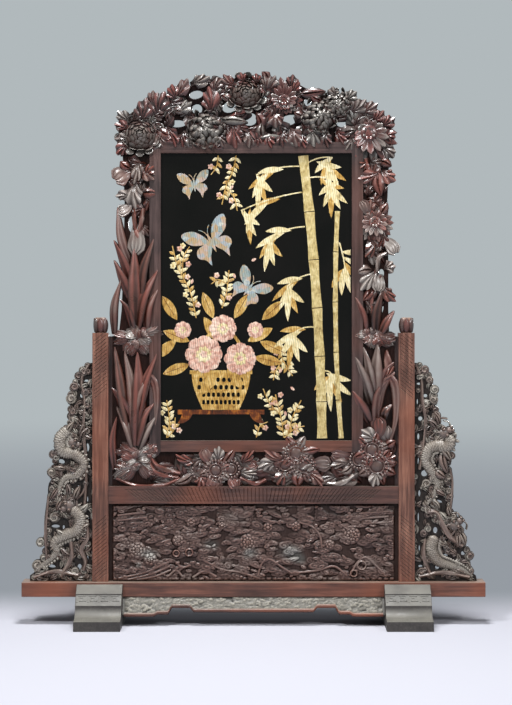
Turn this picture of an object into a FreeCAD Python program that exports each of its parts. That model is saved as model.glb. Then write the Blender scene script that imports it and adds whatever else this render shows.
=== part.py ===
"""Standing floor screen: a lacquer panel with raised inlay, held in a carved and pierced frame.

The frame slides down between the two posts of a footed stand and lifts out again. +X is the
viewer's right, -Y the front and +Z up. The origin is on the floor, midway between the feet.
"""

import FreeCAD
import Part
import math
import os
import re
import Sketcher
from FreeCAD import Vector

# Driving sizes in millimetres
SIZES = {
    # Feet: two sledge blocks, stepped down to a toe at each end
    "foot_width": 156,
    "foot_length": 400,
    "foot_height": 138,
    "foot_crown": 124,
    "shoulder_length": 200,
    "shoulder_height": 112,
    "shoulder_step": 4,
    "band_length": 256,
    "band_height": 76,
    "cove_radius": 38,
    "toe_height": 33,
    # Base rail, housed in the feet
    "rail_length": 1574,
    "rail_depth": 100,
    "rail_height": 49,
    "rail_seat": 95,
    # Posts and their bud finials
    "post_spacing": 1042,
    "post_width": 54,
    "post_depth": 60,
    "post_height": 846,
    "tenon_width": 26,
    "tenon_depth": 30,
    "tenon_reach": 55,
    "finial_width": 50,
    "finial_neck": 40,
    "finial_height": 54,
    "finial_pin": 18,
    "finial_pin_length": 30,
    # Chip-cut hatching on posts and middle rail
    "hatch_pitch": 13,
    "hatch_width": 8,
    "hatch_depth": 2.2,
    "hatch_margin": 6,
    "hatch_upper": 215,
    "hatch_lower": 220,
    # Lower panel and middle rail
    "lower_panel_height": 265,
    "lower_panel_depth": 22,
    "panel_tongue": 12,
    "panel_tongue_reach": 8,
    "relief_depth": 9,
    "mid_rail_height": 59,
    "mid_rail_depth": 52,
    "mid_tenon_depth": 20,
    "mid_tenon_height": 40,
    "mid_tenon_reach": 18,
    # Sloping aprons between the feet
    "apron_depth": 18,
    "apron_slope_run": 40,
    "apron_end_height": 66,
    "apron_step_height": 58,
    "apron_notch_height": 34,
    "apron_waist_height": 50,
    "apron_end_length": 118,
    "apron_step_length": 48,
    "apron_notch_length": 74,
    "apron_round": 12,
    "apron_inset": 6,
    # Wings: pierced brackets beside the posts
    "wing_width": 214,
    "wing_height": 750,
    "wing_web": 16,
    "wing_carve": 24,
    "wing_plinth_height": 16,
    "wing_plinth_depth": 40,
    "wing_stile_width": 12,
    "wing_stile_depth": 32,
    "wing_tongue": 10,
    "wing_tongue_reach": 8,
    # Picture frame
    "frame_width": 956,
    "opening_width": 651,
    "opening_height": 979,
    "opening_offset": 9.5,
    "member_width": 38,
    "member_depth": 44,
    "member_tenon_depth": 12,
    "member_tenon_height": 22,
    "member_tenon_reach": 18,
    "rebate_reach": 8,
    "lip_depth": 14,
    # Carved boards round the picture frame
    "bottom_border_height": 117,
    "crest_height": 240,
    "crest_ear_drop": 45,
    "carve_depth": 33,
    "web_depth": 14,
    "board_tongue": 8,
    "board_tongue_reach": 8,
    "runner_depth": 14,
    "runner_height": 510,
    "runner_reach": 13.5,
    # Lacquer panel, its retaining beads and screws
    "lacquer_depth": 12,
    "bead_width": 16,
    "bead_depth": 12,
    "screw_head": 8,
    "screw_head_depth": 3,
    "screw_shank": 3.6,
    "screw_length": 22,
    "screw_inset": 60,
    # Raised inlay on the lacquer
    "inlay_depth": 2.2,
    "inlay_margin": 4,
    "culm_width": 36,
    "culm_gap": 2.5,
    "cane_width": 18,
    "leaf_length": 112,
    "leaf_width": 21,
    "twig_width": 4.5,
    "basket_width": 200,
    "basket_height": 128,
    "basket_band": 13,
    "handle_rise": 150,
    "peony_radius": 64,
    "butterfly_span": 168,
    "feeler_width": 2.4,
    "petal_length": 18,
    "stand_height": 46,
    # Clearances
    "slide_gap": 0.5,
    "glue_gap": 0.2,
    "cut_overrun": 20,
    "weld_gap": 0.001,
}

doc = FreeCAD.newDocument("standing_screen")
sheet = doc.addObject("Spreadsheet::Sheet", "Sizes")
for row, (alias, number) in enumerate(SIZES.items(), 1):
    sheet.set(f"A{row}", alias)
    sheet.set(f"B{row}", str(number))
    sheet.setAlias(f"B{row}", alias)
doc.recompute()

# Places that follow from the driving sizes
RAIL_TOP = "(rail_seat + rail_height)"
POST_INNER = "(post_spacing / 2 - post_width / 2)"
POST_OUTER = "(post_spacing / 2 + post_width / 2)"
POST_TOP = f"({RAIL_TOP} + post_height)"
MID_BOTTOM = f"({RAIL_TOP} + lower_panel_height)"
MID_TOP = f"({MID_BOTTOM} + mid_rail_height)"
FRAME_FOOT = f"({MID_TOP} + bottom_border_height)"
OPENING_BOTTOM = f"({FRAME_FOOT} + member_width)"
OPENING_TOP = f"({OPENING_BOTTOM} + opening_height)"
FRAME_HEAD = f"({OPENING_TOP} + member_width)"
CREST_TOP = f"({FRAME_HEAD} + crest_height)"
EAR_BOTTOM = f"({FRAME_HEAD} - crest_ear_drop)"
OPENING_LEFT = "(opening_offset - opening_width / 2)"
OPENING_RIGHT = "(opening_offset + opening_width / 2)"
STILE_LEFT = f"({OPENING_LEFT} - member_width)"
STILE_RIGHT = f"({OPENING_RIGHT} + member_width)"
TOE_LENGTH = "(band_length + 2 * cove_radius)"
TOE_TOP = "(band_height - cove_radius)"
LACQUER_FRONT = "(lip_depth - member_depth / 2)"
LACQUER_BACK = f"({LACQUER_FRONT} + lacquer_depth)"
BEAD_BACK = f"({LACQUER_BACK} + bead_depth)"

SIDES = {"left": -1, "right": 1}
FACES = {"front": -1, "rear": 1}
pieces = []


def sized(text):
    """Text of an expression, with each sheet name turned into a reference to its cell."""
    return re.sub(r"[a-z_]+", lambda m: f"Sizes.{m[0]}" if m[0] in SIZES else m[0], text)


def mm(text):
    """The number that an expression in sheet names stands for."""
    return float(sheet.evalExpression(sized(text)))


def piece(label, thing):
    """Names a finished sub-part, so that it is written to its own file."""
    thing.Label = label
    pieces.append(thing)
    return thing


def feature(shape, name="stock"):
    """A document object that holds a ready shape."""
    held = doc.addObject("Part::Feature", name)
    held.Shape = shape
    return held


def block(low, high):
    """A rectangular block between two corners, each written in sheet names."""
    stock = doc.addObject("Part::Box", "block")
    for axis, side, start, end in zip("xyz", ("Length", "Width", "Height"), low, high):
        stock.setExpression(side, sized(f"({end}) - ({start})"))
        stock.setExpression(f"Placement.Base.{axis}", sized(start))
    return stock


def rod(start, axis, diameter, length):
    """A round rod that starts at a point and runs along an axis."""
    bar = doc.addObject("Part::Cylinder", "rod")
    bar.setExpression("Radius", sized(f"({diameter}) / 2"))
    bar.setExpression("Height", sized(length))
    bar.Placement.Rotation = FreeCAD.Rotation(Vector(0, 0, 1), axis)
    for name, place in zip("xyz", start):
        bar.setExpression(f"Placement.Base.{name}", sized(place))
    return bar


def joined(things):
    """Several solids of one piece made into one."""
    if len(things) == 1:
        return things[0]
    whole = doc.addObject("Part::MultiFuse", "joined")
    whole.Shapes = things
    whole.Refine = True
    return whole


def trimmed(stock, cutters):
    """A solid with grooves, mortises and bores taken out of it."""
    left_over = doc.addObject("Part::Cut", "trimmed")
    left_over.Base = stock
    left_over.Tool = joined(cutters)
    left_over.Refine = True
    return left_over


def origin_plane(body, role):
    """One of a body's own origin planes."""
    return next(plane for plane in body.Origin.OriginFeatures if plane.Role == role)


def profile_sketch(body, role, corners):
    """A closed outline on an origin plane, with each corner tied to the sheet."""
    sketch = body.newObject("Sketcher::SketchObject", "profile")
    sketch.AttachmentSupport = [(origin_plane(body, role), "")]
    sketch.MapMode = "FlatFace"
    places = [Vector(mm(across), mm(up), 0) for across, up in corners]
    for number, place in enumerate(places):
        following = places[(number + 1) % len(places)]
        sketch.addGeometry(Part.LineSegment(place, following), False)
    for number in range(len(places)):
        following = (number + 1) % len(places)
        sketch.addConstraint(Sketcher.Constraint("Coincident", number, 2, following, 1))
    for number, corner in enumerate(corners):
        for kind, text, axis in zip(("DistanceX", "DistanceY"), corner, (-2, -1)):
            if text == "0":
                sketch.addConstraint(Sketcher.Constraint("PointOnObject", number, 1, axis))
                continue
            rule = Sketcher.Constraint(kind, -1, 1, number, 1, mm(text))
            sketch.setExpression(f"Constraints[{sketch.addConstraint(rule)}]", sized(text))
    return sketch


def circle_sketch(body, role, centres, radius):
    """Circles of one radius on an origin plane, tied to the sheet."""
    sketch = body.newObject("Sketcher::SketchObject", "circles")
    sketch.AttachmentSupport = [(origin_plane(body, role), "")]
    sketch.MapMode = "FlatFace"
    for number, centre in enumerate(centres):
        middle = Vector(mm(centre[0]), mm(centre[1]), 0)
        sketch.addGeometry(Part.Circle(middle, Vector(0, 0, 1), mm(radius)), False)
        rules = [("DistanceX", centre[0]), ("DistanceY", centre[1])]
        for kind, text in rules:
            rule = Sketcher.Constraint(kind, -1, 1, number, 3, mm(text))
            sketch.setExpression(f"Constraints[{sketch.addConstraint(rule)}]", sized(text))
        rule = Sketcher.Constraint("Radius", number, mm(radius))
        sketch.setExpression(f"Constraints[{sketch.addConstraint(rule)}]", sized(radius))
    return sketch


def padded_profile(role, corners, thickness):
    """A body made by padding an outline to both sides of its plane."""
    body = doc.addObject("PartDesign::Body", "profiled")
    sketch = profile_sketch(body, role, corners)
    pad = body.newObject("PartDesign::Pad", "pad")
    pad.Profile = sketch
    pad.Midplane = True
    pad.setExpression("Length", sized(thickness))
    doc.recompute()
    return body


def placed(thing, x="0", y="0", z="0"):
    """Moves a body to a place written in sheet names."""
    for axis, text in zip("xyz", (x, y, z)):
        thing.setExpression(f"Placement.Base.{axis}", sized(text))
    return thing


# Chip-cut hatching


def hatch_cuts(centre, along, width, counts, slants, face):
    """V-shaped cuts across a flat bar, as one compound: a row of slanted strokes.

    centre is the bar's middle on its face, along the direction of the row, counts the stroke
    numbers and slants the angle of each stroke to the row, in degrees.
    """
    inward = Vector(0, -face, 0)
    half = mm("hatch_width") / 2
    strokes = []
    for count, slant in zip(counts, slants):
        turned = FreeCAD.Rotation(Vector(0, 1, 0), slant).multVec(along)
        across = turned.cross(inward)
        reach = width / 2 / max(abs(math.sin(math.radians(slant))), math.sin(math.radians(45)))
        middle = centre + along * (count * mm("hatch_pitch"))
        start = middle - turned * reach
        corners = [
            start - across * half - inward * half,
            start + across * half - inward * half,
            start + inward * mm("hatch_depth"),
        ]
        stroke = Part.Face(Part.makePolygon(corners + corners[:1]))
        strokes.append(stroke.extrude(turned * (reach * 2)))
    return Part.makeCompound(strokes)


# Feet


def make_foot(side):
    """A foot: a stepped profile with coved ends, notched for the rail and mortised for the post."""
    half = [
        ("foot_length / 2", "0"),
        ("foot_length / 2", "toe_height"),
        (f"{TOE_LENGTH} / 2", TOE_TOP),
        (f"{TOE_LENGTH} / 2", "band_height"),
        ("band_length / 2", "band_height"),
        ("shoulder_length / 2", "shoulder_height - shoulder_step"),
        ("shoulder_length / 2", "shoulder_height"),
        ("foot_crown / 2", "foot_height"),
    ]
    other = [(f"-({along})", up) for along, up in reversed(half)]
    body = padded_profile("YZ_Plane", half + other, "foot_width")
    coves = [(f"{TOE_LENGTH} / 2", "band_height"), (f"-{TOE_LENGTH} / 2", "band_height")]
    pocket = body.newObject("PartDesign::Pocket", "coves")
    pocket.Profile = circle_sketch(body, "YZ_Plane", coves, "cove_radius")
    pocket.Midplane = True
    pocket.setExpression("Length", sized("foot_width + 2 * cut_overrun"))
    doc.recompute()
    centre = f"{SIDES[side]} * post_spacing / 2"
    placed(body, x=centre)
    notch = block(
        (f"{centre} - foot_width", "-rail_depth / 2 - glue_gap", "rail_seat"),
        (f"{centre} + foot_width", "rail_depth / 2 + glue_gap", "foot_height + cut_overrun"),
    )
    mortise = block(
        (f"{centre} - tenon_width / 2 - glue_gap", "-tenon_depth / 2 - glue_gap",
         "rail_seat - tenon_reach - glue_gap"),
        (f"{centre} + tenon_width / 2 + glue_gap", "tenon_depth / 2 + glue_gap",
         "rail_seat + cut_overrun"),
    )
    return piece(f"{side}_foot", trimmed(body, [notch, mortise]))


def make_base_rail():
    """The long rail: mortised through for the posts and grooved for the lower panel."""
    stock = block(
        ("-rail_length / 2", "-rail_depth / 2", "rail_seat"),
        ("rail_length / 2", "rail_depth / 2", RAIL_TOP),
    )
    cutters = []
    for sign in SIDES.values():
        centre = f"{sign} * post_spacing / 2"
        cutters.append(block(
            (f"{centre} - tenon_width / 2 - glue_gap", "-tenon_depth / 2 - glue_gap",
             "rail_seat - cut_overrun"),
            (f"{centre} + tenon_width / 2 + glue_gap", "tenon_depth / 2 + glue_gap",
             f"{RAIL_TOP} + cut_overrun"),
        ))
    cutters.append(block(
        (f"-{POST_INNER}", "-panel_tongue / 2 - glue_gap",
         f"{RAIL_TOP} - panel_tongue_reach - glue_gap"),
        (POST_INNER, "panel_tongue / 2 + glue_gap", f"{RAIL_TOP} + cut_overrun"),
    ))
    return piece("base_rail", trimmed(stock, cutters))


# Posts and finials


def make_post(side):
    """A post: tenoned below, grooved for the frame, lower panel and wing, hatched front and back."""
    sign = SIDES[side]
    centre = f"{sign} * post_spacing / 2"
    shaft = block(
        (f"{centre} - post_width / 2", "-post_depth / 2", RAIL_TOP),
        (f"{centre} + post_width / 2", "post_depth / 2", POST_TOP),
    )
    tenon = block(
        (f"{centre} - tenon_width / 2", "-tenon_depth / 2", "rail_seat - tenon_reach"),
        (f"{centre} + tenon_width / 2", "tenon_depth / 2", RAIL_TOP),
    )

    def slot(near, far, thickness, low, high):
        """A slot in a side face, from one depth in X to another."""
        inner, outer = (near, far) if sign > 0 else (f"-({far})", f"-({near})")
        return block((inner, f"-({thickness}) / 2", low), (outer, f"({thickness}) / 2", high))

    cutters = [
        slot(f"{POST_INNER} - cut_overrun", f"{POST_INNER} + runner_reach + slide_gap",
             "runner_depth + 2 * slide_gap", MID_TOP, f"{POST_TOP} + cut_overrun"),
        slot(f"{POST_INNER} - cut_overrun", f"{POST_INNER} + panel_tongue_reach + glue_gap",
             "panel_tongue + 2 * glue_gap", RAIL_TOP, MID_BOTTOM),
        slot(f"{POST_INNER} - cut_overrun", f"{POST_INNER} + mid_tenon_reach + glue_gap",
             "mid_tenon_depth + 2 * glue_gap",
             f"({MID_BOTTOM} + {MID_TOP} - mid_tenon_height) / 2 - glue_gap",
             f"({MID_BOTTOM} + {MID_TOP} + mid_tenon_height) / 2 + glue_gap"),
        slot(f"{POST_OUTER} - wing_tongue_reach - glue_gap", f"{POST_OUTER} + cut_overrun",
             "wing_tongue + 2 * glue_gap", RAIL_TOP, f"{RAIL_TOP} + wing_height + glue_gap"),
        rod((centre, "0", f"{POST_TOP} - finial_pin_length - glue_gap"), Vector(0, 0, 1),
            "finial_pin + 2 * glue_gap", "finial_pin_length + cut_overrun"),
    ]
    width = mm("post_width - 2 * hatch_margin")
    upper = int(mm("hatch_upper / hatch_pitch"))
    lower = int(mm("hatch_lower / hatch_pitch"))
    for face in FACES.values():
        at_top = Vector(mm(centre), face * mm("post_depth / 2"), mm(f"{POST_TOP} - hatch_upper / 2"))
        at_foot = Vector(mm(centre), face * mm("post_depth / 2"), mm(f"{RAIL_TOP} + hatch_lower / 2"))
        for middle, total in ((at_top, upper), (at_foot, lower)):
            counts = [number - (total - 1) / 2 for number in range(total)]
            slants = [-sign * 50] * total
            strokes = hatch_cuts(middle, Vector(0, 0, 1), width, counts, slants, face)
            cutters.append(feature(strokes, "hatching"))
    return piece(f"{side}_post", trimmed(joined([shaft, tenon]), cutters))


FINIAL_SHARES = ((0.0, 1.0), (0.10, 1.02), (0.30, 1.18), (0.62, 1.25), (0.84, 1.16), (0.97, 0.80))
FINIAL_LOBES = 8
FINIAL_LOBE_SHARE = 0.10


def make_finial(side):
    """A bud finial: a lobed loft of round sections on a turned pin, with the post's groove run through."""
    neck = mm("finial_neck") / 2
    rings = []
    for rise_share, width_share in FINIAL_SHARES:
        radius = neck * width_share
        points = []
        for step in range(FINIAL_LOBES * 2):
            turn = math.pi * step / FINIAL_LOBES
            reach = radius * (1 - FINIAL_LOBE_SHARE * rise_share * (step % 2))
            points.append(Vector(reach * math.cos(turn), reach * math.sin(turn),
                                 mm("finial_height") * rise_share))
        outline = Part.BSplineCurve()
        outline.interpolate(points, PeriodicFlag=True)
        rings.append(Part.Wire(outline.toShape()))
    bud = Part.makeLoft(rings, True, False)
    over, reach = mm("cut_overrun"), mm("runner_reach + slide_gap")
    wide, half = mm("runner_depth + 2 * slide_gap"), mm("post_width") / 2
    inner = -half - over if SIDES[side] > 0 else half - reach
    groove = Part.makeBox(over + reach, wide, mm("finial_height") + over, Vector(inner, -wide / 2, 0))
    bud = bud.cut(groove)
    pin = Part.makeCylinder(mm("finial_pin") / 2, mm("finial_pin_length"), Vector(0, 0, 0),
                            Vector(0, 0, -1))
    whole = feature(bud.fuse(pin), f"{side}_bud")
    whole.Placement.Base = Vector(SIDES[side] * mm("post_spacing") / 2, 0, mm(POST_TOP))
    return piece(f"{side}_finial", whole)


# Middle rail, lower panel and aprons

RAIL_HATCH_SLANTS = (38, 52, 66, 78, 90, 102, 114, 128, 142)


def make_mid_rail():
    """The middle rail: tenoned into the posts, grooved below and hatched in a fan."""
    bar = block(
        (f"-{POST_INNER}", "-mid_rail_depth / 2", MID_BOTTOM),
        (POST_INNER, "mid_rail_depth / 2", MID_TOP),
    )
    tenon = block(
        (f"-({POST_INNER} + mid_tenon_reach)", "-mid_tenon_depth / 2",
         f"({MID_BOTTOM} + {MID_TOP} - mid_tenon_height) / 2"),
        (f"{POST_INNER} + mid_tenon_reach", "mid_tenon_depth / 2",
         f"({MID_BOTTOM} + {MID_TOP} + mid_tenon_height) / 2"),
    )
    groove = block(
        (f"-{POST_INNER} - cut_overrun", "-panel_tongue / 2 - glue_gap", f"{MID_BOTTOM} - cut_overrun"),
        (f"{POST_INNER} + cut_overrun", "panel_tongue / 2 + glue_gap",
         f"{MID_BOTTOM} + panel_tongue_reach + glue_gap"),
    )
    cutters = [groove]
    total = int(mm(f"1.7 * {POST_INNER} / hatch_pitch"))
    counts = [number - (total - 1) / 2 for number in range(total)]
    fan = len(RAIL_HATCH_SLANTS)
    slants = [RAIL_HATCH_SLANTS[min(fan - 1, number * fan // total)] for number in range(total)]
    for face in FACES.values():
        middle = Vector(0, face * mm("mid_rail_depth / 2"), mm(f"({MID_BOTTOM} + {MID_TOP}) / 2"))
        width = mm("mid_rail_height - 2 * hatch_margin")
        strokes = hatch_cuts(middle, Vector(1, 0, 0), width, counts, slants, face)
        cutters.append(feature(strokes, "hatching"))
    return piece("middle_rail", trimmed(joined([bar, tenon]), cutters))


def make_apron(face):
    """A sloping apron: a board with a bracket-shaped lower edge, splayed out between the feet."""
    sign = FACES[face]
    half_length = mm("post_spacing / 2 - foot_width / 2")
    rise = mm("rail_seat")
    run = mm("apron_slope_run")
    lean = math.atan2(run, mm("apron_end_height"))
    cusps = [mm("apron_end_length"), mm("apron_step_length"), mm("apron_notch_length")]
    depths = [mm(f"apron_{name}_height") for name in ("end", "step", "notch", "waist")]
    soft = mm("apron_round")
    edge = []
    along = -half_length
    for length, depth in zip(cusps, depths):
        edge += [(along, -depth), (along + length - soft, -depth)]
        along += length
    edge += [(along, -depths[-1])]
    corners = [Vector(-half_length, 0, 0)] + [Vector(x, 0, z) for x, z in edge]
    corners += [Vector(-x, 0, z) for x, z in reversed(edge)] + [Vector(half_length, 0, 0)]
    board = Part.Face(Part.makePolygon(corners + corners[:1]))
    board = board.extrude(Vector(0, mm("apron_depth"), 0))
    board.rotate(Vector(0, 0, 0), Vector(1, 0, 0), -math.degrees(lean))
    board.translate(Vector(0, mm("apron_inset - rail_depth / 2"), rise))
    limit = Part.makeBox(2 * half_length, mm("foot_length"), rise,
                         Vector(-half_length, -mm("foot_length") / 2, 0))
    board = board.common(limit)
    if sign > 0:
        board = board.mirror(Vector(0, 0, 0), Vector(0, 1, 0))
    return piece(f"{face}_apron", feature(board.Solids[0], f"{face}_board"))


# Carving: faceted strands and blooms, laid out from the photograph


class Board:
    """A carved field: the photograph's pixels that it covers and its place on the object."""

    def __init__(self, pixels, left, right, bottom, top):
        self.pixel_left, self.pixel_right, self.pixel_top, self.pixel_bottom = pixels
        self.left, self.right, self.bottom, self.top = left, right, bottom, top

    def at(self, pixel):
        """The point on the field's middle plane under a pixel."""
        across = (pixel[0] - self.pixel_left) / (self.pixel_right - self.pixel_left)
        up = (self.pixel_bottom - pixel[1]) / (self.pixel_bottom - self.pixel_top)
        return Vector(self.left + across * (self.right - self.left), 0,
                      self.bottom + up * (self.top - self.bottom))

    def span(self, pixels):
        """A length that covers so many pixels."""
        return pixels * (self.top - self.bottom) / (self.pixel_bottom - self.pixel_top)


def leaf_width(share):
    """Half-width along a leaf, pointed at both ends and fullest near the stalk."""
    return math.sin(math.pi * share ** 0.75) if 0 < share < 1 else 0.0


def blade_width(share):
    """Half-width along a sword leaf, full at the foot and drawn to a point."""
    return (0.7 + 0.3 * math.sin(math.pi * min(share / 0.6, 1))) * (1 - share ** 3)


def body_width(share):
    """Half-width along a dragon's body, thinning to the tail."""
    return 1 - 0.86 * share ** 1.7


def stem_width(share):
    """Half-width along a plain stem."""
    return 1.0


def facet_solid(points, triangles):
    """A closed solid of flat facets."""
    shell = Part.Shape()
    shell.makeShapeFromMesh((points, triangles), mm("weld_gap"))
    solid = Part.Solid(shell)
    if solid.Volume < 0:
        solid.reverse()
    return solid


def strand(board, path, width, depth, widths, lift=0.0, curl=0.0, stations=5, sides=4):
    """A carved strand with a lens-shaped section, along a smooth path of pixels.

    depth is the half-thickness at the strand's fullest, lift how far its middle stands in front
    of the board's middle plane, and curl how much further forward its tip comes.
    """
    line = Part.BSplineCurve()
    line.interpolate([board.at(pixel) for pixel in path])
    half = board.span(width) / 2
    points, rings = [], []
    for station in range(stations + 1):
        share = station / stations
        knob = line.FirstParameter + share * (line.LastParameter - line.FirstParameter)
        middle = line.value(knob) + Vector(0, -lift - curl * share * share, 0)
        size = widths(share)
        if size <= 0:
            rings.append([len(points)])
            points.append(middle)
            continue
        ahead = line.tangent(knob)[0]
        across = Vector(ahead.z, 0, -ahead.x)
        rings.append([len(points) + corner for corner in range(sides)])
        for corner in range(sides):
            turn = 2 * math.pi * corner / sides
            offset = across * (half * size * math.cos(turn))
            points.append(middle + offset + Vector(0, -depth * size * math.sin(turn), 0))
    triangles = []
    for ring, following in zip(rings, rings[1:]):
        for corner in range(sides):
            beside = (corner + 1) % sides
            if len(ring) == 1:
                triangles.append((ring[0], following[beside], following[corner]))
            elif len(following) == 1:
                triangles.append((ring[corner], ring[beside], following[0]))
            else:
                triangles.append((ring[corner], ring[beside], following[beside]))
                triangles.append((ring[corner], following[beside], following[corner]))
    for ring, flip in ((rings[0], True), (rings[-1], False)):
        for corner in range(1, len(ring) - 1):
            fan = (ring[0], ring[corner], ring[corner + 1])
            triangles.append(fan[::-1] if flip else fan)
    return facet_solid(points, triangles)


BLOOM_RINGS_SHARES = ((1.0, 0.05, 0.10), (0.82, 0.55, 0.07), (0.66, 0.46, -0.05), (0.52, 0.84, -0.09),
                      (0.34, 0.70, 0.07), (0.22, 1.0, 0.05))
DISC_RINGS_SHARES = ((1.0, 0.05, 0.12), (0.80, 0.50, 0.08), (0.60, 0.42, 0.0), (0.56, 0.80, 0.0),
                     (0.42, 0.74, 0.0))
BLOOM_BACK_SHARE = 0.7


def bloom(board, centre, radius, height, petals, rings=BLOOM_RINGS_SHARES):
    """A flower head: rings of ridged petals that rise to the heart, with a plainer back."""
    middle = board.at(centre)
    reach = board.span(radius)
    around = petals * 2
    points, triangles, rims = [], [], []
    for side, scale, tiers in ((-1, 1.0, rings), (1, BLOOM_BACK_SHARE, rings[:2])):
        rims.append(len(points))
        for radius_share, rise_share, ridge_share in tiers:
            for step in range(around):
                turn = 2 * math.pi * step / around
                out = reach * radius_share * (1 + ridge_share * (1 - 2 * (step % 2)))
                rise = side * scale * height * rise_share
                points.append(middle + Vector(out * math.cos(turn), rise, out * math.sin(turn)))
        heart = len(points)
        points.append(middle + Vector(0, side * scale * height * tiers[-1][1], 0))
        fans = []
        for ring in range(len(tiers)):
            low = rims[-1] + ring * around
            for step in range(around):
                beside = (step + 1) % around
                if ring == len(tiers) - 1:
                    fans.append((low + step, low + beside, heart))
                    continue
                fans.append((low + step, low + beside, low + around + beside))
                fans.append((low + step, low + around + beside, low + around + step))
        triangles += fans if side < 0 else [fan[::-1] for fan in fans]
    front, back = rims
    for step in range(around):
        beside = (step + 1) % around
        triangles.append((front + beside, front + step, back + step))
        triangles.append((front + beside, back + step, back + beside))
    return facet_solid(points, triangles)


HOLE_SIDES = 10


def web_plate(board, straight, edge, depth, holes=()):
    """A pierced web: straight corners, then a cut edge through pixels, less faceted oval holes.

    Each hole is its centre in pixels, half its width and height, and its lean in degrees.
    """
    corners = list(straight) + [board.at(pixel) for pixel in edge]
    plate = Part.Face(Part.makePolygon(corners + corners[:1])).extrude(Vector(0, depth, 0))
    plate.translate(Vector(0, -depth / 2, 0))
    cuts = []
    for x, y, half_width, half_height, lean in holes:
        wide, tall = board.span(half_width), board.span(half_height)
        rim = []
        for step in range(HOLE_SIDES):
            turn = 2 * math.pi * (step + 0.5) / HOLE_SIDES
            rim.append(Vector(wide * math.cos(turn), -depth, tall * math.sin(turn)))
        hole = Part.Face(Part.makePolygon(rim + rim[:1])).extrude(Vector(0, 2 * depth, 0))
        hole.rotate(Vector(0, 0, 0), Vector(0, 1, 0), lean)
        hole.translate(board.at((x, y)))
        cuts.append(hole)
    return plate.cut(Part.makeCompound(cuts)) if cuts else plate


def zone(corners, depth):
    """The room that a carved board may fill: an outline in X and Z, carried through its thickness."""
    outline = [Vector(x, -depth, z) for x, z in corners]
    return Part.Face(Part.makePolygon(outline + outline[:1])).extrude(Vector(0, 2 * depth, 0))


def carved(label, web, motifs, room, tongues=()):
    """A carved board: its web and motifs as one solid, trimmed to its room, with its tongues."""
    near = [motif for motif in motifs if motif.BoundBox.intersect(room.BoundBox)]
    whole = web.multiFuse(near).common(room)
    main = max(whole.Solids, key=lambda solid: solid.Volume)
    for tongue in tongues:
        main = main.fuse(tongue)
    return piece(label, feature(max(main.Solids, key=lambda solid: solid.Volume), f"{label}_wood"))


# Frame carving, in pixels of the photograph: left, right, top and bottom edge first
FRAME_PIXELS = (113, 394.5, 72, 487)
# Flower heads: centre x, y and radius
MUM_PIXELS = ((139, 135, 17), (203, 127, 17), (246, 92, 18), (283, 101, 16), (328, 110, 20),
              (370, 136, 20), (375, 223, 17))
DISC_PIXELS = ((199, 471, 8), (216, 473, 9), (233, 469, 8), (294, 453, 9), (283, 465, 8), (303, 467, 9),
               (371, 450, 10), (358, 461, 9), (375, 465, 10), (376, 423, 7), (145, 465, 9))
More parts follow.
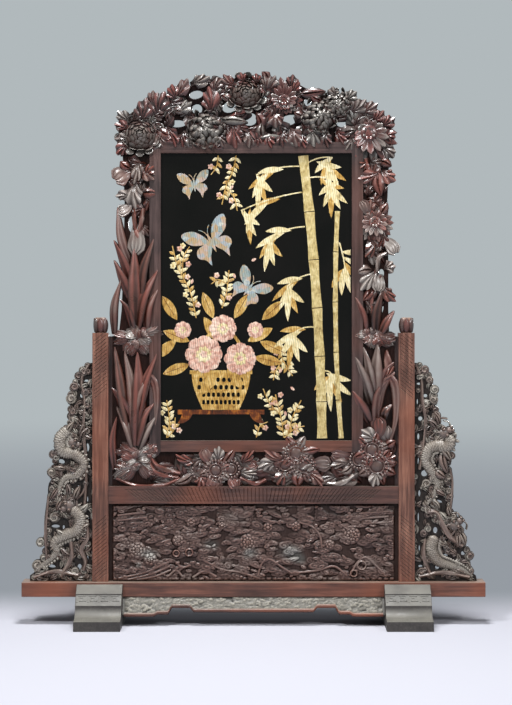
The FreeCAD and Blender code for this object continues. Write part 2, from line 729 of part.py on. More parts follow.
# Leaves and petals: foot x, y, tip x, y and width
LEAF_PIXELS = (
    # crest
    (150, 122, 141, 97, 13), (152, 116, 172, 97, 14), (165, 118, 190, 103, 9), (130, 120, 116, 112, 10),
    (126, 130, 116, 125, 8), (126, 142, 115, 141, 8), (128, 147, 117, 157, 9), (158, 104, 157, 90, 10),
    (172, 104, 171, 85, 10), (178, 98, 187, 76, 11), (190, 84, 208, 76, 11), (212, 113, 206, 86, 14),
    (214, 92, 222, 79, 9), (232, 88, 220, 73, 9), (238, 82, 236, 72, 10), (256, 80, 255, 72, 10),
    (266, 92, 259, 76, 9), (272, 90, 272, 73, 9), (290, 92, 288, 75, 10), (294, 95, 297, 78, 10),
    (296, 100, 301, 86, 8), (300, 97, 325, 92, 10), (340, 97, 345, 88, 9), (346, 102, 357, 92, 9),
    (350, 112, 368, 101, 13), (358, 115, 379, 108, 10), (372, 122, 384, 112, 9), (382, 126, 395, 117, 11),
    (384, 137, 397, 137, 9), (384, 146, 396, 156, 9), (220, 122, 246, 121, 9), (225, 126, 236, 148, 12),
    (262, 113, 265, 133, 10), (275, 108, 276, 126, 10), (288, 128, 299, 146, 12), (308, 128, 315, 146, 12),
    (322, 146, 326, 128, 9), (334, 136, 352, 131, 10), (158, 128, 172, 134, 9), (180, 140, 164, 138, 8),
    # upper left side
    (135, 182, 136, 209, 14), (131, 170, 115, 180, 14), (141, 170, 154, 180, 11), (141, 192, 158, 193, 12),
    (131, 196, 115, 196, 8), (131, 203, 118, 212, 8), (138, 160, 134, 184, 9), (135, 224, 135, 253, 12),
    # iris heads on the left side
    (140, 335, 111, 334, 12), (138, 334, 159, 328, 13), (136, 334, 127, 353, 11), (138, 334, 148, 351, 11),
    (136, 344, 136, 325, 8), (147, 462, 112, 471, 15), (140, 457, 159, 443, 12), (142, 455, 115, 449, 11),
    (140, 461, 153, 475, 13), (136, 464, 119, 479, 10),
    # right side
    (381, 171, 358, 179, 12), (378, 170, 381, 196, 12), (382, 171, 397, 181, 12), (369, 217, 361, 201, 9),
    (374, 215, 371, 199, 9), (380, 215, 388, 203, 9), (373, 238, 365, 257, 11), (383, 238, 396, 253, 10),
    (384, 268, 397, 266, 11), (372, 270, 357, 273, 11), (377, 271, 361, 291, 12), (381, 274, 378, 291, 9),
    (382, 287, 397, 302, 10), (374, 287, 363, 301, 9), (374, 336, 352, 336, 11), (374, 336, 394, 342, 12),
    (372, 326, 372, 345, 10), (384, 373, 388, 352, 11), (381, 381, 394, 366, 8), (388, 442, 386, 426, 10),
    (376, 441, 361, 430, 12), (386, 447, 396, 441, 9), (384, 457, 397, 456, 11), (382, 472, 393, 483, 10),
    # bottom
    (197, 462, 175, 455, 8), (213, 464, 204, 449, 10), (218, 462, 219, 446, 10), (224, 464, 235, 449, 9),
    (239, 464, 254, 450, 8), (239, 467, 257, 464, 7), (238, 472, 257, 474, 7), (194, 473, 174, 484, 9),
    (199, 476, 199, 487, 10), (231, 475, 237, 487, 9), (287, 459, 264, 450, 9), (302, 452, 321, 449, 8),
    (277, 464, 258, 468, 11), (311, 465, 330, 465, 11), (284, 470, 277, 485, 12), (299, 472, 298, 487, 12),
    (307, 471, 323, 487, 10), (275, 475, 251, 482, 6), (354, 456, 332, 455, 10), (352, 462, 330, 466, 9),
    (352, 466, 341, 473, 9), (352, 477, 329, 484, 7), (376, 472, 373, 487, 11), (167, 448, 179, 467, 6),
)
# Sword leaves: foot, bend and tip, then width
BLADE_PIXELS = (
    ((130, 264), (121, 238), (117, 207), 7), ((134, 292), (125, 265), (114, 240), 7),
    ((134, 306), (124, 282), (114, 260), 7), ((136, 322), (135, 285), (134, 249), 12),
    ((140, 302), (143, 270), (154, 239), 7), ((137, 327), (143, 298), (158, 270), 8),
    ((146, 330), (148, 308), (158, 290), 7), ((113, 332), (114, 302), (121, 280), 6),
    ((134, 332), (128, 310), (120, 299), 6), ((134, 442), (122, 385), (114, 347), 10),
    ((137, 442), (133, 395), (124, 351), 8), ((137, 442), (139, 400), (137, 358), 9),
    ((136, 422), (143, 385), (157, 354), 8), ((131, 420), (139, 389), (152, 376), 8),
    ((136, 442), (143, 418), (155, 403), 7), ((139, 448), (146, 430), (156, 417), 7),
    ((130, 412), (121, 398), (111, 388), 8), ((134, 448), (128, 425), (117, 407), 8),
    ((113, 468), (111, 440), (114, 417), 6), ((364, 332), (362, 312), (356, 297), 6),
    ((376, 332), (377, 312), (381, 293), 8), ((381, 335), (387, 322), (395, 313), 7),
    ((371, 400), (364, 375), (356, 357), 9), ((368, 420), (361, 403), (353, 391), 8),
    ((375, 397), (376, 370), (379, 344), 9), ((374, 394), (370, 365), (366, 349), 7),
    ((376, 420), (379, 392), (391, 377), 9), ((382, 418), (385, 411), (392, 405), 5),
)
# Stems and folded-over leaves: points along the path, then width
STEM_PIXELS = (
    (((135, 207), (134, 218), (135, 230)), 4), (((142, 210), (140, 222), (138, 233)), 4),
    (((151, 377), (157, 392), (157, 425)), 6), (((390, 377), (396, 396), (395, 428), (390, 442)), 7),
    (((377, 272), (379, 258), (387, 253)), 4), (((255, 138), (272, 136), (284, 139), (297, 146)), 4),
    (((228, 118), (240, 112), (253, 109)), 4), (((118, 481), (150, 485), (179, 479)), 6),
    (((150, 456), (160, 467), (178, 473)), 7), (((366, 158), (368, 168), (374, 174)), 4),
)
CREST_EDGE_PIXELS = ((390, 122), (372, 104), (345, 94), (318, 95), (298, 84), (270, 79), (240, 78),
                     (200, 82), (170, 94), (140, 106), (121, 122))
CREST_HOLES_PIXELS = ((194, 95, 6, 5, -10), (196, 108, 4, 5, 0), (176, 123, 8, 3, 0), (230, 107, 6, 4, -30),
                      (250, 118, 6, 6, 0), (289, 119, 9, 4, 20), (309, 103, 5, 3, -20), (346, 123, 8, 3, 5))
LEFT_EDGE_PIXELS = ((122, 162), (122, 200), (121, 260), (119, 310))
RIGHT_EDGE_PIXELS = ((391, 310), (391, 260), (390, 200), (391, 162))
LEFT_HOLES_PIXELS = ((126, 224, 4, 10, 0), (125, 297, 3, 8, 0))
RIGHT_HOLES_PIXELS = ((384, 273, 4, 5, 0), (385, 307, 3, 7, 0))
LEAF_CURLS_SHARES = (0.2, 0.6, 0.35, 0.8, 0.5)
LEAF_LIFTS_SHARES = (0.0, 0.25, -0.2)
LEAF_DEPTH_SHARE = 0.5
BLADE_DEPTH_SHARE = 0.45
STEM_DEPTH_SHARE = 0.5
PETAL_COUNT = 7
DISC_PETAL_COUNT = 6


def frame_motifs(field):
    """Every carved flower, leaf and stem of the frame, before the boards divide them."""
    depth = mm("carve_depth")
    motifs = [bloom(field, (x, y), radius, depth, PETAL_COUNT) for x, y, radius in MUM_PIXELS]
    motifs += [bloom(field, (x, y), radius, depth, DISC_PETAL_COUNT, DISC_RINGS_SHARES)
               for x, y, radius in DISC_PIXELS]
    for number, (x, y, tip_x, tip_y, width) in enumerate(LEAF_PIXELS):
        curl = depth * LEAF_CURLS_SHARES[number % len(LEAF_CURLS_SHARES)] / 2
        lift = depth * LEAF_LIFTS_SHARES[number % len(LEAF_LIFTS_SHARES)]
        motifs.append(strand(field, ((x, y), (tip_x, tip_y)), width, depth * LEAF_DEPTH_SHARE,
                             leaf_width, lift, curl, stations=3))
    for number, (*path, width) in enumerate(BLADE_PIXELS):
        curl = depth * LEAF_CURLS_SHARES[number % len(LEAF_CURLS_SHARES)] / 2
        lift = depth * LEAF_LIFTS_SHARES[number % len(LEAF_LIFTS_SHARES)]
        motifs.append(strand(field, path, width, depth * BLADE_DEPTH_SHARE, blade_width, lift, curl,
                             stations=4))
    for path, width in STEM_PIXELS:
        motifs.append(strand(field, path, width, depth * STEM_DEPTH_SHARE, stem_width, depth / 8, stations=4))
    return motifs


def make_carved_frame():
    """The four carved boards round the picture frame: crest, two side borders and the bottom one."""
    outer = mm("frame_width / 2")
    low, high = mm(MID_TOP), mm(CREST_TOP)
    field = Board(FRAME_PIXELS, -outer, outer, low, high)
    motifs = frame_motifs(field)
    depth, web = 2 * mm("carve_depth"), mm("web_depth")
    stile_left, stile_right = mm(STILE_LEFT), mm(STILE_RIGHT)
    open_left, open_right = mm(OPENING_LEFT), mm(OPENING_RIGHT)
    foot, head, ear = mm(FRAME_FOOT), mm(FRAME_HEAD), mm(EAR_BOTTOM)
    reach, thick = mm("board_tongue_reach"), mm("board_tongue")
    side_room = mm("cut_overrun")

    def tongue(x, z, wide, tall):
        """A tongue on a board's inner edge, centred on the web."""
        return Part.makeBox(wide, thick, tall, Vector(x, -thick / 2, z))

    straight = [Vector(outer, 0, ear), Vector(stile_right, 0, ear), Vector(stile_right, 0, head),
                Vector(stile_left, 0, head), Vector(stile_left, 0, ear), Vector(-outer, 0, ear)]
    crest_web = web_plate(field, straight[::-1], CREST_EDGE_PIXELS, web, CREST_HOLES_PIXELS)
    crest_room = zone([(-outer - side_room, ear), (stile_left, ear), (stile_left, head),
                       (stile_right, head), (stile_right, ear), (outer + side_room, ear),
                       (outer + side_room, high), (-outer - side_room, high)], depth)
    carved("crest", crest_web, motifs, crest_room,
           [tongue(open_left + reach, head - reach, open_right - open_left - 2 * reach, 2 * reach)])

    runner_top = low + mm("runner_height")
    left_web = web_plate(field, [Vector(-outer, 0, runner_top), Vector(-outer, 0, low),
                                 Vector(stile_left, 0, low), Vector(stile_left, 0, ear)],
                         LEFT_EDGE_PIXELS, web, LEFT_HOLES_PIXELS)
    left_room = zone([(-outer - side_room, runner_top), (-outer, runner_top), (-outer, low),
                      (stile_left, low), (stile_left, ear), (-outer - side_room, ear)], depth)
    carved("left_border", left_web, motifs, left_room,
           [tongue(stile_left - reach, foot + reach, 2 * reach, ear - foot - 2 * reach)])

    right_web = web_plate(field, [Vector(stile_right, 0, ear), Vector(stile_right, 0, low),
                                  Vector(outer, 0, low), Vector(outer, 0, runner_top)],
                          RIGHT_EDGE_PIXELS, web, RIGHT_HOLES_PIXELS)
    right_room = zone([(stile_right, low), (outer, low), (outer, runner_top),
                       (outer + side_room, runner_top), (outer + side_room, ear),
                       (stile_right, ear)], depth)
    carved("right_border", right_web, motifs, right_room,
           [tongue(stile_right - reach, foot + reach, 2 * reach, ear - foot - 2 * reach)])

    plank = Part.makeBox(stile_right - stile_left, web, foot - low, Vector(stile_left, -web / 2, low))
    bottom_room = zone([(stile_left, low), (stile_right, low), (stile_right, foot),
                        (stile_left, foot)], depth)
    carved("bottom_border", plank, motifs, bottom_room,
           [tongue(open_left + reach, foot - reach, open_right - open_left - 2 * reach, 2 * reach)])


# Wings, in pixels of the photograph: left, right, top and bottom edge first
WING_PIXELS = {"left": (29, 91, 361, 582), "right": (415.5, 478, 361, 582)}
# Dragon bodies and tails: points from neck to tail, then width
DRAGON_PIXELS = {
    "left": (
        (((69, 428), (60, 439), (62, 451), (75, 455), (83, 464), (77, 475), (64, 479), (57, 488),
          (56, 503)), 11),
        (((70, 508), (79, 517), (77, 530), (65, 536), (54, 543), (52, 553), (44, 563), (33, 572)), 12),
        (((86, 520), (86, 538), (79, 550), (84, 562), (83, 571), (75, 577)), 7),
    ),
    "right": (
        (((451, 446), (440, 446), (429, 450), (426, 461), (432, 472), (438, 484), (434, 496),
          (426, 506)), 12),
        (((428, 512), (437, 513), (443, 525), (451, 538), (463, 547), (470, 557), (464, 567)), 10),
        (((435, 536), (432, 549), (438, 561), (451, 566), (463, 570), (473, 577)), 11),
    ),
}
# Dragon heads: centre x, y and radius
HEAD_PIXELS = {"left": ((73, 444, 7), (68, 504, 8)), "right": ((444, 433, 8), (455, 525, 8))}
# Cloud scrolls: centre x, y and radius
CLOUD_PIXELS = {
    "left": ((84, 372, 5), (74, 387, 6), (71, 400, 7), (72, 412, 5), (85, 393, 6), (87, 406, 4),
             (53, 455, 6), (50, 473, 6), (41, 544, 6), (37, 566, 7), (54, 518, 7), (87, 432, 4),
             (71, 420, 5), (85, 484, 4)),
    "right": ((425, 370, 6), (430, 380, 5), (435, 390, 6), (434, 400, 6), (426, 404, 6), (437, 416, 6),
              (452, 456, 5), (427, 484, 6), (449, 551, 6), (454, 517, 5), (461, 531, 5), (471, 556, 5),
              (473, 572, 5), (424, 534, 5), (451, 497, 4)),
}
# Stems, staffs, whiskers and waves: points along the path, then width
WING_STEM_PIXELS = {
    "left": ((((89, 364), (81, 380), (84, 400), (83, 430), (86, 470), (84, 510)), 4),
             (((47, 560), (45, 530), (48, 497)), 5), (((60, 575), (70, 560), (70, 542)), 7),
             (((33, 577), (55, 572), (75, 574)), 8), (((62, 432), (57, 439)), 3)),
    "right": ((((416, 364), (422, 380), (423, 402), (426, 420), (424, 445), (420, 470)), 4),
              (((451, 470), (453, 485), (451, 510)), 4), (((426, 540), (424, 556), (430, 572)), 6),
              (((419, 575), (445, 573), (470, 577)), 8), (((438, 418), (448, 419)), 3),
              (((446, 428), (456, 435)), 3)),
}
WING_EDGE_PIXELS = {
    "left": ((84, 367), (73, 385), (70, 402), (71, 420), (61, 437), (55, 455), (53, 475), (51, 497),
             (48, 520), (47, 540), (44, 558), (40, 568), (34, 574)),
    "right": ((472, 574), (468, 566), (470, 556), (463, 543), (455, 528), (451, 514), (449, 495),
              (449, 475), (449, 456), (445, 436), (437, 420), (435, 402), (432, 385), (424, 367)),
}
WING_HOLES_PIXELS = {
    "left": ((87, 448, 2.5, 5, 0), (61, 462, 4, 3, 20), (78, 488, 2, 3, 0), (87, 500, 1.5, 4, 0),
             (55, 527, 5, 2.5, 0), (63, 528, 2, 3, 0), (48, 543, 2, 3, 0), (72, 543, 2, 3.5, 0),
             (51, 567, 5, 2.5, 10), (79, 568, 3, 4, 0), (81, 396, 2.5, 3, 0), (86, 381, 3, 2, 0)),
    "right": ((420, 384, 3.5, 2, 0), (426, 396, 3, 2.5, 0), (421, 419, 3, 3, 0), (419, 437, 2, 4, 0),
              (444, 457, 4, 3, 0), (425, 474, 4, 4, 40), (420, 494, 2, 4, 0), (440, 502, 4, 2, 20),
              (448, 506, 2, 4, 0), (436, 531, 3, 4, 0), (423, 533, 3, 3, 0), (446, 556, 4, 2, 0),
              (464, 554, 3, 3, 0), (421, 567, 3, 2, 0), (438, 568, 3, 3, 0)),
}
DRAGON_STATIONS = 12
CLOUD_LOBES = 4
CLOUD_HEIGHT_SHARE = 0.8
HEAD_RINGS_SHARES = ((1.0, 0.1, 0.10), (0.72, 0.8, 0.08), (0.35, 1.0, -0.05))
CLOUD_RINGS_SHARES = ((1.0, 0.1, 0.08), (0.66, 1.0, 0.06))


def make_wing(side):
    """A wing: a pierced bracket with two dragons among clouds, tongued into the post."""
    sign = SIDES[side]
    near, far = mm(POST_OUTER), mm(f"{POST_OUTER} + wing_width")
    floor, top = mm(RAIL_TOP), mm(f"{RAIL_TOP} + wing_height")
    left, right = sorted((sign * near, sign * far))
    field = Board(WING_PIXELS[side], left, right, floor, top)
    depth = mm("wing_carve")
    motifs = [strand(field, path, width, depth * LEAF_DEPTH_SHARE + depth / 4, body_width, depth / 8,
                     stations=DRAGON_STATIONS, sides=6) for path, width in DRAGON_PIXELS[side]]
    motifs += [bloom(field, (x, y), radius, depth, CLOUD_LOBES + 1, HEAD_RINGS_SHARES)
               for x, y, radius in HEAD_PIXELS[side]]
    motifs += [bloom(field, (x, y), radius, depth * CLOUD_HEIGHT_SHARE, CLOUD_LOBES, CLOUD_RINGS_SHARES)
               for x, y, radius in CLOUD_PIXELS[side]]
    motifs += [strand(field, path, width, depth * STEM_DEPTH_SHARE, stem_width, depth / 6)
               for path, width in WING_STEM_PIXELS[side]]
    stile, plinth = mm("wing_stile_width"), mm("wing_plinth_height")
    plinth_depth = mm("wing_plinth_depth")
    straight = [Vector(sign * far, 0, floor + plinth), Vector(sign * far, 0, floor),
                Vector(sign * near, 0, floor), Vector(sign * near, 0, top)]
    edge = WING_EDGE_PIXELS[side]
    edge = edge if sign < 0 else edge[::-1]
    web = web_plate(field, straight, edge, mm("wing_web"), WING_HOLES_PIXELS[side])
    stile_depth = mm("wing_stile_depth")
    post_side = Part.makeBox(stile, stile_depth, top - floor - stile,
                             Vector(min(sign * near, sign * (near + stile)), -stile_depth / 2, floor))
    sill = Part.makeBox(far - near, plinth_depth, plinth, Vector(left, -plinth_depth / 2, floor))
    over = mm("cut_overrun")
    corners = [(sign * near, floor), (sign * far, floor), (sign * (far + over), floor + plinth),
               (sign * (far + over), top), (sign * near, top)]
    room = zone(corners, 2 * depth)
    thick, reach = mm("wing_tongue"), mm("wing_tongue_reach")
    low_x = min(sign * (near - reach), sign * (near + reach))
    tongue = Part.makeBox(2 * reach, thick, top - floor - stile, Vector(low_x, -thick / 2, floor))
    carved(f"{side}_wing", web, motifs + [post_side, sill], room, [tongue])


# Lower panel relief, in pixels of the photograph: left, right, top and bottom edge first
LOWER_PIXELS = (109, 398, 505, 582)
LOWER_BLOOM_PIXELS = ((247, 543, 9), (137, 553, 9), (187, 524, 7), (351, 537, 9), (210, 545, 8),
                      (293, 556, 9), (293, 527, 6), (362, 566, 7), (329, 543, 7), (151, 557, 6))
LOWER_WAVE_PIXELS = (
    (((119, 575), (142, 572), (168, 561)), 6), (((140, 580), (160, 576), (180, 562)), 6),
    (((192, 576), (206, 565), (222, 570), (250, 578)), 8), (((255, 576), (270, 560), (285, 578)), 10),
    (((290, 576), (312, 573), (330, 568), (348, 577)), 7),
    (((302, 522), (314, 527), (321, 537), (322, 547)), 6),
    (((118, 516), (140, 519), (160, 513)), 5), (((163, 516), (178, 513), (196, 517)), 6),
    (((120, 533), (140, 535), (162, 530)), 7), (((262, 530), (280, 526), (300, 533)), 6),
    (((325, 515), (352, 518), (388, 514)), 6), (((335, 550), (360, 546), (388, 543)), 6),
    (((352, 575), (372, 564), (386, 576)), 8), (((176, 548), (190, 556), (205, 562)), 7),
    (((222, 530), (240, 526), (258, 529)), 6), (((262, 545), (276, 540), (290, 543)), 7),
)


def make_lower_panel():
    """The lower panel: a tongued board with flowers, clouds and waves in low relief on its front."""
    inner, low, high = mm(POST_INNER), mm(RAIL_TOP), mm(MID_BOTTOM)
    field = Board(LOWER_PIXELS, -inner, inner, low, high)
    half, relief = mm("lower_panel_depth") / 2, mm("relief_depth")
    reach, thick = mm("panel_tongue_reach"), mm("panel_tongue")
    board = Part.makeBox(2 * inner, 2 * half, high - low, Vector(-inner, -half, low))
    tongues = [
        Part.makeBox(2 * (inner + reach), thick, high - low, Vector(-inner - reach, -thick / 2, low)),
        Part.makeBox(2 * inner, thick, high - low + 2 * reach, Vector(-inner, -thick / 2, low - reach)),
    ]
    motifs = [bloom(field, (x, y), radius, half + relief, PETAL_COUNT)
              for x, y, radius in LOWER_BLOOM_PIXELS]
    motifs += [strand(field, path, width, relief, leaf_width, half) for path, width in LOWER_WAVE_PIXELS]
    room = Part.makeBox(2 * inner, half + 2 * relief, high - low, Vector(-inner, -half - 2 * relief, low))
    whole = board.multiFuse([motif.common(room) for motif in motifs] + tongues)
    return piece("lower_panel", feature(max(whole.Solids, key=lambda solid: solid.Volume), "panel_wood"))


# Picture frame


def make_stile(side):
    """A stile: rebated behind for the panel, grooved outside for its carved board, mortised for rails."""
    sign = SIDES[side]
    inner, outer = (OPENING_LEFT, STILE_LEFT) if sign < 0 else (OPENING_RIGHT, STILE_RIGHT)
    low_x, high_x = (outer, inner) if sign < 0 else (inner, outer)

    def cutter(start, end, front, back, low, high):
        """A block between two places in X, counted outwards from the frame's middle."""
        ends = (f"({start})", f"({end})")
        first, last = ends if sign > 0 else ends[::-1]
        return block((first, front, low), (last, back, high))

    out = f"{sign}"
    stock = block((low_x, "-member_depth / 2", FRAME_FOOT), (high_x, "member_depth / 2", FRAME_HEAD))
    cutters = [
        cutter(f"{inner} - {out} * cut_overrun", f"{inner} + {out} * rebate_reach", LACQUER_FRONT,
               "member_depth / 2 + cut_overrun", f"{OPENING_BOTTOM} - rebate_reach",
               f"{OPENING_TOP} + rebate_reach"),
        cutter(f"{outer} - {out} * (board_tongue_reach + glue_gap)", f"{outer} + {out} * cut_overrun",
               "-board_tongue / 2 - glue_gap", "board_tongue / 2 + glue_gap",
               f"{FRAME_FOOT} + board_tongue_reach - glue_gap",
               f"{EAR_BOTTOM} - board_tongue_reach + glue_gap"),
    ]
    for middle in (f"({FRAME_FOOT} + {OPENING_BOTTOM}) / 2", f"({FRAME_HEAD} + {OPENING_TOP}) / 2"):
        cutters.append(cutter(
            f"{inner} - {out} * cut_overrun", f"{inner} + {out} * (member_tenon_reach + glue_gap)",
            "-member_depth / 2 + lip_depth - member_tenon_depth - glue_gap",
            "-member_depth / 2 + lip_depth + glue_gap",
            f"{middle} - member_tenon_height / 2 - glue_gap",
            f"{middle} + member_tenon_height / 2 + glue_gap"))
    cutters += screw_bores(side, "screw_length + glue_gap")
    return piece(f"frame_{side}_stile", trimmed(stock, cutters))


def make_frame_rail(end):
    """A top or bottom rail of the picture frame: tenoned, rebated behind, grooved outside."""
    top = end == "top"
    inner, outer = (OPENING_TOP, FRAME_HEAD) if top else (OPENING_BOTTOM, FRAME_FOOT)
    low, high = (inner, outer) if top else (outer, inner)
    middle = f"({inner} + {outer}) / 2"
    stock = block((OPENING_LEFT, "-member_depth / 2", low), (OPENING_RIGHT, "member_depth / 2", high))
    tenon = block(
        (f"{OPENING_LEFT} - member_tenon_reach", "-member_depth / 2 + lip_depth - member_tenon_depth",
         f"{middle} - member_tenon_height / 2"),
        (f"{OPENING_RIGHT} + member_tenon_reach", "-member_depth / 2 + lip_depth",
         f"{middle} + member_tenon_height / 2"))
    way = "1" if top else "-1"
    edges = [f"({inner} - {way} * cut_overrun)", f"({inner} + {way} * rebate_reach)"]
    grooves = [f"({outer} - {way} * (board_tongue_reach + glue_gap))", f"({outer} + {way} * cut_overrun)"]
    rebate_low, rebate_high = edges if top else edges[::-1]
    groove_low, groove_high = grooves if top else grooves[::-1]
    cutters = [
        block((f"{OPENING_LEFT} - cut_overrun", LACQUER_FRONT, rebate_low),
              (f"{OPENING_RIGHT} + cut_overrun", "member_depth / 2 + cut_overrun", rebate_high)),
        block((f"{STILE_LEFT}", "-board_tongue / 2 - glue_gap", groove_low),
              (f"{STILE_RIGHT}", "board_tongue / 2 + glue_gap", groove_high)),
    ]
    cutters += screw_bores(end, "screw_length + glue_gap")
    return piece(f"frame_{end}_rail", trimmed(joined([stock, tenon]), cutters))


def make_runner(side):
    """A runner: a batten on the border's edge that slides in the post's groove."""
    sign = SIDES[side]
    ends = [f"{sign} * frame_width / 2", f"{sign} * ({POST_INNER} + runner_reach)"]
    near, far = ends if sign > 0 else ends[::-1]
    return piece(f"{side}_runner", block(
        (near, "-runner_depth / 2", MID_TOP), (far, "runner_depth / 2", f"{MID_TOP} + runner_height")))


# Lacquer panel, beads and screws

SCREW_COUNTS = {"side": 5, "end": 3}


def spread(start, end, count):
    """Evenly spaced places between two ends, inset by the screws' end distance."""
    first, last = f"({start} + screw_inset)", f"({end} - screw_inset)"
    steps = count - 1
    return [f"({first} + ({last} - {first}) * {step} / {steps})" for step in range(count)]


def make_lacquer_panel():
    """The lacquer panel: a plain board that fills the rebate, less a gluing gap."""
    return piece("lacquer_panel", block(
        (f"{OPENING_LEFT} - rebate_reach + slide_gap", LACQUER_FRONT,
         f"{OPENING_BOTTOM} - rebate_reach + slide_gap"),
        (f"{OPENING_RIGHT} + rebate_reach - slide_gap", LACQUER_BACK,
         f"{OPENING_TOP} + rebate_reach - slide_gap")))


def bead_rows():
    """Each bead's corners in X and Z, the way its screws point and where their heads sit."""
    left = f"({OPENING_LEFT} - rebate_reach + slide_gap)"
    right = f"({OPENING_RIGHT} + rebate_reach - slide_gap)"
    low = f"({OPENING_BOTTOM} - rebate_reach + slide_gap)"
    high = f"({OPENING_TOP} + rebate_reach - slide_gap)"
    across = spread(OPENING_LEFT, OPENING_RIGHT, SCREW_COUNTS["end"])
    up = spread(OPENING_BOTTOM, OPENING_TOP, SCREW_COUNTS["side"])
    inside = {"left": f"({left} + bead_width)", "right": f"({right} - bead_width)",
              "bottom": f"({low} + bead_width)", "top": f"({high} - bead_width)"}
    return {
        "top": ((left, inside["top"]), (right, high), Vector(0, 0, 1),
                [(x, inside["top"]) for x in across]),
        "bottom": ((left, low), (right, inside["bottom"]), Vector(0, 0, -1),
                   [(x, inside["bottom"]) for x in across]),
        "left": ((left, inside["bottom"]), (inside["left"], inside["top"]), Vector(-1, 0, 0),
                 [(inside["left"], z) for z in up]),
        "right": ((inside["right"], inside["bottom"]), (right, inside["top"]), Vector(1, 0, 0),
                  [(inside["right"], z) for z in up]),
    }


BEAD_MIDDLE = f"(({LACQUER_BACK} + {BEAD_BACK}) / 2)"


def screw_bores(name, length):
    """Bores for the screws of one bead, from its inner face outwards."""
    _, _, outward, places = bead_rows()[name]
    return [rod((x, BEAD_MIDDLE, z), outward, "screw_shank + 2 * glue_gap", length) for x, z in places]


def make_beads():
    """Four beads that hold the panel from behind, bored for their screws."""
    for name, (low, high, _, _) in bead_rows().items():
        stock = block((low[0], LACQUER_BACK, low[1]), (high[0], BEAD_BACK, high[1]))
        piece(f"{name}_bead", trimmed(stock, screw_bores(name, "bead_width + cut_overrun")))


SCREW_CROWN_SHARE = 0.6


def make_screws():
    """The round-head brass screws of the beads, as one group of separate solids."""
    shank, head = mm("screw_shank") / 2, mm("screw_head") / 2
    screws = []
    for _, _, outward, places in bead_rows().values():
        for x, z in places:
            seat = Vector(mm(x), mm(BEAD_MIDDLE), mm(z))
            stem = Part.makeCylinder(shank, mm("screw_length"), seat, outward)
            dome = Part.makeCone(head, head * SCREW_CROWN_SHARE, mm("screw_head_depth"), seat, -outward)
            screws.append(stem.fuse(dome))
    return piece("bead_screws", feature(Part.makeCompound(screws), "screws"))


# Inlay: a basket of peonies beneath bamboo, with butterflies. Places are shares of the opening.


def opening_point(across_share, up_share):
    """A point on the lacquer's front, from shares of the opening's width and height."""
    return Vector(mm(OPENING_LEFT) + across_share * mm("opening_width"), mm(LACQUER_FRONT),
                  mm(OPENING_BOTTOM) + up_share * mm("opening_height"))


def away(angle, reach):
    """A step of a given length in the panel's plane, at an angle from the viewer's right."""
    turn = math.radians(angle)
    return Vector(reach * math.cos(turn), 0, reach * math.sin(turn))


def proud(face):
    """A flat inlay shape made one layer thick."""
    return face.extrude(Vector(0, -mm("inlay_depth"), 0))


def merged(faces):
    """Flat inlay shapes made one layer thick and joined where they meet."""
    solids = [proud(face) for face in faces]
    whole = solids[0].multiFuse(solids[1:]) if len(solids) > 1 else solids[0]
    return whole.removeSplitter()


def group(shapes):
    """The solids of several shapes as one group."""
    return Part.makeCompound([solid for shape in shapes for solid in shape.Solids])


def disc(centre, radius):
    """A flat round."""
    return Part.Face(Part.Wire(Part.makeCircle(radius, centre, Vector(0, 1, 0))))


def lens(base, tip, width, bow=0.0):
    """A leaf or petal between two points: two arcs that meet in points."""
    ahead = tip - base
    across = Vector(ahead.z, 0, -ahead.x).normalize()
    middle = (base + tip) * 0.5 + across * bow
    sides = [middle + across * (width / 2), middle - across * (width / 2)]
    edges = [Part.Arc(base, sides[0], tip).toShape(), Part.Arc(tip, sides[1], base).toShape()]
    return Part.Face(Part.Wire(edges))


def rounded(points):
    """A closed shape with a smooth edge through points."""
    edge = Part.BSplineCurve()
    edge.interpolate(points, PeriodicFlag=True)
    return Part.Face(Part.Wire(edge.toShape()))


RIBBON_STEPS = 9


def ribbon(points, width):
    """A flat strip of even width along a smooth line, with square ends."""
    line = Part.BSplineCurve()
    line.interpolate(points)
    reach = line.LastParameter - line.FirstParameter
    banks = []
    for side in (1, -1):
        bank = []
        for step in range(RIBBON_STEPS):
            knob = line.FirstParameter + reach * step / (RIBBON_STEPS - 1)
            ahead = line.tangent(knob)[0]
            bank.append(line.value(knob) + Vector(ahead.z, 0, -ahead.x) * (side * width / 2))
        banks.append(bank)
    edges = []
    for bank in banks:
        edge = Part.BSplineCurve()
        edge.interpolate(bank)
        edges.append(edge.toShape())
    edges += [Part.makeLine(banks[0][-1], banks[1][-1]), Part.makeLine(banks[1][0], banks[0][0])]
    return Part.Face(Part.Wire(Part.__sortEdges__(edges)))


CULM_PATHS_SHARES = (
    ((0.845, 0.006), (0.815, 0.5), (0.745, 0.994)),
    ((0.945, 0.006), (0.915, 0.4), (0.925, 0.80)),
)
CULM_JOINTS_SHARES = ((0.0, 0.13, 0.29, 0.46, 0.63, 0.80, 1.0), (0.0, 0.17, 0.38, 0.60, 0.82, 1.0))
CULM_WAIST_SHARE = 0.84


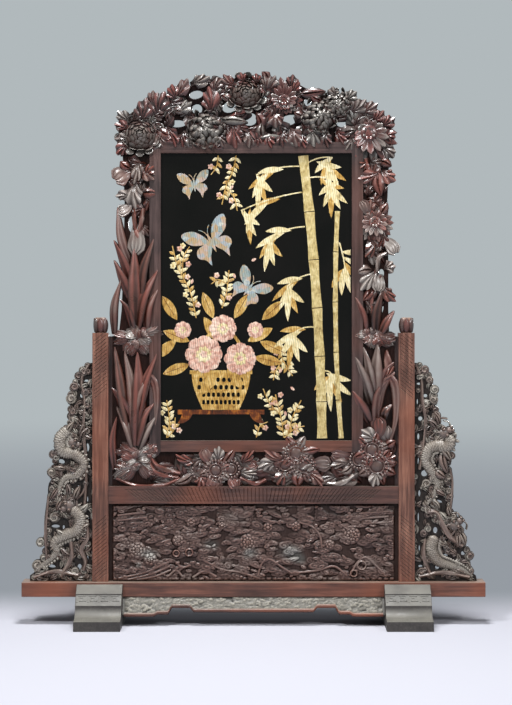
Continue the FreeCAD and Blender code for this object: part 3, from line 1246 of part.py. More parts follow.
def make_bamboo():
    """Two bamboo culms in bone, each in lengths that flare at the joints."""
    faces = []
    names = ("culm_width", "cane_width")
    for path, joints, name in zip(CULM_PATHS_SHARES, CULM_JOINTS_SHARES, names):
        line = Part.BSplineCurve()
        line.interpolate([opening_point(*place) for place in path])
        reach = line.LastParameter - line.FirstParameter
        half, gap = mm(name) / 2, mm("culm_gap") / 2
        slim = half * CULM_WAIST_SHARE
        ends = [line.value(line.FirstParameter + joint * reach) for joint in joints]
        for below, above in zip(ends, ends[1:]):
            ahead = (above - below).normalize()
            across = Vector(ahead.z, 0, -ahead.x)
            low, high, waist = below + ahead * gap, above - ahead * gap, (below + above) * 0.5
            corners = [low + across * half, high + across * half, high - across * half, low - across * half]
            edges = [
                Part.Arc(corners[0], waist + across * slim, corners[1]).toShape(),
                Part.makeLine(corners[1], corners[2]),
                Part.Arc(corners[2], waist - across * slim, corners[3]).toShape(),
                Part.makeLine(corners[3], corners[0]),
            ]
            faces.append(Part.Face(Part.Wire(edges)))
    return [proud(face) for face in faces]


# Leaf sprays: where a twig leaves its culm and where it ends
SPRAY_SHARES = (
    ((0.725, 0.955), (0.50, 0.925)), ((0.740, 0.865), (0.42, 0.800)), ((0.755, 0.745), (0.56, 0.705)),
    ((0.790, 0.580), (0.66, 0.535)), ((0.775, 0.915), (0.93, 0.900)), ((0.935, 0.690), (0.965, 0.600)),
    ((0.765, 0.965), (0.90, 0.985)), ((0.800, 0.395), (0.69, 0.370)), ((0.845, 0.240), (0.90, 0.225)),
)
LEAF_ANGLES = (-172, -146, -122, -98, -74, -46)
LEAF_SWING_ANGLES = (0, 9, -6, 4, 12, -10, 5, -4, 8)
LEAF_SCALES_SHARES = (0.80, 1.0, 0.92, 1.12, 0.88, 0.72)
LEAF_STEPS_SHARES = (0.36, 0.55, 0.72, 0.85, 0.95, 1.0)
LEAF_BOW_SHARE = 0.2
SHELL_TURN = 3


def make_leaf_sprays():
    """Twigs and leaf sprays of the bamboo: bone twigs, and leaves in bone and in amber shell."""
    twigs, bone, shell = [], [], []
    for number, (start, end) in enumerate(SPRAY_SHARES):
        root, tip = opening_point(*start), opening_point(*end)
        middle = (root + tip) * 0.5 + Vector(0, 0, mm("twig_width") * 2)
        twigs.append(ribbon([root, middle, tip], mm("twig_width")))
        swing = LEAF_SWING_ANGLES[number]
        leaves = zip(LEAF_ANGLES, LEAF_SCALES_SHARES, LEAF_STEPS_SHARES)
        for count, (angle, scale, step) in enumerate(leaves):
            stalk = root + (tip - root) * step
            turn = angle + swing if tip.x < root.x else -180 - angle - swing
            leaf = lens(stalk, stalk + away(turn, mm("leaf_length") * scale), mm("leaf_width"),
                        mm("leaf_width") * LEAF_BOW_SHARE)
            (shell if (count + number) % SHELL_TURN == 1 else bone).append(leaf)
    return merged(twigs + bone), merged(shell)


BASKET_PLACE_SHARES = (0.315, 0.060)
BASKET_FOOT_SHARE = 0.62
BASKET_STEPS = 4
WEAVE_ROWS = 4
WEAVE_COLUMNS = 9
WEAVE_EYE_SHARE = 0.62
HANDLE_BAND_SHARE = 0.8
HANDLE_SHARES = ((-0.86, 0.05), (-0.66, 0.62), (0.0, 1.0), (0.66, 0.62), (0.86, 0.05))


def make_basket():
    """A bone flower basket: a flared woven body under a rim band, with an arched handle."""
    foot = opening_point(*BASKET_PLACE_SHARES) + Vector(0, 0, mm("stand_height"))
    half, tall, band = mm("basket_width") / 2, mm("basket_height"), mm("basket_band")
    narrow, layer = half * BASKET_FOOT_SHARE, mm("inlay_depth")

    def half_width(rise):
        """Half-width of the basket at a share of its height, bellied towards the rim."""
        return narrow + (half - narrow) * math.sin(math.pi / 2 * rise)

    rises = [step / BASKET_STEPS for step in range(BASKET_STEPS + 1)]
    right = [foot + Vector(half_width(rise), 0, tall * rise) for rise in rises]
    left = [foot + Vector(-half_width(rise), 0, tall * rise) for rise in rises]
    edges = []
    for points in (right, left[::-1]):
        curve = Part.BSplineCurve()
        curve.interpolate(points)
        edges.append(curve.toShape())
    edges += [Part.makeLine(right[-1], left[-1]), Part.makeLine(left[0], right[0])]
    body = proud(Part.Face(Part.Wire(Part.__sortEdges__(edges))))
    eyes = []
    room = tall - 2 * band
    for line in range(WEAVE_ROWS):
        rise = band + room * (line + 0.5) / WEAVE_ROWS
        wide = 2 * half_width(rise / tall) / (WEAVE_COLUMNS + 1)
        columns = WEAVE_COLUMNS - line % 2
        for column in range(columns):
            centre = foot + Vector((column - (columns - 1) / 2) * wide, 0, rise)
            reach = Vector(wide * WEAVE_EYE_SHARE / 2, 0, 0)
            eye = lens(centre - reach, centre + reach, room / WEAVE_ROWS * WEAVE_EYE_SHARE)
            eyes.append(eye.extrude(Vector(0, -2 * layer, 0)))
    body = body.cut(Part.makeCompound(eyes))
    rim = Part.makeBox(2 * half + band, layer, band, foot + Vector(-half - band / 2, -layer, tall - band / 2))
    arch = [foot + Vector(x * half, 0, tall + z * mm("handle_rise")) for x, z in HANDLE_SHARES]
    handle = proud(ribbon(arch, band * HANDLE_BAND_SHARE))
    return body.multiFuse([rim, handle]).removeSplitter()


STAND_HALF_SHARE = 0.74
SLAB_SHARE = 0.34
LEG_SHARES = {"inner": 0.66, "knee": 0.72, "hip": 0.90, "shin": 0.94, "toe": 1.0}


def make_stand_inlay():
    """A low stand of tortoiseshell under the basket: a slab on two scrolled legs."""
    foot = opening_point(*BASKET_PLACE_SHARES)
    half, tall = mm("basket_width") * STAND_HALF_SHARE, mm("stand_height")
    under = tall * (1 - SLAB_SHARE)
    corners = [foot + Vector(x, 0, z)
               for x, z in ((-half, tall), (half, tall), (half, under), (-half, under))]
    faces = [Part.Face(Part.makePolygon(corners + corners[:1]))]
    for sign in SIDES.values():
        leg = {name: sign * half * share for name, share in LEG_SHARES.items()}
        hip, toe = foot + Vector(leg["hip"], 0, under), foot + Vector(leg["toe"], 0, 0)
        heel, groin = foot + Vector(leg["hip"], 0, 0), foot + Vector(leg["inner"], 0, under)
        shin = Part.Arc(hip, foot + Vector(leg["shin"], 0, under / 2), toe)
        calf = Part.Arc(heel, foot + Vector(leg["knee"], 0, under / 2), groin)
        edges = [shin.toShape(), Part.makeLine(toe, heel), calf.toShape(), Part.makeLine(groin, hip)]
        faces.append(Part.Face(Part.Wire(edges)))
    return merged(faces)


# Peonies: place in the opening, then size as a share of the full flower
PEONY_SHARES = ((0.225, 0.300, 1.0), (0.415, 0.285, 0.86), (0.325, 0.390, 0.74), (0.495, 0.385, 0.44),
                (0.115, 0.385, 0.46))
# Rings of a peony, outside in: petals, seat of each petal and its size as shares of the radius
PEONY_RINGS_SHARES = ((8, 0.64, 0.36), (6, 0.36, 0.27), (1, 0.0, 0.17))
# Leaves about the peonies: root in the opening, then angle
PEONY_LEAF_SHARES = (
    (0.150, 0.265, 200), (0.300, 0.345, 120), (0.490, 0.290, -12), (0.350, 0.265, -60), (0.455, 0.345, 28),
    (0.150, 0.345, 158), (0.275, 0.425, 112), (0.385, 0.425, 60), (0.290, 0.245, -120), (0.085, 0.420, 122),
    (0.530, 0.420, 42), (0.520, 0.345, -25), (0.080, 0.350, -140),
)
PEONY_LEAF_REACH_SHARE = 0.86
PEONY_LEAF_WIDTH_SHARE = 1.7


def make_peonies():
    """Peony heads, each as three rings of petals: the outer, the inner and the heart."""
    heads = []
    for across, up, scale in PEONY_SHARES:
        middle = opening_point(across, up)
        radius = mm("peony_radius") * scale
        rings = []
        for petals, seat_share, petal_share in PEONY_RINGS_SHARES:
            seats = [middle + away(360 * step / petals, radius * seat_share) for step in range(petals)]
            faces = [disc(seat, radius * petal_share) for seat in seats]
            rings.append(merged(faces + [disc(middle, radius * max(seat_share, petal_share))]))
        heads.append(rings)
    return heads


# Butterflies: place in the opening, size as a share of the largest, and tilt in degrees
BUTTERFLY_SHARES = ((0.265, 0.690, 1.0, 28), (0.460, 0.528, 0.80, -38), (0.175, 0.890, 0.66, 8))
FORE_WING_SHARES = ((0.030, 0.03), (0.13, 0.25), (0.33, 0.41), (0.48, 0.40), (0.46, 0.24), (0.24, 0.05))
HIND_WING_SHARES = ((0.030, 0.0), (0.20, 0.02), (0.36, -0.05), (0.37, -0.19), (0.27, -0.27), (0.21, -0.42),
                    (0.15, -0.27), (0.06, -0.14))
FEELER_SHARES = ((0.012, 0.16), (0.05, 0.27), (0.12, 0.34))
TORSO_SHARES = {"tail": -0.22, "head": 0.20, "width": 0.075}


def make_butterflies():
    """Butterflies in mother-of-pearl: two pairs of wings, a slim body and feelers."""
    flights = []
    for across, up, scale, tilt in BUTTERFLY_SHARES:
        middle = opening_point(across, up)
        span = mm("butterfly_span") * scale
        right, ahead = away(tilt, span), away(tilt + 90, span)
        faces = []
        for sign in SIDES.values():
            for outline in (FORE_WING_SHARES, HIND_WING_SHARES):
                faces.append(rounded([middle + right * (sign * x) + ahead * y for x, y in outline]))
            feeler = [middle + right * (sign * x) + ahead * y for x, y in FEELER_SHARES]
            faces.append(ribbon(feeler, mm("feeler_width")))
        faces.append(lens(middle + ahead * TORSO_SHARES["tail"], middle + ahead * TORSO_SHARES["head"],
                          span * TORSO_SHARES["width"]))
        flights.append(merged(faces))
    return flights


# Fallen petals: place in the opening and angle
PETAL_SHARES = ((0.475, 0.625, 30), (0.39, 0.565, 110), (0.62, 0.235, 60), (0.70, 0.175, 140),
                (0.565, 0.125, 20), (0.16, 0.545, 75), (0.655, 0.085, 100), (0.36, 0.875, 45))


def make_inlay():
    """Every inlay layer, each trimmed clear of the one that lies over it."""
    bamboo = make_bamboo()
    bone_leaves, shell_leaves = make_leaf_sprays()
    basket, stand, flights, heads = make_basket(), make_stand_inlay(), make_butterflies(), make_peonies()
    outer, inner, hearts = [], [], []
    covered = []
    for whole, middle, heart in heads:
        above = group(covered) if covered else None
        rings = [whole.cut(middle), middle.cut(heart), heart]
        if above:
            rings = [ring.cut(above) for ring in rings]
        for kept, ring in zip((outer, inner, hearts), rings):
            kept.append(ring)
        covered.append(whole)
    flowers = group(covered)
    leaves = []
    for across, up, angle in PEONY_LEAF_SHARES:
        root = opening_point(across, up)
        tip = root + away(angle, mm("leaf_length") * PEONY_LEAF_REACH_SHARE)
        leaves.append(lens(root, tip, mm("leaf_width") * PEONY_LEAF_WIDTH_SHARE))
    basket = basket.cut(flowers)
    foliage = merged(leaves).cut(flowers).cut(basket)
    fallen = []
    for across, up, angle in PETAL_SHARES:
        root = opening_point(across, up)
        fallen.append(proud(lens(root, root + away(angle, mm("petal_length")), mm("petal_length") / 2)))
    bone_leaves = bone_leaves.cut(group(bamboo + flights))
    shell_leaves = shell_leaves.cut(group(bamboo + flights + [bone_leaves]))
    foliage = foliage.cut(group(flights + [bone_leaves, shell_leaves]))
    layers = {
        "inlay_bamboo": bamboo, "inlay_bone_leaves": [bone_leaves], "inlay_shell_leaves": [shell_leaves],
        "inlay_stand": [stand.cut(basket)], "inlay_basket": [basket], "inlay_peonies": outer,
        "inlay_peony_hearts": inner, "inlay_hearts_and_petals": hearts + fallen,
        "inlay_peony_leaves": [foliage], "inlay_butterflies": flights,
    }
    corner = opening_point(0, 0) + Vector(mm("inlay_margin"), -mm("inlay_depth"), mm("inlay_margin"))
    sight = Part.makeBox(mm("opening_width - 2 * inlay_margin"), mm("inlay_depth"),
                         mm("opening_height - 2 * inlay_margin"), corner)
    for label, shapes in layers.items():
        piece(label, feature(group([shape.common(sight) for shape in shapes]), label))


def check_and_write():
    """Stops on any failed object or shape, then writes each sub-part to its own file."""
    doc.recompute()
    failed = [thing.Name for thing in doc.Objects if {"Invalid", "Error"} & set(thing.State)]
    if failed:
        raise RuntimeError(f"objects that failed: {failed}")
    for thing in pieces:
        if thing.Shape.isNull() or not thing.Shape.isValid() or not thing.Shape.Solids:
            raise RuntimeError(f"{thing.Label} has no valid solid")
    os.makedirs("parts", exist_ok=True)
    for thing in pieces:
        thing.Shape.exportStep(f"parts/{thing.Label}.step")
        print(f"{thing.Label}: {len(thing.Shape.Solids)} solid(s), {len(thing.Shape.Faces)} faces")


def main():
    """Builds the stand, then the frame and its panel, and writes the parts."""
    for side in SIDES:
        make_foot(side)
        make_post(side)
        make_finial(side)
        make_wing(side)
        make_stile(side)
        make_runner(side)
    make_base_rail()
    make_mid_rail()
    make_lower_panel()
    for face in FACES:
        make_apron(face)
    for end in ("top", "bottom"):
        make_frame_rail(end)
    make_carved_frame()
    make_lacquer_panel()
    make_beads()
    make_screws()
    make_inlay()
    check_and_write()


main()
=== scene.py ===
"""The inlaid lacquer screen dressed for viewing: carving, finishes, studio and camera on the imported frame."""

import logging
import math
from dataclasses import dataclass, field, replace
from enum import Enum
from itertools import cycle, product
from typing import Callable, Sequence

import bpy
import numpy as np
from bpy.types import Material, Mesh, NodeSocket, NodeTree, Object
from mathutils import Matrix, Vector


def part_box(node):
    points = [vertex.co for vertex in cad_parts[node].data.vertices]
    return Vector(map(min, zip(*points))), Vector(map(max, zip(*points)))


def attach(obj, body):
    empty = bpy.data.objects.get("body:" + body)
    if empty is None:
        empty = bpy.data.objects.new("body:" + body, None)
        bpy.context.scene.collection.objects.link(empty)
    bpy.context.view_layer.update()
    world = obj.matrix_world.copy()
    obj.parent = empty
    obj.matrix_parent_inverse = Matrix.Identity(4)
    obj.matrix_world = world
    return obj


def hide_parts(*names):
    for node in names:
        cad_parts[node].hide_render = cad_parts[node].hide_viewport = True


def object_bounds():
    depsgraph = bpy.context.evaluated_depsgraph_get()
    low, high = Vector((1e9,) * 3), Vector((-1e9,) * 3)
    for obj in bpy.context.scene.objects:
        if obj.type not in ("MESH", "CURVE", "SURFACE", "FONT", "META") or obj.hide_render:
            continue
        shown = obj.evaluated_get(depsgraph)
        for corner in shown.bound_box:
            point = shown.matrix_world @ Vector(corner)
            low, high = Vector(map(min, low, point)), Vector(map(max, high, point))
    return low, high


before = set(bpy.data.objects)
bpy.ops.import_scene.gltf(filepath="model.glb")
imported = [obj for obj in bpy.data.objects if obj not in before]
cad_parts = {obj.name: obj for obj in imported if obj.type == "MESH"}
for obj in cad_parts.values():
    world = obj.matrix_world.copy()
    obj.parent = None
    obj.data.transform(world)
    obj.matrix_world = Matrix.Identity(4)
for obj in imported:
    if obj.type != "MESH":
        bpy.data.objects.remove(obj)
CAD_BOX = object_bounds()
LOG = logging.getLogger("screen")

# One pixel of the photograph in the carving's plane, in metres, and where the eye level and the middle fall
PIXEL = 0.0034
MIDDLE_PIXEL = 253.5
EYE_PIXEL = 300.6
EYE_HEIGHT = 1.100
IMAGE = (512, 705)

Array = np.ndarray
Pixel = tuple[float, float]


def place(x: float, y: float) -> tuple[float, float]:
    """The frame's X and Z in the carving's plane, in metres, of a pixel of the photograph."""
    return (x - MIDDLE_PIXEL) * PIXEL, EYE_HEIGHT - (y - EYE_PIXEL) * PIXEL


def linear(code: str) -> tuple[float, float, float, float]:
    """An sRGB hex colour as linear RGBA.

    Args:
        code: colour such as "#5b4643".

    Returns:
        Red, green, blue and alpha.
    """
    shares = [int(code[i:i + 2], 16) / 255 for i in (1, 3, 5)]
    lit = [s / 12.92 if s <= 0.04045 else ((s + 0.055) / 1.055) ** 2.4 for s in shares]
    return lit[0], lit[1], lit[2], 1.0


def deselect() -> None:
    """Leaves edit mode and deselects every object."""
    if bpy.context.object and bpy.context.object.mode != "OBJECT":
        bpy.ops.object.mode_set(mode="OBJECT")
    bpy.ops.object.select_all(action="DESELECT")


def spun(x: Array | float, y: Array | float, angle: float) -> tuple:
    """A place, or places, turned about the origin by an angle in radians."""
    return x * math.cos(angle) - y * math.sin(angle), x * math.sin(angle) + y * math.cos(angle)


def polar(centre: Pixel, reach: float, angle: float) -> Pixel:
    """The pixel at a distance and an angle from another."""
    return centre[0] + reach * math.cos(angle), centre[1] + reach * math.sin(angle)


# Meshes

@dataclass
class Shape:
    """A bare mesh before it is placed: points, faces grouped by their corners, and each point's wear and
    painted shading.
    """

    points: Array
    faces: list[Array]
    wear_and_painted_shading: Array | None = None

    def moved(self, points: Array, flip: bool = False) -> "Shape":
        """The same faces on other points, turned inside out where flip is true."""
        return Shape(points, [f[:, ::-1] for f in self.faces] if flip else self.faces, self.wear_and_painted_shading)

    def behind(self) -> "Shape":
        """The shape's twin on the back of its board."""
        return self.moved(self.points * (1, -1, 1), flip=True)


def proud(heights: Array) -> Array:
    """How far each point of a grid stands over its neighbours, 0 in a groove to 1 on a ridge.

    Args:
        heights: heights on a grid.

    Returns:
        The share for each point.
    """
    padded = np.pad(heights, 2, mode="edge")
    rows, columns = heights.shape
    around = sum(padded[i:i + rows, j:j + columns] for i in range(5) for j in range(5)) / 25
    local = heights - around
    return np.clip(0.5 + 0.3 * local / (local.std() + 1e-9), 0, 1)


def read_shape(mesh: Mesh) -> Shape:
    """A Blender mesh as a Shape.

    Args:
        mesh: the mesh to read.

    Returns:
        Its points and its faces.
    """
    points = np.empty(len(mesh.vertices) * 3, np.float32)
    mesh.vertices.foreach_get("co", points)
    totals = np.empty(len(mesh.polygons), np.int32)
    starts = np.empty(len(mesh.polygons), np.int32)
    mesh.polygons.foreach_get("loop_total", totals)
    mesh.polygons.foreach_get("loop_start", starts)
    corners = np.empty(len(mesh.loops), np.int32)
    mesh.loops.foreach_get("vertex_index", corners)
    groups = [corners[starts[totals == n][:, None] + np.arange(n)] for n in np.unique(totals)]
    return Shape(points.reshape(-1, 3).astype(float), groups)


def taken(thing: Object) -> Shape:
    """An object's mesh as a Shape; the object itself is removed.

    Args:
        thing: the object to take apart.

    Returns:
        Its shape.
    """
    mesh = thing.data
    shape = read_shape(mesh)
    bpy.data.objects.remove(thing)
    bpy.data.meshes.remove(mesh)
    return shape


def sheet(along: int, across: int, surface: Callable[[Array, Array], tuple], wall: float,
          tip: float = 0.25, rubbed: float = 0.0) -> Shape:
    """A carved leaf or petal: a grid primitive laid on a surface and given a wall.

    Args:
        along: cells from foot to tip.
        across: cells from side to side.
        surface: gives x, y and z for u (0 foot to 1 tip) and v (-1 to 1 across).
        wall: thickness of the wall, as a share of the length.
        tip: share of the wear and painted highlight that grows towards the tip; the foot keeps painted shade.
        rubbed: wear and painted light that the whole face has besides.

    Returns:
        A closed shape one unit long, lying along +X with its face to +Z.
    """
    deselect()
    bpy.ops.mesh.primitive_grid_add(x_subdivisions=along, y_subdivisions=across, size=2)
    thing = bpy.context.object
    points = read_shape(thing.data).points
    u = (points[:, 0] + 1) / 2
    x, y, z = surface(u, points[:, 1])
    thing.data.vertices.foreach_set("co", np.stack([x, y, z], 1).astype(np.float32).ravel())
    thing.data.update()
    solid = thing.modifiers.new("wall", "SOLIDIFY")
    solid.thickness = wall
    solid.offset = -1
    bpy.ops.object.modifier_apply(modifier=solid.name)
    shape = taken(thing)
    # Painted shading: ridges and raised parts get a painted highlight and the tip painted light with wear,
    # while the foot, grooves, back and walls get painted shade
    ridge = proud(z.reshape(across + 1, along + 1)).ravel()
    rise = (z - z.min()) / (np.ptp(z) + 1e-9)
    shape.wear_and_painted_shading = np.full(len(shape.points), 0.32 + 0.5 * rubbed)
    shape.wear_and_painted_shading[:len(u)] = rubbed + (0.80 - rubbed - tip) * ridge + 0.20 * rise + tip * u ** 2
    return shape


def tube(along: int, around: int, radius: Callable[[Array, Array], Array]) -> Shape:
    """A carved stalk: a closed tube one unit long on +X.

    Args:
        along: cells from foot to tip.
        around: cells round it.
        radius: gives the radius for u (0 to 1 along) and the angle, which is a quarter turn at the front.

    Returns:
        The closed shape.
    """
    ring = np.arange(around)
    u, turn = np.meshgrid(np.linspace(0, 1, along + 1), ring * 2 * np.pi / around, indexing="ij")
    r = radius(u, turn)
    points = np.stack([u, r * np.cos(turn), r * np.sin(turn)], 2).reshape(-1, 3)
    first = (np.arange(along)[:, None] * around + ring).ravel()
    second = (np.arange(along)[:, None] * around + (ring + 1) % around).ravel()
    sides = np.stack([first + around, second + around, second, first], 1)
    caps = np.stack([ring, ring[::-1] + along * around])
    # Painted shading: lighter on the front and darker behind as light falls, with a painted highlight on the
    # ridges
    wear_and_painted_shading = np.clip(0.30 + 0.25 * np.sin(turn) + 0.45 * proud(r), 0, 1).ravel()
    return Shape(points, [sides, caps], wear_and_painted_shading)


def smooth_path(path: Sequence[Pixel], count: int = 48) -> Array:
    """A smooth line through pixels of the photograph, in metres, evenly spaced.

    Args:
        path: two or more pixels.
        count: points on the line.

    Returns:
        X and Z of each point.
    """
    knots = np.array([place(*p) for p in path])
    if len(knots) == 2:
        knots = np.array([knots[0], knots.mean(0), knots[1]])
    ghost = np.concatenate([[2 * knots[0] - knots[1]], knots, [2 * knots[-1] - knots[-2]]])
    t = np.linspace(0, 1, 16, endpoint=False)[:, None]
    runs = []
    for a, b, c, d in zip(ghost, ghost[1:], ghost[2:], ghost[3:]):
        runs.append(0.5 * (2 * b + (c - a) * t + (2 * a - 5 * b + 4 * c - d) * t ** 2
                           + (3 * b - a - 3 * c + d) * t ** 3))
    dense = np.concatenate(runs + [knots[-1:]])
    steps = np.concatenate([[0], np.cumsum(np.linalg.norm(np.diff(dense, axis=0), axis=1))])
    even = np.linspace(0, steps[-1], count)
    return np.stack([np.interp(even, steps, dense[:, i]) for i in (0, 1)], 1)


@dataclass(frozen=True)
class Lay:
    """How a stock shape lies on its board, in metres; heights are from the board's middle.

    Relief is the metres to a unit of the shape's own relief. Belly is the extra height at its middle, and
    ripple that of its waves. Twist is its tilt about its line, in radians.
    """

    relief: float
    foot: float
    tip: float
    belly: float = 0.0
    twist: float = 0.0
    ripple: float = 0.0

    def height(self, u: Array) -> Array:
        """Height of the shape's line at shares of its length."""
        straight = self.foot + (self.tip - self.foot) * u
        return straight + self.belly * np.sin(np.pi * u) + self.ripple * np.sin(7 * u)


def along_path(shape: Shape, path: Array, width: float, lay: Lay) -> Shape:
    """A unit shape bent along a line on the front of a board.

    Args:
        shape: unit shape along +X with its face to +Z.
        path: X and Z of points along the line, in metres.
        width: metres to a unit across.
        lay: how it lies on the board.

    Returns:
        The placed shape.
    """
    u = np.clip(shape.points[:, 0], 0, 1)
    stations = np.linspace(0, 1, len(path))
    tangent = np.gradient(path, axis=0)
    tangent /= np.linalg.norm(tangent, axis=1)[:, None]
    x, z = (np.interp(u, stations, path[:, i]) for i in (0, 1))
    tx, tz = (np.interp(u, stations, tangent[:, i]) for i in (0, 1))
    over = (shape.points[:, 0] - u) * np.linalg.norm(np.diff(path, axis=0), axis=1).sum()
    side, rise = spun(shape.points[:, 1] * width, shape.points[:, 2] * lay.relief, lay.twist)
    out = lay.height(u) + rise
    return shape.moved(np.stack([x - tz * side + tx * over, -out, z + tx * side + tz * over], 1))


def turned(points: Array, azimuth: float, tilt: float) -> Array:
    """Points in a flower's own axes after a tilt up from its plane and a turn in it.

    Args:
        points: x along the petal, y across it, z up from its face.
        azimuth: turn in the flower's plane, in radians.
        tilt: rise of the petal from the plane, in radians.

    Returns:
        The turned points.
    """
    x, y, z = points.T
    x, z = spun(x, z, tilt)
    x, y = spun(x, y, azimuth)
    return np.stack([x, y, z], 1)


def smooth_rim(rim: Sequence[Pixel], pitch: float) -> list[Pixel]:
    """Pixels at even spacing along a rim.

    Args:
        rim: pixels along it.
        pitch: spacing in pixels.

    Returns:
        The evenly spaced pixels.
    """
    knots = np.array(rim, float)
    steps = np.concatenate([[0], np.cumsum(np.linalg.norm(np.diff(knots, axis=0), axis=1))])
    even = np.arange(pitch / 2, steps[-1], pitch)
    return [(float(np.interp(t, steps, knots[:, 0])), float(np.interp(t, steps, knots[:, 1]))) for t in even]


@dataclass(frozen=True)
class Web:
    """A pierced board in pixels: its outline and its holes.

    A hole's row holds its centre x and y, half width, half height and turn in degrees.
    """

    outline: tuple[Pixel, ...]
    holes: tuple[tuple, ...] = ()

    def clear(self, x: float, y: float, rim: float) -> bool:
        """Whether a pixel lies on the web, a rim away from its holes.

        Args:
            x: pixel from the left edge.
            y: pixel from the top edge.
            rim: width to keep round each hole.

        Returns:
            True on the web.
        """
        for hole_x, hole_y, wide, tall, turn in self.holes:
            along, up = spun(x - hole_x, y - hole_y, -math.radians(turn))
            if (along / (wide + rim)) ** 2 + (up / (tall + rim)) ** 2 < 1:
                return False
        odd = False
        for (x0, y0), (x1, y1) in zip(self.outline, self.outline[1:] + self.outline[:1]):
            if (y0 > y) != (y1 > y) and x < (x1 - x0) * (y - y0) / (y1 - y0) + x0:
                odd = not odd
        return odd


class Block:
    """A block of wood under the chisel: shapes are added to it, and it ends as one object."""

    def __init__(self, name: str, twins: bool = True) -> None:
        """Starts an empty block.

        Args:
            name: name of its object.
            twins: whether its shapes have twins on the back.
        """
        self.name, self.twins = name, twins
        self.shapes: list[Shape] = []
        self.tones: list[Array] = []

    def add(self, shape: Shape, tone: float | Array = 0.5, both: bool = True) -> None:
        """Adds a shape.

        Args:
            shape: the shape in the frame.
            tone: which of the wood's hues it has, 0 dark to 1 dusty, for the shape or for each point.
            both: whether its twin goes on the back too.
        """
        for s in [shape, shape.behind()] if both and self.twins else [shape]:
            self.shapes.append(s)
            self.tones.append(np.broadcast_to(tone, len(s.points)))

    def finished(self, angle: float = 50.0) -> Object:
        """Joins the shapes into one mesh object.

        Args:
            angle: edges sharper than this stay crisp, in degrees.

        Returns:
            The object, at the origin.
        """
        base, faces = 0, []
        for shape in self.shapes:
            for group in shape.faces:
                faces.extend((group + base).tolist())
            base += len(shape.points)
        mesh = bpy.data.meshes.new(self.name)
        points = np.concatenate([s.points for s in self.shapes])
        mesh.from_pydata(np.clip(points, CAD_BOX[0], CAD_BOX[1]).tolist(), [], faces)
        wear_and_shading_arrays = [np.full(len(s.points), 0.5) if s.wear_and_painted_shading is None else s.wear_and_painted_shading for s in self.shapes]
        # Each point's tone, and its wear with painted highlight and painted shade
        for name, values in (("tone", self.tones), ("wear_and_painted_shading", wear_and_shading_arrays)):
            values = np.concatenate(values).astype(np.float32)
            mesh.attributes.new(name, "FLOAT", "POINT").data.foreach_set("value", values)
        thing = bpy.data.objects.new(self.name, mesh)
        bpy.context.scene.collection.objects.link(thing)
        deselect()
        bpy.context.view_layer.objects.active = thing
        thing.select_set(True)
        bpy.ops.object.shade_smooth_by_angle(angle=math.radians(angle))
        deselect()
        return thing


@dataclass(frozen=True)
class Spot:
    """Where a flower or scroll stands: block, middle pixel, and its base's height from the board's middle."""

    block: Block
    centre: Pixel
    lift: float = 0.010

    def placed(self, points: Array) -> Array:
        """Points in the flower's own axes, right, up and outward, brought to the front of its board."""
        x, z = place(*self.centre)
        return np.stack([points[:, 0] + x, -(points[:, 2] + self.lift), points[:, 1] + z], 1)


def pierced_plate(web: Web, depth: float, bevel: float, face: float, wall: float) -> Shape:
    """The pierced web of a carved board: a flat filled curve with holes, turned upright.

    Args:
        web: its outline and holes.
        depth: its thickness.
        bevel: rounding of its edges.
        face: wear and painted shade of its faces, kept low so the ground looks shaded.
        wall: wear and painted light that its side walls have besides.

    Returns:
        The web's shape.
    """
    curve = bpy.data.curves.new("web", "CURVE")
    curve.dimensions, curve.fill_mode = "2D", "BOTH"
    curve.extrude, curve.bevel_depth, curve.bevel_resolution = depth / 2 - bevel, bevel, 1
    rings = [web.outline]
    t = np.linspace(0, 2 * np.pi, 14, endpoint=False)
    for x, y, wide, tall, turn in web.holes:
        across, down = spun(wide * np.cos(t), tall * np.sin(t), math.radians(turn))
        rings.append(list(zip(x + across, y + down)))
    for ring in rings:
        line = curve.splines.new("POLY")
        line.points.add(len(ring) - 1)
        for point, pixel in zip(line.points, ring):
            point.co = (*place(*pixel), 0, 1)
        line.use_cyclic_u = True
    thing = bpy.data.objects.new("web", curve)
    bpy.context.scene.collection.objects.link(thing)
    deselect()
    thing.select_set(True)
    bpy.context.view_layer.objects.active = thing
    bpy.ops.object.convert(target="MESH")
    flat = taken(bpy.context.object)
    x, z, y = flat.points.T
    # Painted shade on the web's faces; its side walls get painted light besides
    return Shape(np.stack([x, -y, z], 1), flat.faces, face + wall * (np.abs(y) < (depth - bevel) / 2))


def box(low: Sequence[float], high: Sequence[float]) -> Shape:
    """A plain block between two corners.

    Args:
        low: its least x, y and z.
        high: its most.

    Returns:
        The block's shape.
    """
    points = np.array([[(low, high)[i][0], (low, high)[j][1], (low, high)[k][2]]
                       for i in (0, 1) for j in (0, 1) for k in (0, 1)], float)
    faces = [(0, 1, 3, 2), (4, 6, 7, 5), (0, 4, 5, 1), (2, 3, 7, 6), (0, 2, 6, 4), (1, 5, 7, 3)]
    return Shape(points, [np.array(faces)], np.full(len(points), 0.6))


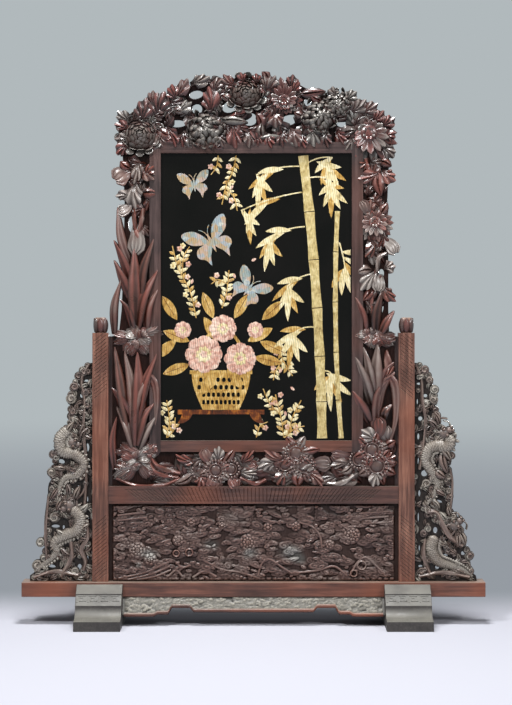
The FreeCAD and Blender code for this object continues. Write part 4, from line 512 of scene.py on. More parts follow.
class Relief:
    """Heights cut into a board's face on a grid, 0 at its ground to 1 at its highest."""

    def __init__(self, x: Array, z: Array, seed: int) -> None:
        """Starts with a flat ground.

        Args:
            x: X of the grid's columns, in metres.
            z: Z of its rows.
            seed: seed of the scattered clouds.
        """
        self.x, self.z = np.meshgrid(x, z)
        self.height = np.full(self.x.shape, 0.10)
        self.chance = np.random.default_rng(seed)

    def raise_to(self, body: Array) -> None:
        """Raises the ground where a body stands higher."""
        self.height = np.maximum(self.height, body)

    def lump(self, x: float, z: float, wide: float, tall: float, turn: float, top: float,
             winds: float) -> None:
        """A cloud or scale with a crisp edge and a groove that winds in.

        Args:
            x: its middle.
            z: its middle.
            wide: half width.
            tall: half height.
            turn: slant in radians.
            top: height of its middle.
            winds: turns of its groove.
        """
        u, v = spun(self.x - x, self.z - z, -turn)
        u, v = u / wide, v / tall
        d = np.sqrt(u * u + v * v)
        groove = 0.5 + 0.5 * np.cos(2 * np.pi * winds * d + np.arctan2(v, u))
        body = top * (np.clip(1 - d * d, 0, 1) ** 0.35 - 0.38 * groove * np.clip(1.3 - d, 0, 1))
        self.raise_to(np.where(d < 1, body, 0))

    def bloom(self, x: float, z: float, radius: float, petals: int, rows: int, top: float) -> None:
        """A flower of overlapping rows of petals.

        Args:
            x: its middle.
            z: its middle.
            radius: its radius.
            petals: petals in a row.
            rows: rows of petals.
            top: height of its middle.
        """
        d = np.hypot(self.x - x, self.z - z) / radius
        angle = np.arctan2(self.z - z, self.x - x)
        row = np.floor(d * rows)
        scallop = np.abs(np.cos(petals / 2 * angle + row * np.pi / 2)) ** 0.6
        step = (d * rows) % 1
        body = top * (1 - 0.45 * d * d) * (0.45 + 0.55 * scallop * (1 - step ** 3))
        self.raise_to(np.where(d < 1, body, 0))

    def ridge(self, path: Sequence[Pixel], width: float, top: float) -> None:
        """A raised line along pixels of the photograph.

        Args:
            path: pixels along it.
            width: half width in metres.
            top: height of its crest.
        """
        line = smooth_path(path, 24)
        for (x0, z0), (x1, z1) in zip(line, line[1:]):
            t = ((self.x - x0) * (x1 - x0) + (self.z - z0) * (z1 - z0)) / ((x1 - x0) ** 2 + (z1 - z0) ** 2)
            t = np.clip(t, 0, 1)
            gap = np.hypot(self.x - x0 - t * (x1 - x0), self.z - z0 - t * (z1 - z0)) / width
            self.raise_to(np.where(gap < 1, top * np.sqrt(np.clip(1 - gap * gap, 0, 1)), 0))

    def clouds(self, count: int, wide: tuple, tall: tuple, top: tuple, slant: float) -> None:
        """Scatters clouds over the whole field.

        Args:
            count: how many.
            wide: least and most half width.
            tall: least and most half height.
            top: least and most height.
            slant: most slant in radians.
        """
        pick = self.chance.uniform
        for _ in range(count):
            x, z = pick(self.x.min(), self.x.max()), pick(self.z.min(), self.z.max())
            self.lump(x, z, pick(*wide), pick(*tall), pick(-slant, slant), pick(*top), pick(0.8, 1.8))

    def shape(self, front: Array, rear: Array) -> Shape:
        """The closed piece between a front grid and a rear of the same rim.

        Args:
            front: points of the front, by row and column.
            rear: points of the rear's rim and inside, on the same grid.

        Returns:
            The shape; its rear is one face.
        """
        rows, columns = self.x.shape
        index = np.arange(rows * columns).reshape(rows, columns)
        quads = np.stack([index[:-1, :-1], index[:-1, 1:], index[1:, 1:], index[1:, :-1]], 2).reshape(-1, 4)
        rim = np.concatenate([index[0, :-1], index[:-1, -1], index[-1, :0:-1], index[:0:-1, 0]])
        base = rows * columns + np.arange(len(rim))
        walls = np.stack([rim, base, np.roll(base, -1), np.roll(rim, -1)], 1)
        points = np.concatenate([front.reshape(-1, 3), rear.reshape(-1, 3)[rim]])
        # Painted shading: a highlight on the heights and ridges, and painted shade in the hollows and on the
        # walls
        face = 0.55 * proud(self.height) + 0.45 * self.height
        wear_and_painted_shading = np.concatenate([face.ravel(), np.full(len(rim), 0.3)])
        return Shape(points, [np.concatenate([quads, walls]), base[None, ::-1]], wear_and_painted_shading)


# Carver's stock shapes, one unit long, cut once and placed many times

class Motif(Enum):
    """The stock shapes that the carving repeats."""

    LEAF = "leaf"
    FAN = "fluted lobed leaf"
    BLADE = "sword leaf"
    PETAL = "spoon petal"
    RAY = "long ray petal"
    SCALE = "broad scale petal"
    RUFFLE = "ruffled petal"
    STEM = "stem"
    BUD = "bud"
    SCROLL = "tapered scroll"
    BODY = "scaled body"
    KNOB = "knob"
    BEAD = "bead"


def rounded(v: Array, share: float) -> Array:
    """A round back across a petal, which keeps some height at its sides where share is under 1."""
    return np.sqrt(np.clip(1 - share * v ** 2, 0, 1))


def blunt(u: Array, power: float, least: float) -> Array:
    """A width that closes to a blunt tip, the later the higher the power, and to no less than a share."""
    return np.sqrt(np.clip(1 - u ** power, least, 1))


def leaf_surface(u: Array, v: Array) -> tuple:
    """A pointed leaf with a sunk midrib and side veins.

    Args:
        u: shares of the length, 0 at the foot.
        v: places across, -1 to 1.

    Returns:
        x, y and z.
    """
    w = 0.5 * np.sin(np.pi * (0.03 + 0.955 * u ** 0.85)) ** 0.8 * (1 + 0.07 * np.cos(8 * np.pi * u))
    dome = (1 - v ** 2) * np.sin(np.pi * (0.08 + 0.87 * u)) ** 0.6
    z = 0.85 * dome - 0.75 * np.exp(-(v / 0.16) ** 2) * (0.25 + dome) * (1 - 0.5 * u)
    z += 0.12 * np.cos(2 * np.pi * (4.5 * u - 1.2 * np.abs(v))) * dome
    return u, v * w, z - 0.25 * u ** 2


def fan_surface(u: Array, v: Array) -> tuple:
    """A lobed leaf with deep flutes that spread from its foot.

    Args:
        u: shares of the length, 0 at the foot.
        v: places across, -1 to 1.

    Returns:
        x, y and z.
    """
    flute = np.cos(3.5 * np.pi * v + 0.5 * np.pi * np.abs(v))
    reach = u * (0.94 + 0.06 * flute * u) * (1 - 0.20 * v ** 2)
    turn = v * (0.35 + 0.75 * np.sqrt(np.clip(u, 0, 1)))
    z = 0.75 * np.sin(np.pi * (0.06 + 0.80 * u)) * (1 - 0.30 * v ** 2) + 0.30 * np.sqrt(u) * flute
    return reach * np.cos(turn), reach * np.sin(turn) * 0.62, z


def blade_surface(u: Array, v: Array) -> tuple:
    """A sword leaf with a round back, a creased middle and a drawn-out tip.

    Args:
        u: shares of the length, 0 at the foot.
        v: places across, -1 to 1.

    Returns:
        x, y and z.
    """
    w = 0.5 * (0.62 + 0.38 * np.sin(np.pi * np.clip(u / 0.85, 0, 1))) * blunt(u, 3.2, 0.004)
    z = 0.9 * rounded(v, 0.92) - 0.42 * np.exp(-((v - 0.12) / 0.22) ** 2) * (1 - 0.6 * u)
    return u, v * w, z * (0.45 + 0.55 * np.sin(np.pi * (0.15 + 0.7 * u)))


def petal_surface(u: Array, v: Array) -> tuple:
    """A round-backed spoon petal."""
    w = 0.5 * np.sin(np.pi * (0.14 + 0.845 * u)) ** 0.6
    return u, v * w, 0.60 * np.sin(np.pi * (0.10 + 0.82 * u)) * rounded(v, 0.96) + 0.10 * u ** 2


def ray_surface(u: Array, v: Array) -> tuple:
    """A long petal with a groove down its middle and a rounded tip.

    Args:
        u: shares of the length, 0 at the foot.
        v: places across, -1 to 1.

    Returns:
        x, y and z.
    """
    w = 0.5 * (0.45 + 0.55 * np.sin(np.pi * 0.5 * np.clip(u / 0.7, 0, 1))) * blunt(u, 7, 0.03)
    groove = np.exp(-(v / 0.28) ** 2) * np.sin(np.pi * (0.2 + 0.7 * u))
    return u, v * w, 0.55 * rounded(v, 0.9) - 0.40 * groove


def scale_surface(u: Array, v: Array) -> tuple:
    """A broad petal with a round rim that curls a little outward."""
    w = 0.5 * np.minimum(1, 0.72 + 0.5 * u) * blunt(np.clip((u - 0.35) / 0.68, 0, 1), 2.6, 0.02)
    return u, v * w, 0.22 * np.sin(np.pi * u) * (1 - 0.6 * v ** 2) + 0.12 * u ** 3


def ruffle_surface(u: Array, v: Array) -> tuple:
    """A petal that spreads and waves at its rim.

    Args:
        u: shares of the length, 0 at the foot.
        v: places across, -1 to 1.

    Returns:
        x, y and z.
    """
    spread = 0.30 + 0.70 * np.sin(np.pi * 0.5 * np.clip(u * 1.2, 0, 1))
    w = 0.5 * spread * np.sqrt(np.clip(1 - 0.93 * u ** 7, 0.03, 1))
    z = 0.50 * np.sin(np.pi * (0.05 + 0.75 * u)) * (1 - 0.5 * v ** 2)
    z += 0.22 * u ** 1.5 * np.cos(4.2 * np.pi * v) - 0.30 * np.exp(-(v / 0.12) ** 2) * (1 - u)
    return u, v * w, z


def scaled_radius(u: Array, turn: Array) -> Array:
    """A dragon's body: overlapping scales on its back and sides, a rounded start and a taper to the tail.

    Args:
        u: shares of the length, 0 at the foot.
        turn: angles round it.

    Returns:
        The radius.
    """
    neck = (0.80 + 0.20 * np.clip(u / 0.12, 0, 1)) * np.sqrt(np.clip(u / 0.04, 0.01, 1))
    row = u * 56
    cell = turn / (2 * np.pi) * 10 + 0.5 * (np.floor(row) % 2)
    scale = (1 - (row % 1)) * np.abs(np.sin(np.pi * cell))
    return 0.5 * (1 - 0.80 * u ** 2.2) * neck * (0.88 + 0.22 * scale)


def stem_radius(u: Array, turn: Array) -> Array:
    """A round stem with a shallow twist."""
    return 0.46 + 0.06 * np.cos(3 * turn + 9 * u)


def bud_radius(u: Array, turn: Array) -> Array:
    """A closed bud wound like a rope."""
    return 0.5 * np.sin(np.pi * (0.06 + 0.90 * u ** 0.8)) ** 0.7 * (0.88 + 0.14 * np.cos(3 * turn + 8 * u))


def scroll_radius(u: Array, turn: Array) -> Array:
    """A roll that swells from a thin tail."""
    return 0.5 * (0.30 + 0.70 * u ** 0.7) * (1 - 0.25 * np.clip((u - 0.9) / 0.1, 0, 1)) + 0 * turn


def knob_radius(u: Array, turn: Array) -> Array:
    """A round knob."""
    return 0.5 * np.sqrt(np.clip(1 - (2 * u - 1) ** 2, 0.02, 1)) + 0 * turn


class Stock:
    """Cuts each stock shape once, and coarse cuts of those that fill the ground."""

    def __init__(self) -> None:
        """Cuts them all."""
        self.shapes = {
            Motif.LEAF: sheet(12, 8, leaf_surface, 0.10),
            Motif.FAN: sheet(7, 18, fan_surface, 0.08),
            Motif.BLADE: sheet(18, 8, blade_surface, 0.06),
            Motif.PETAL: sheet(5, 5, petal_surface, 0.12, tip=0.50, rubbed=0.22),
            Motif.RAY: sheet(6, 5, ray_surface, 0.10, tip=0.40, rubbed=0.10),
            Motif.RUFFLE: sheet(6, 12, ruffle_surface, 0.08),
            Motif.SCALE: sheet(5, 5, scale_surface, 0.14, tip=0.45, rubbed=0.30),
            Motif.STEM: tube(20, 8, stem_radius),
            Motif.BUD: tube(18, 14, bud_radius),
            Motif.SCROLL: tube(24, 7, scroll_radius),
            Motif.BODY: tube(224, 24, scaled_radius),
            Motif.KNOB: tube(8, 14, knob_radius),
            Motif.BEAD: tube(6, 8, knob_radius),
        }
        self.coarse = {
            Motif.LEAF: sheet(7, 4, leaf_surface, 0.10),
            Motif.FAN: sheet(4, 14, fan_surface, 0.08),
            Motif.SCROLL: tube(20, 6, scroll_radius),
            Motif.KNOB: self.shapes[Motif.BEAD],
        }
        # Painted highlight on the crown of each knob and bead, and painted shade at its base
        for motif in (Motif.KNOB, Motif.BEAD):
            self.shapes[motif].wear_and_painted_shading = 0.85 * self.shapes[motif].points[:, 0] ** 1.5

    def cut(self, motif: Motif, coarse: bool = False) -> Shape:
        """One stock shape, or its coarse cut for the ground where it has one."""
        return self.coarse.get(motif, self.shapes[motif]) if coarse else self.shapes[motif]


@dataclass(frozen=True)
class Ring:
    """A ring of petals round a flower's middle.

    Start, length and width are shares of the flower's radius, and tilt is in radians. Base and relief are
    metres: the height of the petals' feet, and a unit of their own relief. Phase turns the ring by a share of
    one petal.
    """

    motif: Motif
    count: int
    start: float
    length: float
    width: float
    tilt: float
    base: float
    relief: float
    phase: float = 0.0


@dataclass(frozen=True)
class Dome:
    """A dome of petals.

    Rows hold the polar angle in degrees, the petals, their length and width as shares of the radius, and the
    tone. The height, a unit of the petals' relief and the rise of their tips off the dome are metres. Nod
    turns the crown upward and stray is how far petals turn aside, both in radians.
    """

    motif: Motif
    rows: tuple[tuple, ...]
    height: float
    relief: float
    rise: float
    nod: float
    stray: float = 0.0


@dataclass(frozen=True)
class Ground:
    """Small overlapping leaves between a web's large ones.

    Pitch, length, rim, top and bottom are pixels: the leaves' spacing and length, what stays bare round a
    hole, and the rows that are filled. Worn is the share of the stock shapes' wear and painted shading, lower
    for a ground darkened with painted shade. Relief and lift are metres: a unit of the leaves' own relief, and
    the height of their feet.
    """

    web: Web
    motifs: tuple[Motif, ...]
    pitch: float
    length: float
    top: float = 0.0
    bottom: float = IMAGE[1]
    worn: float = 1.0
    rim: float = 2.0
    relief: float = 0.008
    lift: float = 0.008


ROSETTE_ROWS = ((102, 13, 0.42, 0.50, 0.95), (88, 14, 0.36, 0.46, 0.80), (74, 13, 0.34, 0.44, 0.72),
                (60, 11, 0.32, 0.42, 0.70), (47, 9, 0.30, 0.40, 0.70), (34, 7, 0.28, 0.37, 0.75),
                (22, 6, 0.24, 0.30, 0.8), (10, 3, 0.22, 0.28, 0.85))
CURLED_ROWS = ((86, 13, 0.48, 0.33, 0.95), (72, 12, 0.50, 0.32, 0.80), (58, 10, 0.50, 0.31, 0.95),
               (44, 8, 0.48, 0.30, 0.80), (28, 6, 0.44, 0.29, 0.90), (12, 3, 0.36, 0.28, 0.95))
ROSETTE = Dome(Motif.SCALE, ROSETTE_ROWS, height=0.0145, relief=0.013, rise=0.0095, nod=0.45)
DAISY_RAYS = (Ring(Motif.RAY, 18, 0.18, 0.86, 0.34, 0.02, 0.003, 0.0075),
              Ring(Motif.RAY, 15, 0.12, 0.62, 0.30, 0.24, 0.006, 0.0070, 0.5))
DAISY_CROWN = (Ring(Motif.PETAL, 9, 0.05, 0.30, 0.18, 0.70, 0.008, 0.005, 0.2),
               Ring(Motif.PETAL, 5, 0.02, 0.18, 0.12, 1.15, 0.009, 0.004, 0.2))
DISC_LEAVES = Ring(Motif.LEAF, 9, 0.50, 1.25, 0.95, 0.0, 0.0, 0.010, 0.3)
DISC_RUFFLE = Ring(Motif.RUFFLE, 11, 0.70, 0.56, 0.55, 0.0, 0.0, 0.005, 0.3)
SPRAY_BLOSSOM = Ring(Motif.PETAL, 5, 0.4, 2.7, 2.6, 0.0, 0.0, 0.0018)
BLADE_LAY = Lay(0.0085, 0.010, 0.0185, 0.006)
FOLDED_LAY = Lay(0.0100, 0.015, 0.015, 0.006, 0.35)


class Carver:
    """Puts leaves, flowers and scrolls on the front of a block, with their twins on its back."""

    def __init__(self, stock: Stock, seed: int) -> None:
        """Takes the stock shapes and a seed for the small irregularities of hand work."""
        self.stock = stock
        self.chance = np.random.default_rng(seed)

    def run(self, block: Block, motif: Motif, path: Sequence[Pixel], width: float, lay: Lay,
            tone: float | None = None, worn: float = 1.0, coarse: bool = False) -> None:
        """Lays a stock shape along a line of pixels.

        Args:
            block: where it goes.
            motif: which stock shape.
            path: pixels from foot to tip.
            width: width in pixels.
            lay: how it lies on the board.
            tone: how red and worn the wood is; a chance value if not given.
            worn: share of the stock shape's wear and painted shading; under 1 darkens it with painted shade.
            coarse: whether it takes the ground's coarse cut.
        """
        tone = self.chance.uniform(0.2, 0.9) if tone is None else tone
        shape = along_path(self.stock.cut(motif, coarse), smooth_path(path), width * PIXEL, lay)
        shape.wear_and_painted_shading = shape.wear_and_painted_shading * worn
        block.add(shape, tone)

    def leaf(self, block: Block, row: tuple, motif: Motif = Motif.LEAF) -> None:
        """One leaf from a table row.

        Args:
            block: where it goes.
            row: foot x, y, tip x, y and width in pixels.
            motif: which stock shape.
        """
        x0, y0, x1, y1, width = row
        pick = self.chance.uniform
        bow = pick(-0.14, 0.14)
        middle = ((x0 + x1) / 2 + bow * (y1 - y0), (y0 + y1) / 2 - bow * (x1 - x0))
        lay = Lay(0.0105, pick(0.010, 0.014), pick(0.017, 0.0225), belly=0.004, twist=pick(-0.3, 0.3))
        self.run(block, motif, [(x0, y0), middle, (x1, y1)], width * 1.12, lay)

    def blade(self, block: Block, path: Sequence[Pixel], width: float) -> None:
        """One sword leaf, tilted to one side or the other.

        Args:
            block: where it goes.
            path: pixels of its foot, bend and tip.
            width: width in pixels.
        """
        twist = self.chance.choice([-0.55, 0.55]) + self.chance.uniform(-0.1, 0.1)
        tone = self.chance.uniform(0.15, 0.75)
        self.run(block, Motif.BLADE, path, width * 1.35, replace(BLADE_LAY, twist=twist), tone)

    def petals(self, spot: Spot, radius: float, ring: Ring, lean: Pixel = (0.0, 0.0)) -> None:
        """One ring of petals round a flower's middle.

        Args:
            spot: where the flower stands.
            radius: the flower's radius in pixels.
            ring: the petals.
            lean: right and up, how much longer petals on that side look.
        """
        shape, pick = self.stock.cut(ring.motif), self.chance.uniform
        for i in range(ring.count):
            angle = (i + ring.phase + pick(-0.12, 0.12)) * 2 * math.pi / ring.count
            grow = 1 + lean[0] * math.cos(angle) + lean[1] * math.sin(angle)
            wide = radius * ring.width * PIXEL * pick(0.9, 1.1)
            size = np.array([radius * ring.length * PIXEL * grow, wide, ring.relief])
            points = turned(shape.points * size, 0.0, ring.tilt + pick(-0.06, 0.06))
            points[:, 0] += radius * ring.start * PIXEL
            points[:, 2] += ring.base
            spot.block.add(shape.moved(spot.placed(turned(points, angle, 0.0))), pick(0.3, 0.8))

    def domed(self, spot: Spot, radius: float, dome: Dome) -> None:
        """Rows of petals that climb a dome and close over its crown.

        Args:
            spot: where the flower stands.
            radius: the dome's radius in pixels.
            dome: its petals and height.
        """
        shape, reach, pick = self.stock.cut(dome.motif), radius * PIXEL, self.chance.uniform
        x, y, z = shape.points.T
        for polar_angle, count, long, wide, tone in dome.rows:
            start = pick(0, 1)
            for i in range(count):
                turn = (i + start + pick(-0.1, 0.1)) * 2 * math.pi / count
                theta = math.radians(polar_angle + pick(-3, 3))
                ring = np.array([math.cos(turn), math.sin(turn), 0.0])
                foot = ring * reach * math.sin(theta) + (0, 0, dome.height * max(math.cos(theta), -0.1))
                grow = -ring * reach * math.cos(theta) + (0, 0, dome.height * math.sin(theta))
                grow /= np.linalg.norm(grow)
                face = ring * dome.height * math.sin(theta) + (0, 0, reach * math.cos(theta))
                face /= np.linalg.norm(face)
                face -= grow * (face @ grow)
                face /= np.linalg.norm(face)
                side, aside = np.cross(face, grow), pick(-dome.stray, dome.stray)
                side, grow = spun(side, grow, aside)
                points = (foot + np.outer(x * reach * long, grow) + np.outer(y * reach * wide, side)
                          + np.outer(z * dome.relief + x * x * dome.rise, face))
                up, out = points[:, 1].copy(), points[:, 2].copy()
                points[:, 1] = up * math.cos(dome.nod) + out * math.sin(dome.nod) * 0.6
                points[:, 2] = out * math.cos(dome.nod) - up * math.sin(dome.nod) * 0.35
                points[:, 2] = np.maximum(points[:, 2], -spot.lift)
                spot.block.add(shape.moved(spot.placed(points)), tone + pick(-0.08, 0.08))

    def ground(self, block: Block, ground: Ground) -> None:
        """Fills a web's ground with small overlapping leaves, clear of its holes.

        Args:
            block: where they go.
            ground: the leaves and their field.
        """
        pick, pitch, lift, number = self.chance.uniform, ground.pitch, ground.lift, 0
        xs, ys = zip(*ground.web.outline)
        rows = np.arange(max(min(ys), ground.top), min(max(ys), ground.bottom), pitch)
        for y, x in product(rows, np.arange(min(xs), max(xs), pitch)):
            middle = (x + pick(-0.4, 0.4) * pitch, y + pick(-0.4, 0.4) * pitch)
            way = pick(0, 2 * math.pi)
            size = ground.length * pick(0.75, 1.25)
            foot, tip = polar(middle, -size / 2, way), polar(middle, size / 2, way)
            if not all(ground.web.clear(*pixel, ground.rim) for pixel in (foot, tip, middle)):
                continue
            number += 1
            motif = ground.motifs[number % len(ground.motifs)]
            if motif is Motif.SCROLL:
                self.scroll(Spot(block, middle, lift), size * 0.45, 1 if number % 2 else -1, coarse=True)
                continue
            bow = pick(-0.25, 0.25) * size
            bend = (middle[0] - bow * math.sin(way), middle[1] + bow * math.cos(way))
            lay = Lay(ground.relief, lift, lift + 0.005, belly=0.003, twist=pick(-0.4, 0.4))
            width = size * (0.85 if motif is Motif.FAN else 0.5)
            self.run(block, motif, [foot, bend, tip], width, lay, pick(0.2, 0.9), ground.worn, True)

    def rosette(self, spot: Spot, radius: float) -> None:
        """A full chrysanthemum: rows of cupped petals that close over a dome."""
        self.knob(spot, radius * 0.6, 0.008, 0.0)
        self.domed(spot, radius * 0.9, ROSETTE)

    def curled(self, spot: Spot, radius: float) -> None:
        """A shaggy chrysanthemum: many finger petals hooking in on each other.

        Args:
            spot: where it stands.
            radius: radius in pixels.
        """
        reach = radius * PIXEL
        self.knob(spot, radius * 0.6, reach * 0.13, 0.0)
        shaggy = Dome(Motif.PETAL, CURLED_ROWS, height=reach * 0.20, relief=reach * 0.24, rise=reach * 0.22,
                      nod=0.25, stray=0.55)
        self.domed(spot, radius * 0.98, shaggy)

    def daisy(self, spot: Spot, radius: float, lean: Pixel) -> None:
        """An open flower with two layers of long fluted petals round a small crown.

        Args:
            spot: where it stands.
            radius: radius in pixels.
            lean: right and up, how much longer petals on that side look.
        """
        self.knob(spot, radius * 0.5, radius * PIXEL * 0.26)
        for ring in DAISY_RAYS:
            self.petals(spot, radius, ring, lean)
        for ring in DAISY_CROWN:
            self.petals(spot, radius, ring)

    def disc(self, spot: Spot, radius: float, petals: int) -> None:
        """A flower with a flat button in a ring of beads, and broad petals behind it.

        Args:
            spot: where it stands.
            radius: radius of its bead ring in pixels.
            petals: broad petals behind it; none for 0.
        """
        if petals:
            self.petals(spot, radius, replace(DISC_LEAVES, count=petals))
        self.petals(spot, radius, DISC_RUFFLE)
        self.knob(spot, radius * 1.04, 0.0045, 0.35, 0.45)
        count = int(radius * 2.0)
        turns = [2 * math.pi * i / count for i in range(count + 1)]
        for turn in turns[1:]:
            bead = Spot(spot.block, polar(spot.centre, 0.98 * radius, turn), spot.lift + 0.0035)
            self.knob(bead, math.pi * radius / count, 0.0045, 0.65, 0.78)
        line = [polar(spot.centre, 0.64 * radius, turn) for turn in turns]
        lift = spot.lift + 0.0040
        self.run(spot.block, Motif.STEM, line, 1.5, Lay(0.005, lift, lift), tone=0.65, worn=0.75)
        self.knob(spot, radius * 0.56, 0.0075, 0.68, 0.62)

    def knob(self, spot: Spot, radius: float, height: float, tone: float = 0.3, worn: float = 1.0) -> None:
        """A low round knob, such as the one that carries a flower's petals.

        Args:
            spot: where it stands.
            radius: radius in pixels.
            height: rise above its base, in metres.
            tone: how red and worn the wood is.
            worn: share of the stock shape's wear and painted shading; under 1 darkens it with painted shade.
        """
        knob = self.stock.cut(Motif.KNOB, coarse=radius < 2.6)
        x, y, z = knob.points.T
        wide = 2 * radius * PIXEL
        shape = knob.moved(spot.placed(np.stack([y * wide, z * wide, (x - 0.5) * 2 * height], 1)))
        shape.wear_and_painted_shading = shape.wear_and_painted_shading * worn
        spot.block.add(shape, tone)

    def scroll(self, spot: Spot, radius: float, hand: int, coarse: bool = False) -> None:
        """A cloud scroll: a roll that winds in to a knob.

        Args:
            spot: where it stands.
            radius: radius in pixels.
            hand: 1 winds one way, -1 the other.
            coarse: whether it takes the ground's coarse cut.
        """
        start = self.chance.uniform(0, 2 * math.pi)
        path = [polar(spot.centre, radius * (0.78 - 0.55 * s), start + hand * s * 3.0 * math.pi)
                for s in np.linspace(0, 1, 13)]
        tone = self.chance.uniform(0.2, 0.9)
        self.knob(spot, radius * 0.80, 0.0040, tone)
        lay = Lay(0.0130, spot.lift, spot.lift + 0.004)
        self.run(spot.block, Motif.SCROLL, path, radius * 0.46, lay, tone, coarse=coarse)


# Finishes

def put(tree: NodeTree, kind: str, inputs: dict | Sequence = (), out: str | int = 0, stops: Sequence = (),
        **settings: object) -> NodeSocket:
    """Adds a node with its settings and links.

    Args:
        tree: the material's node tree.
        kind: node type without its ShaderNode prefix.
        inputs: value or socket for each input, in order or by name or number.
        out: the output that is wanted, by name or number.
        stops: position and hex colour of each stop, where the node is a ramp.
        settings: the node's own properties.

    Returns:
        The wanted output.
    """
    node = tree.nodes.new("ShaderNode" + kind)
    for key, value in settings.items():
        setattr(node, key, value)
    for key, value in inputs.items() if isinstance(inputs, dict) else enumerate(inputs):
        if isinstance(value, NodeSocket):
            tree.links.new(value, node.inputs[key])
        else:
            node.inputs[key].default_value = value
    for _ in stops[2:]:
        node.color_ramp.elements.new(0.5)
    for i, (position, code) in enumerate(stops):
        element = node.color_ramp.elements[i]
        element.position, element.color = position, linear(code)
    return node.outputs[out]


def spread(hues: Sequence[str]) -> list[tuple[float, str]]:
    """Ramp stops at even spacing."""
    return [(i / (len(hues) - 1), hue) for i, hue in enumerate(hues)]


class Coat:
    """A material under way: its node tree, its shader, and each point's place on the object in metres."""

    def __init__(self, name: str) -> None:
        """Starts the material.

        Args:
            name: the material's name.
        """
        self.material = bpy.data.materials.new(name)
        self.material.use_nodes = True
        self.tree = self.material.node_tree
        self.shader = self.tree.nodes["Principled BSDF"]
        self.spot = put(self.tree, "TexCoord", out="Object")

    def wired(self, sockets: dict[str, NodeSocket]) -> Material:
        """Links sockets to the shader's inputs of those names.

        Args:
            sockets: what each input gets.

        Returns:
            The finished material.
        """
        for name, socket in sockets.items():
            self.tree.links.new(socket, self.shader.inputs[name])
        return self.material


class Grain(Enum):
    """Which way a board's grain runs: the axes' stretch of its pattern."""

    UP = (1.0, 1.0, 0.05)
    ACROSS = (0.05, 1.0, 1.0)
    DEEP = (1.0, 0.05, 1.0)


@dataclass(frozen=True)
class CarvedWood:
    """Rosewood in relief: painted shade that blackens its recesses, leaves of brown, red or dusty grey, painted
    highlight with wear on their ridges, and wax on the heights.
    """

    name: str = "carved_rosewood"
    hues: tuple[str, ...] = ("#241a18", "#3b2623", "#552c27", "#4c403c", "#66625d")
    # Depths from the board's middle over which the painted shade of the recesses fades out, in metres
    deepest: float = 0.004
    highest: float = 0.030
    gloss: float = 0.27
    wax: float = 0.35
    patch_mm: float = 60.0
    fibre_mm: float = 2.5

    def made(self) -> Material:
        """Builds the material.

        Returns:
            The finished material.
        """
        coat = Coat(self.name)
        tree, spot = coat.tree, coat.spot
        # Painted shade: the nearer a point lies to the board's middle, the deeper and darker it is painted
        y = put(tree, "SeparateXYZ", (spot,), "Y")
        far = put(tree, "Math", (y,), operation="ABSOLUTE")
        depth = put(tree, "MapRange", (far, self.deepest, self.highest))
        patch = put(tree, "TexNoise", {"Vector": spot, "Scale": 1000 / self.patch_mm, "Detail": 4.0})
        along = put(tree, "Mapping", {0: spot, 3: (1, 1, 0.12)})
        fibre = put(tree, "TexNoise", {"Vector": along, "Scale": 1000 / self.fibre_mm, "Detail": 3.0})
        # Each leaf's hue: its own tone, dustier in patches, and greyer on its ridges with the wear and painted
        # highlight
        tone, wear_and_painted_shading = (put(tree, "Attribute", out="Fac", attribute_name=name) for name in ("tone", "wear_and_painted_shading"))
        for pattern, share in ((patch, 0.45), (wear_and_painted_shading, 0.35)):
            tone = put(tree, "Math", (pattern, share, tone), operation="MULTIPLY_ADD")
        tone = put(tree, "Math", (tone, 0.38), operation="SUBTRACT")
        hue = put(tree, "ValToRGB", (tone,), stops=spread(self.hues))
        # How light: painted shade darkens the grooves and deep places, and wear with painted highlight lightens
        # the rubbed ridges
        level = put(tree, "Math", (depth, 0.35), operation="MULTIPLY")
        for pattern, share in ((wear_and_painted_shading, 0.70), (fibre, 0.20)):
            level = put(tree, "Math", (pattern, share, level), operation="MULTIPLY_ADD")
        level = put(tree, "MapRange", (level, 0.15, 1.05))
        light = put(tree, "Math", (level, 1.7), operation="POWER")
        light = put(tree, "Math", (light, 1.55, 0.03), operation="MULTIPLY_ADD")
        colour = put(tree, "VectorMath", {0: hue, "Scale": light}, operation="SCALE")
        shine = put(tree, "MapRange", (level, 0.15, 0.6, 0.03, 0.55))
        wax = put(tree, "MapRange", (level, 0.25, 0.8, 0.0, self.wax))
        rough = put(tree, "MapRange", (patch, 0.3, 0.7, self.gloss - 0.06, self.gloss + 0.12))
        bump = put(tree, "Bump", {"Height": fibre, "Strength": 0.25, "Distance": 0.0006})
        coat.shader.inputs["Coat Roughness"].default_value = 0.17
        return coat.wired({"Base Color": colour, "Specular IOR Level": shine, "Roughness": rough,
                           "Normal": bump, "Coat Weight": wax})


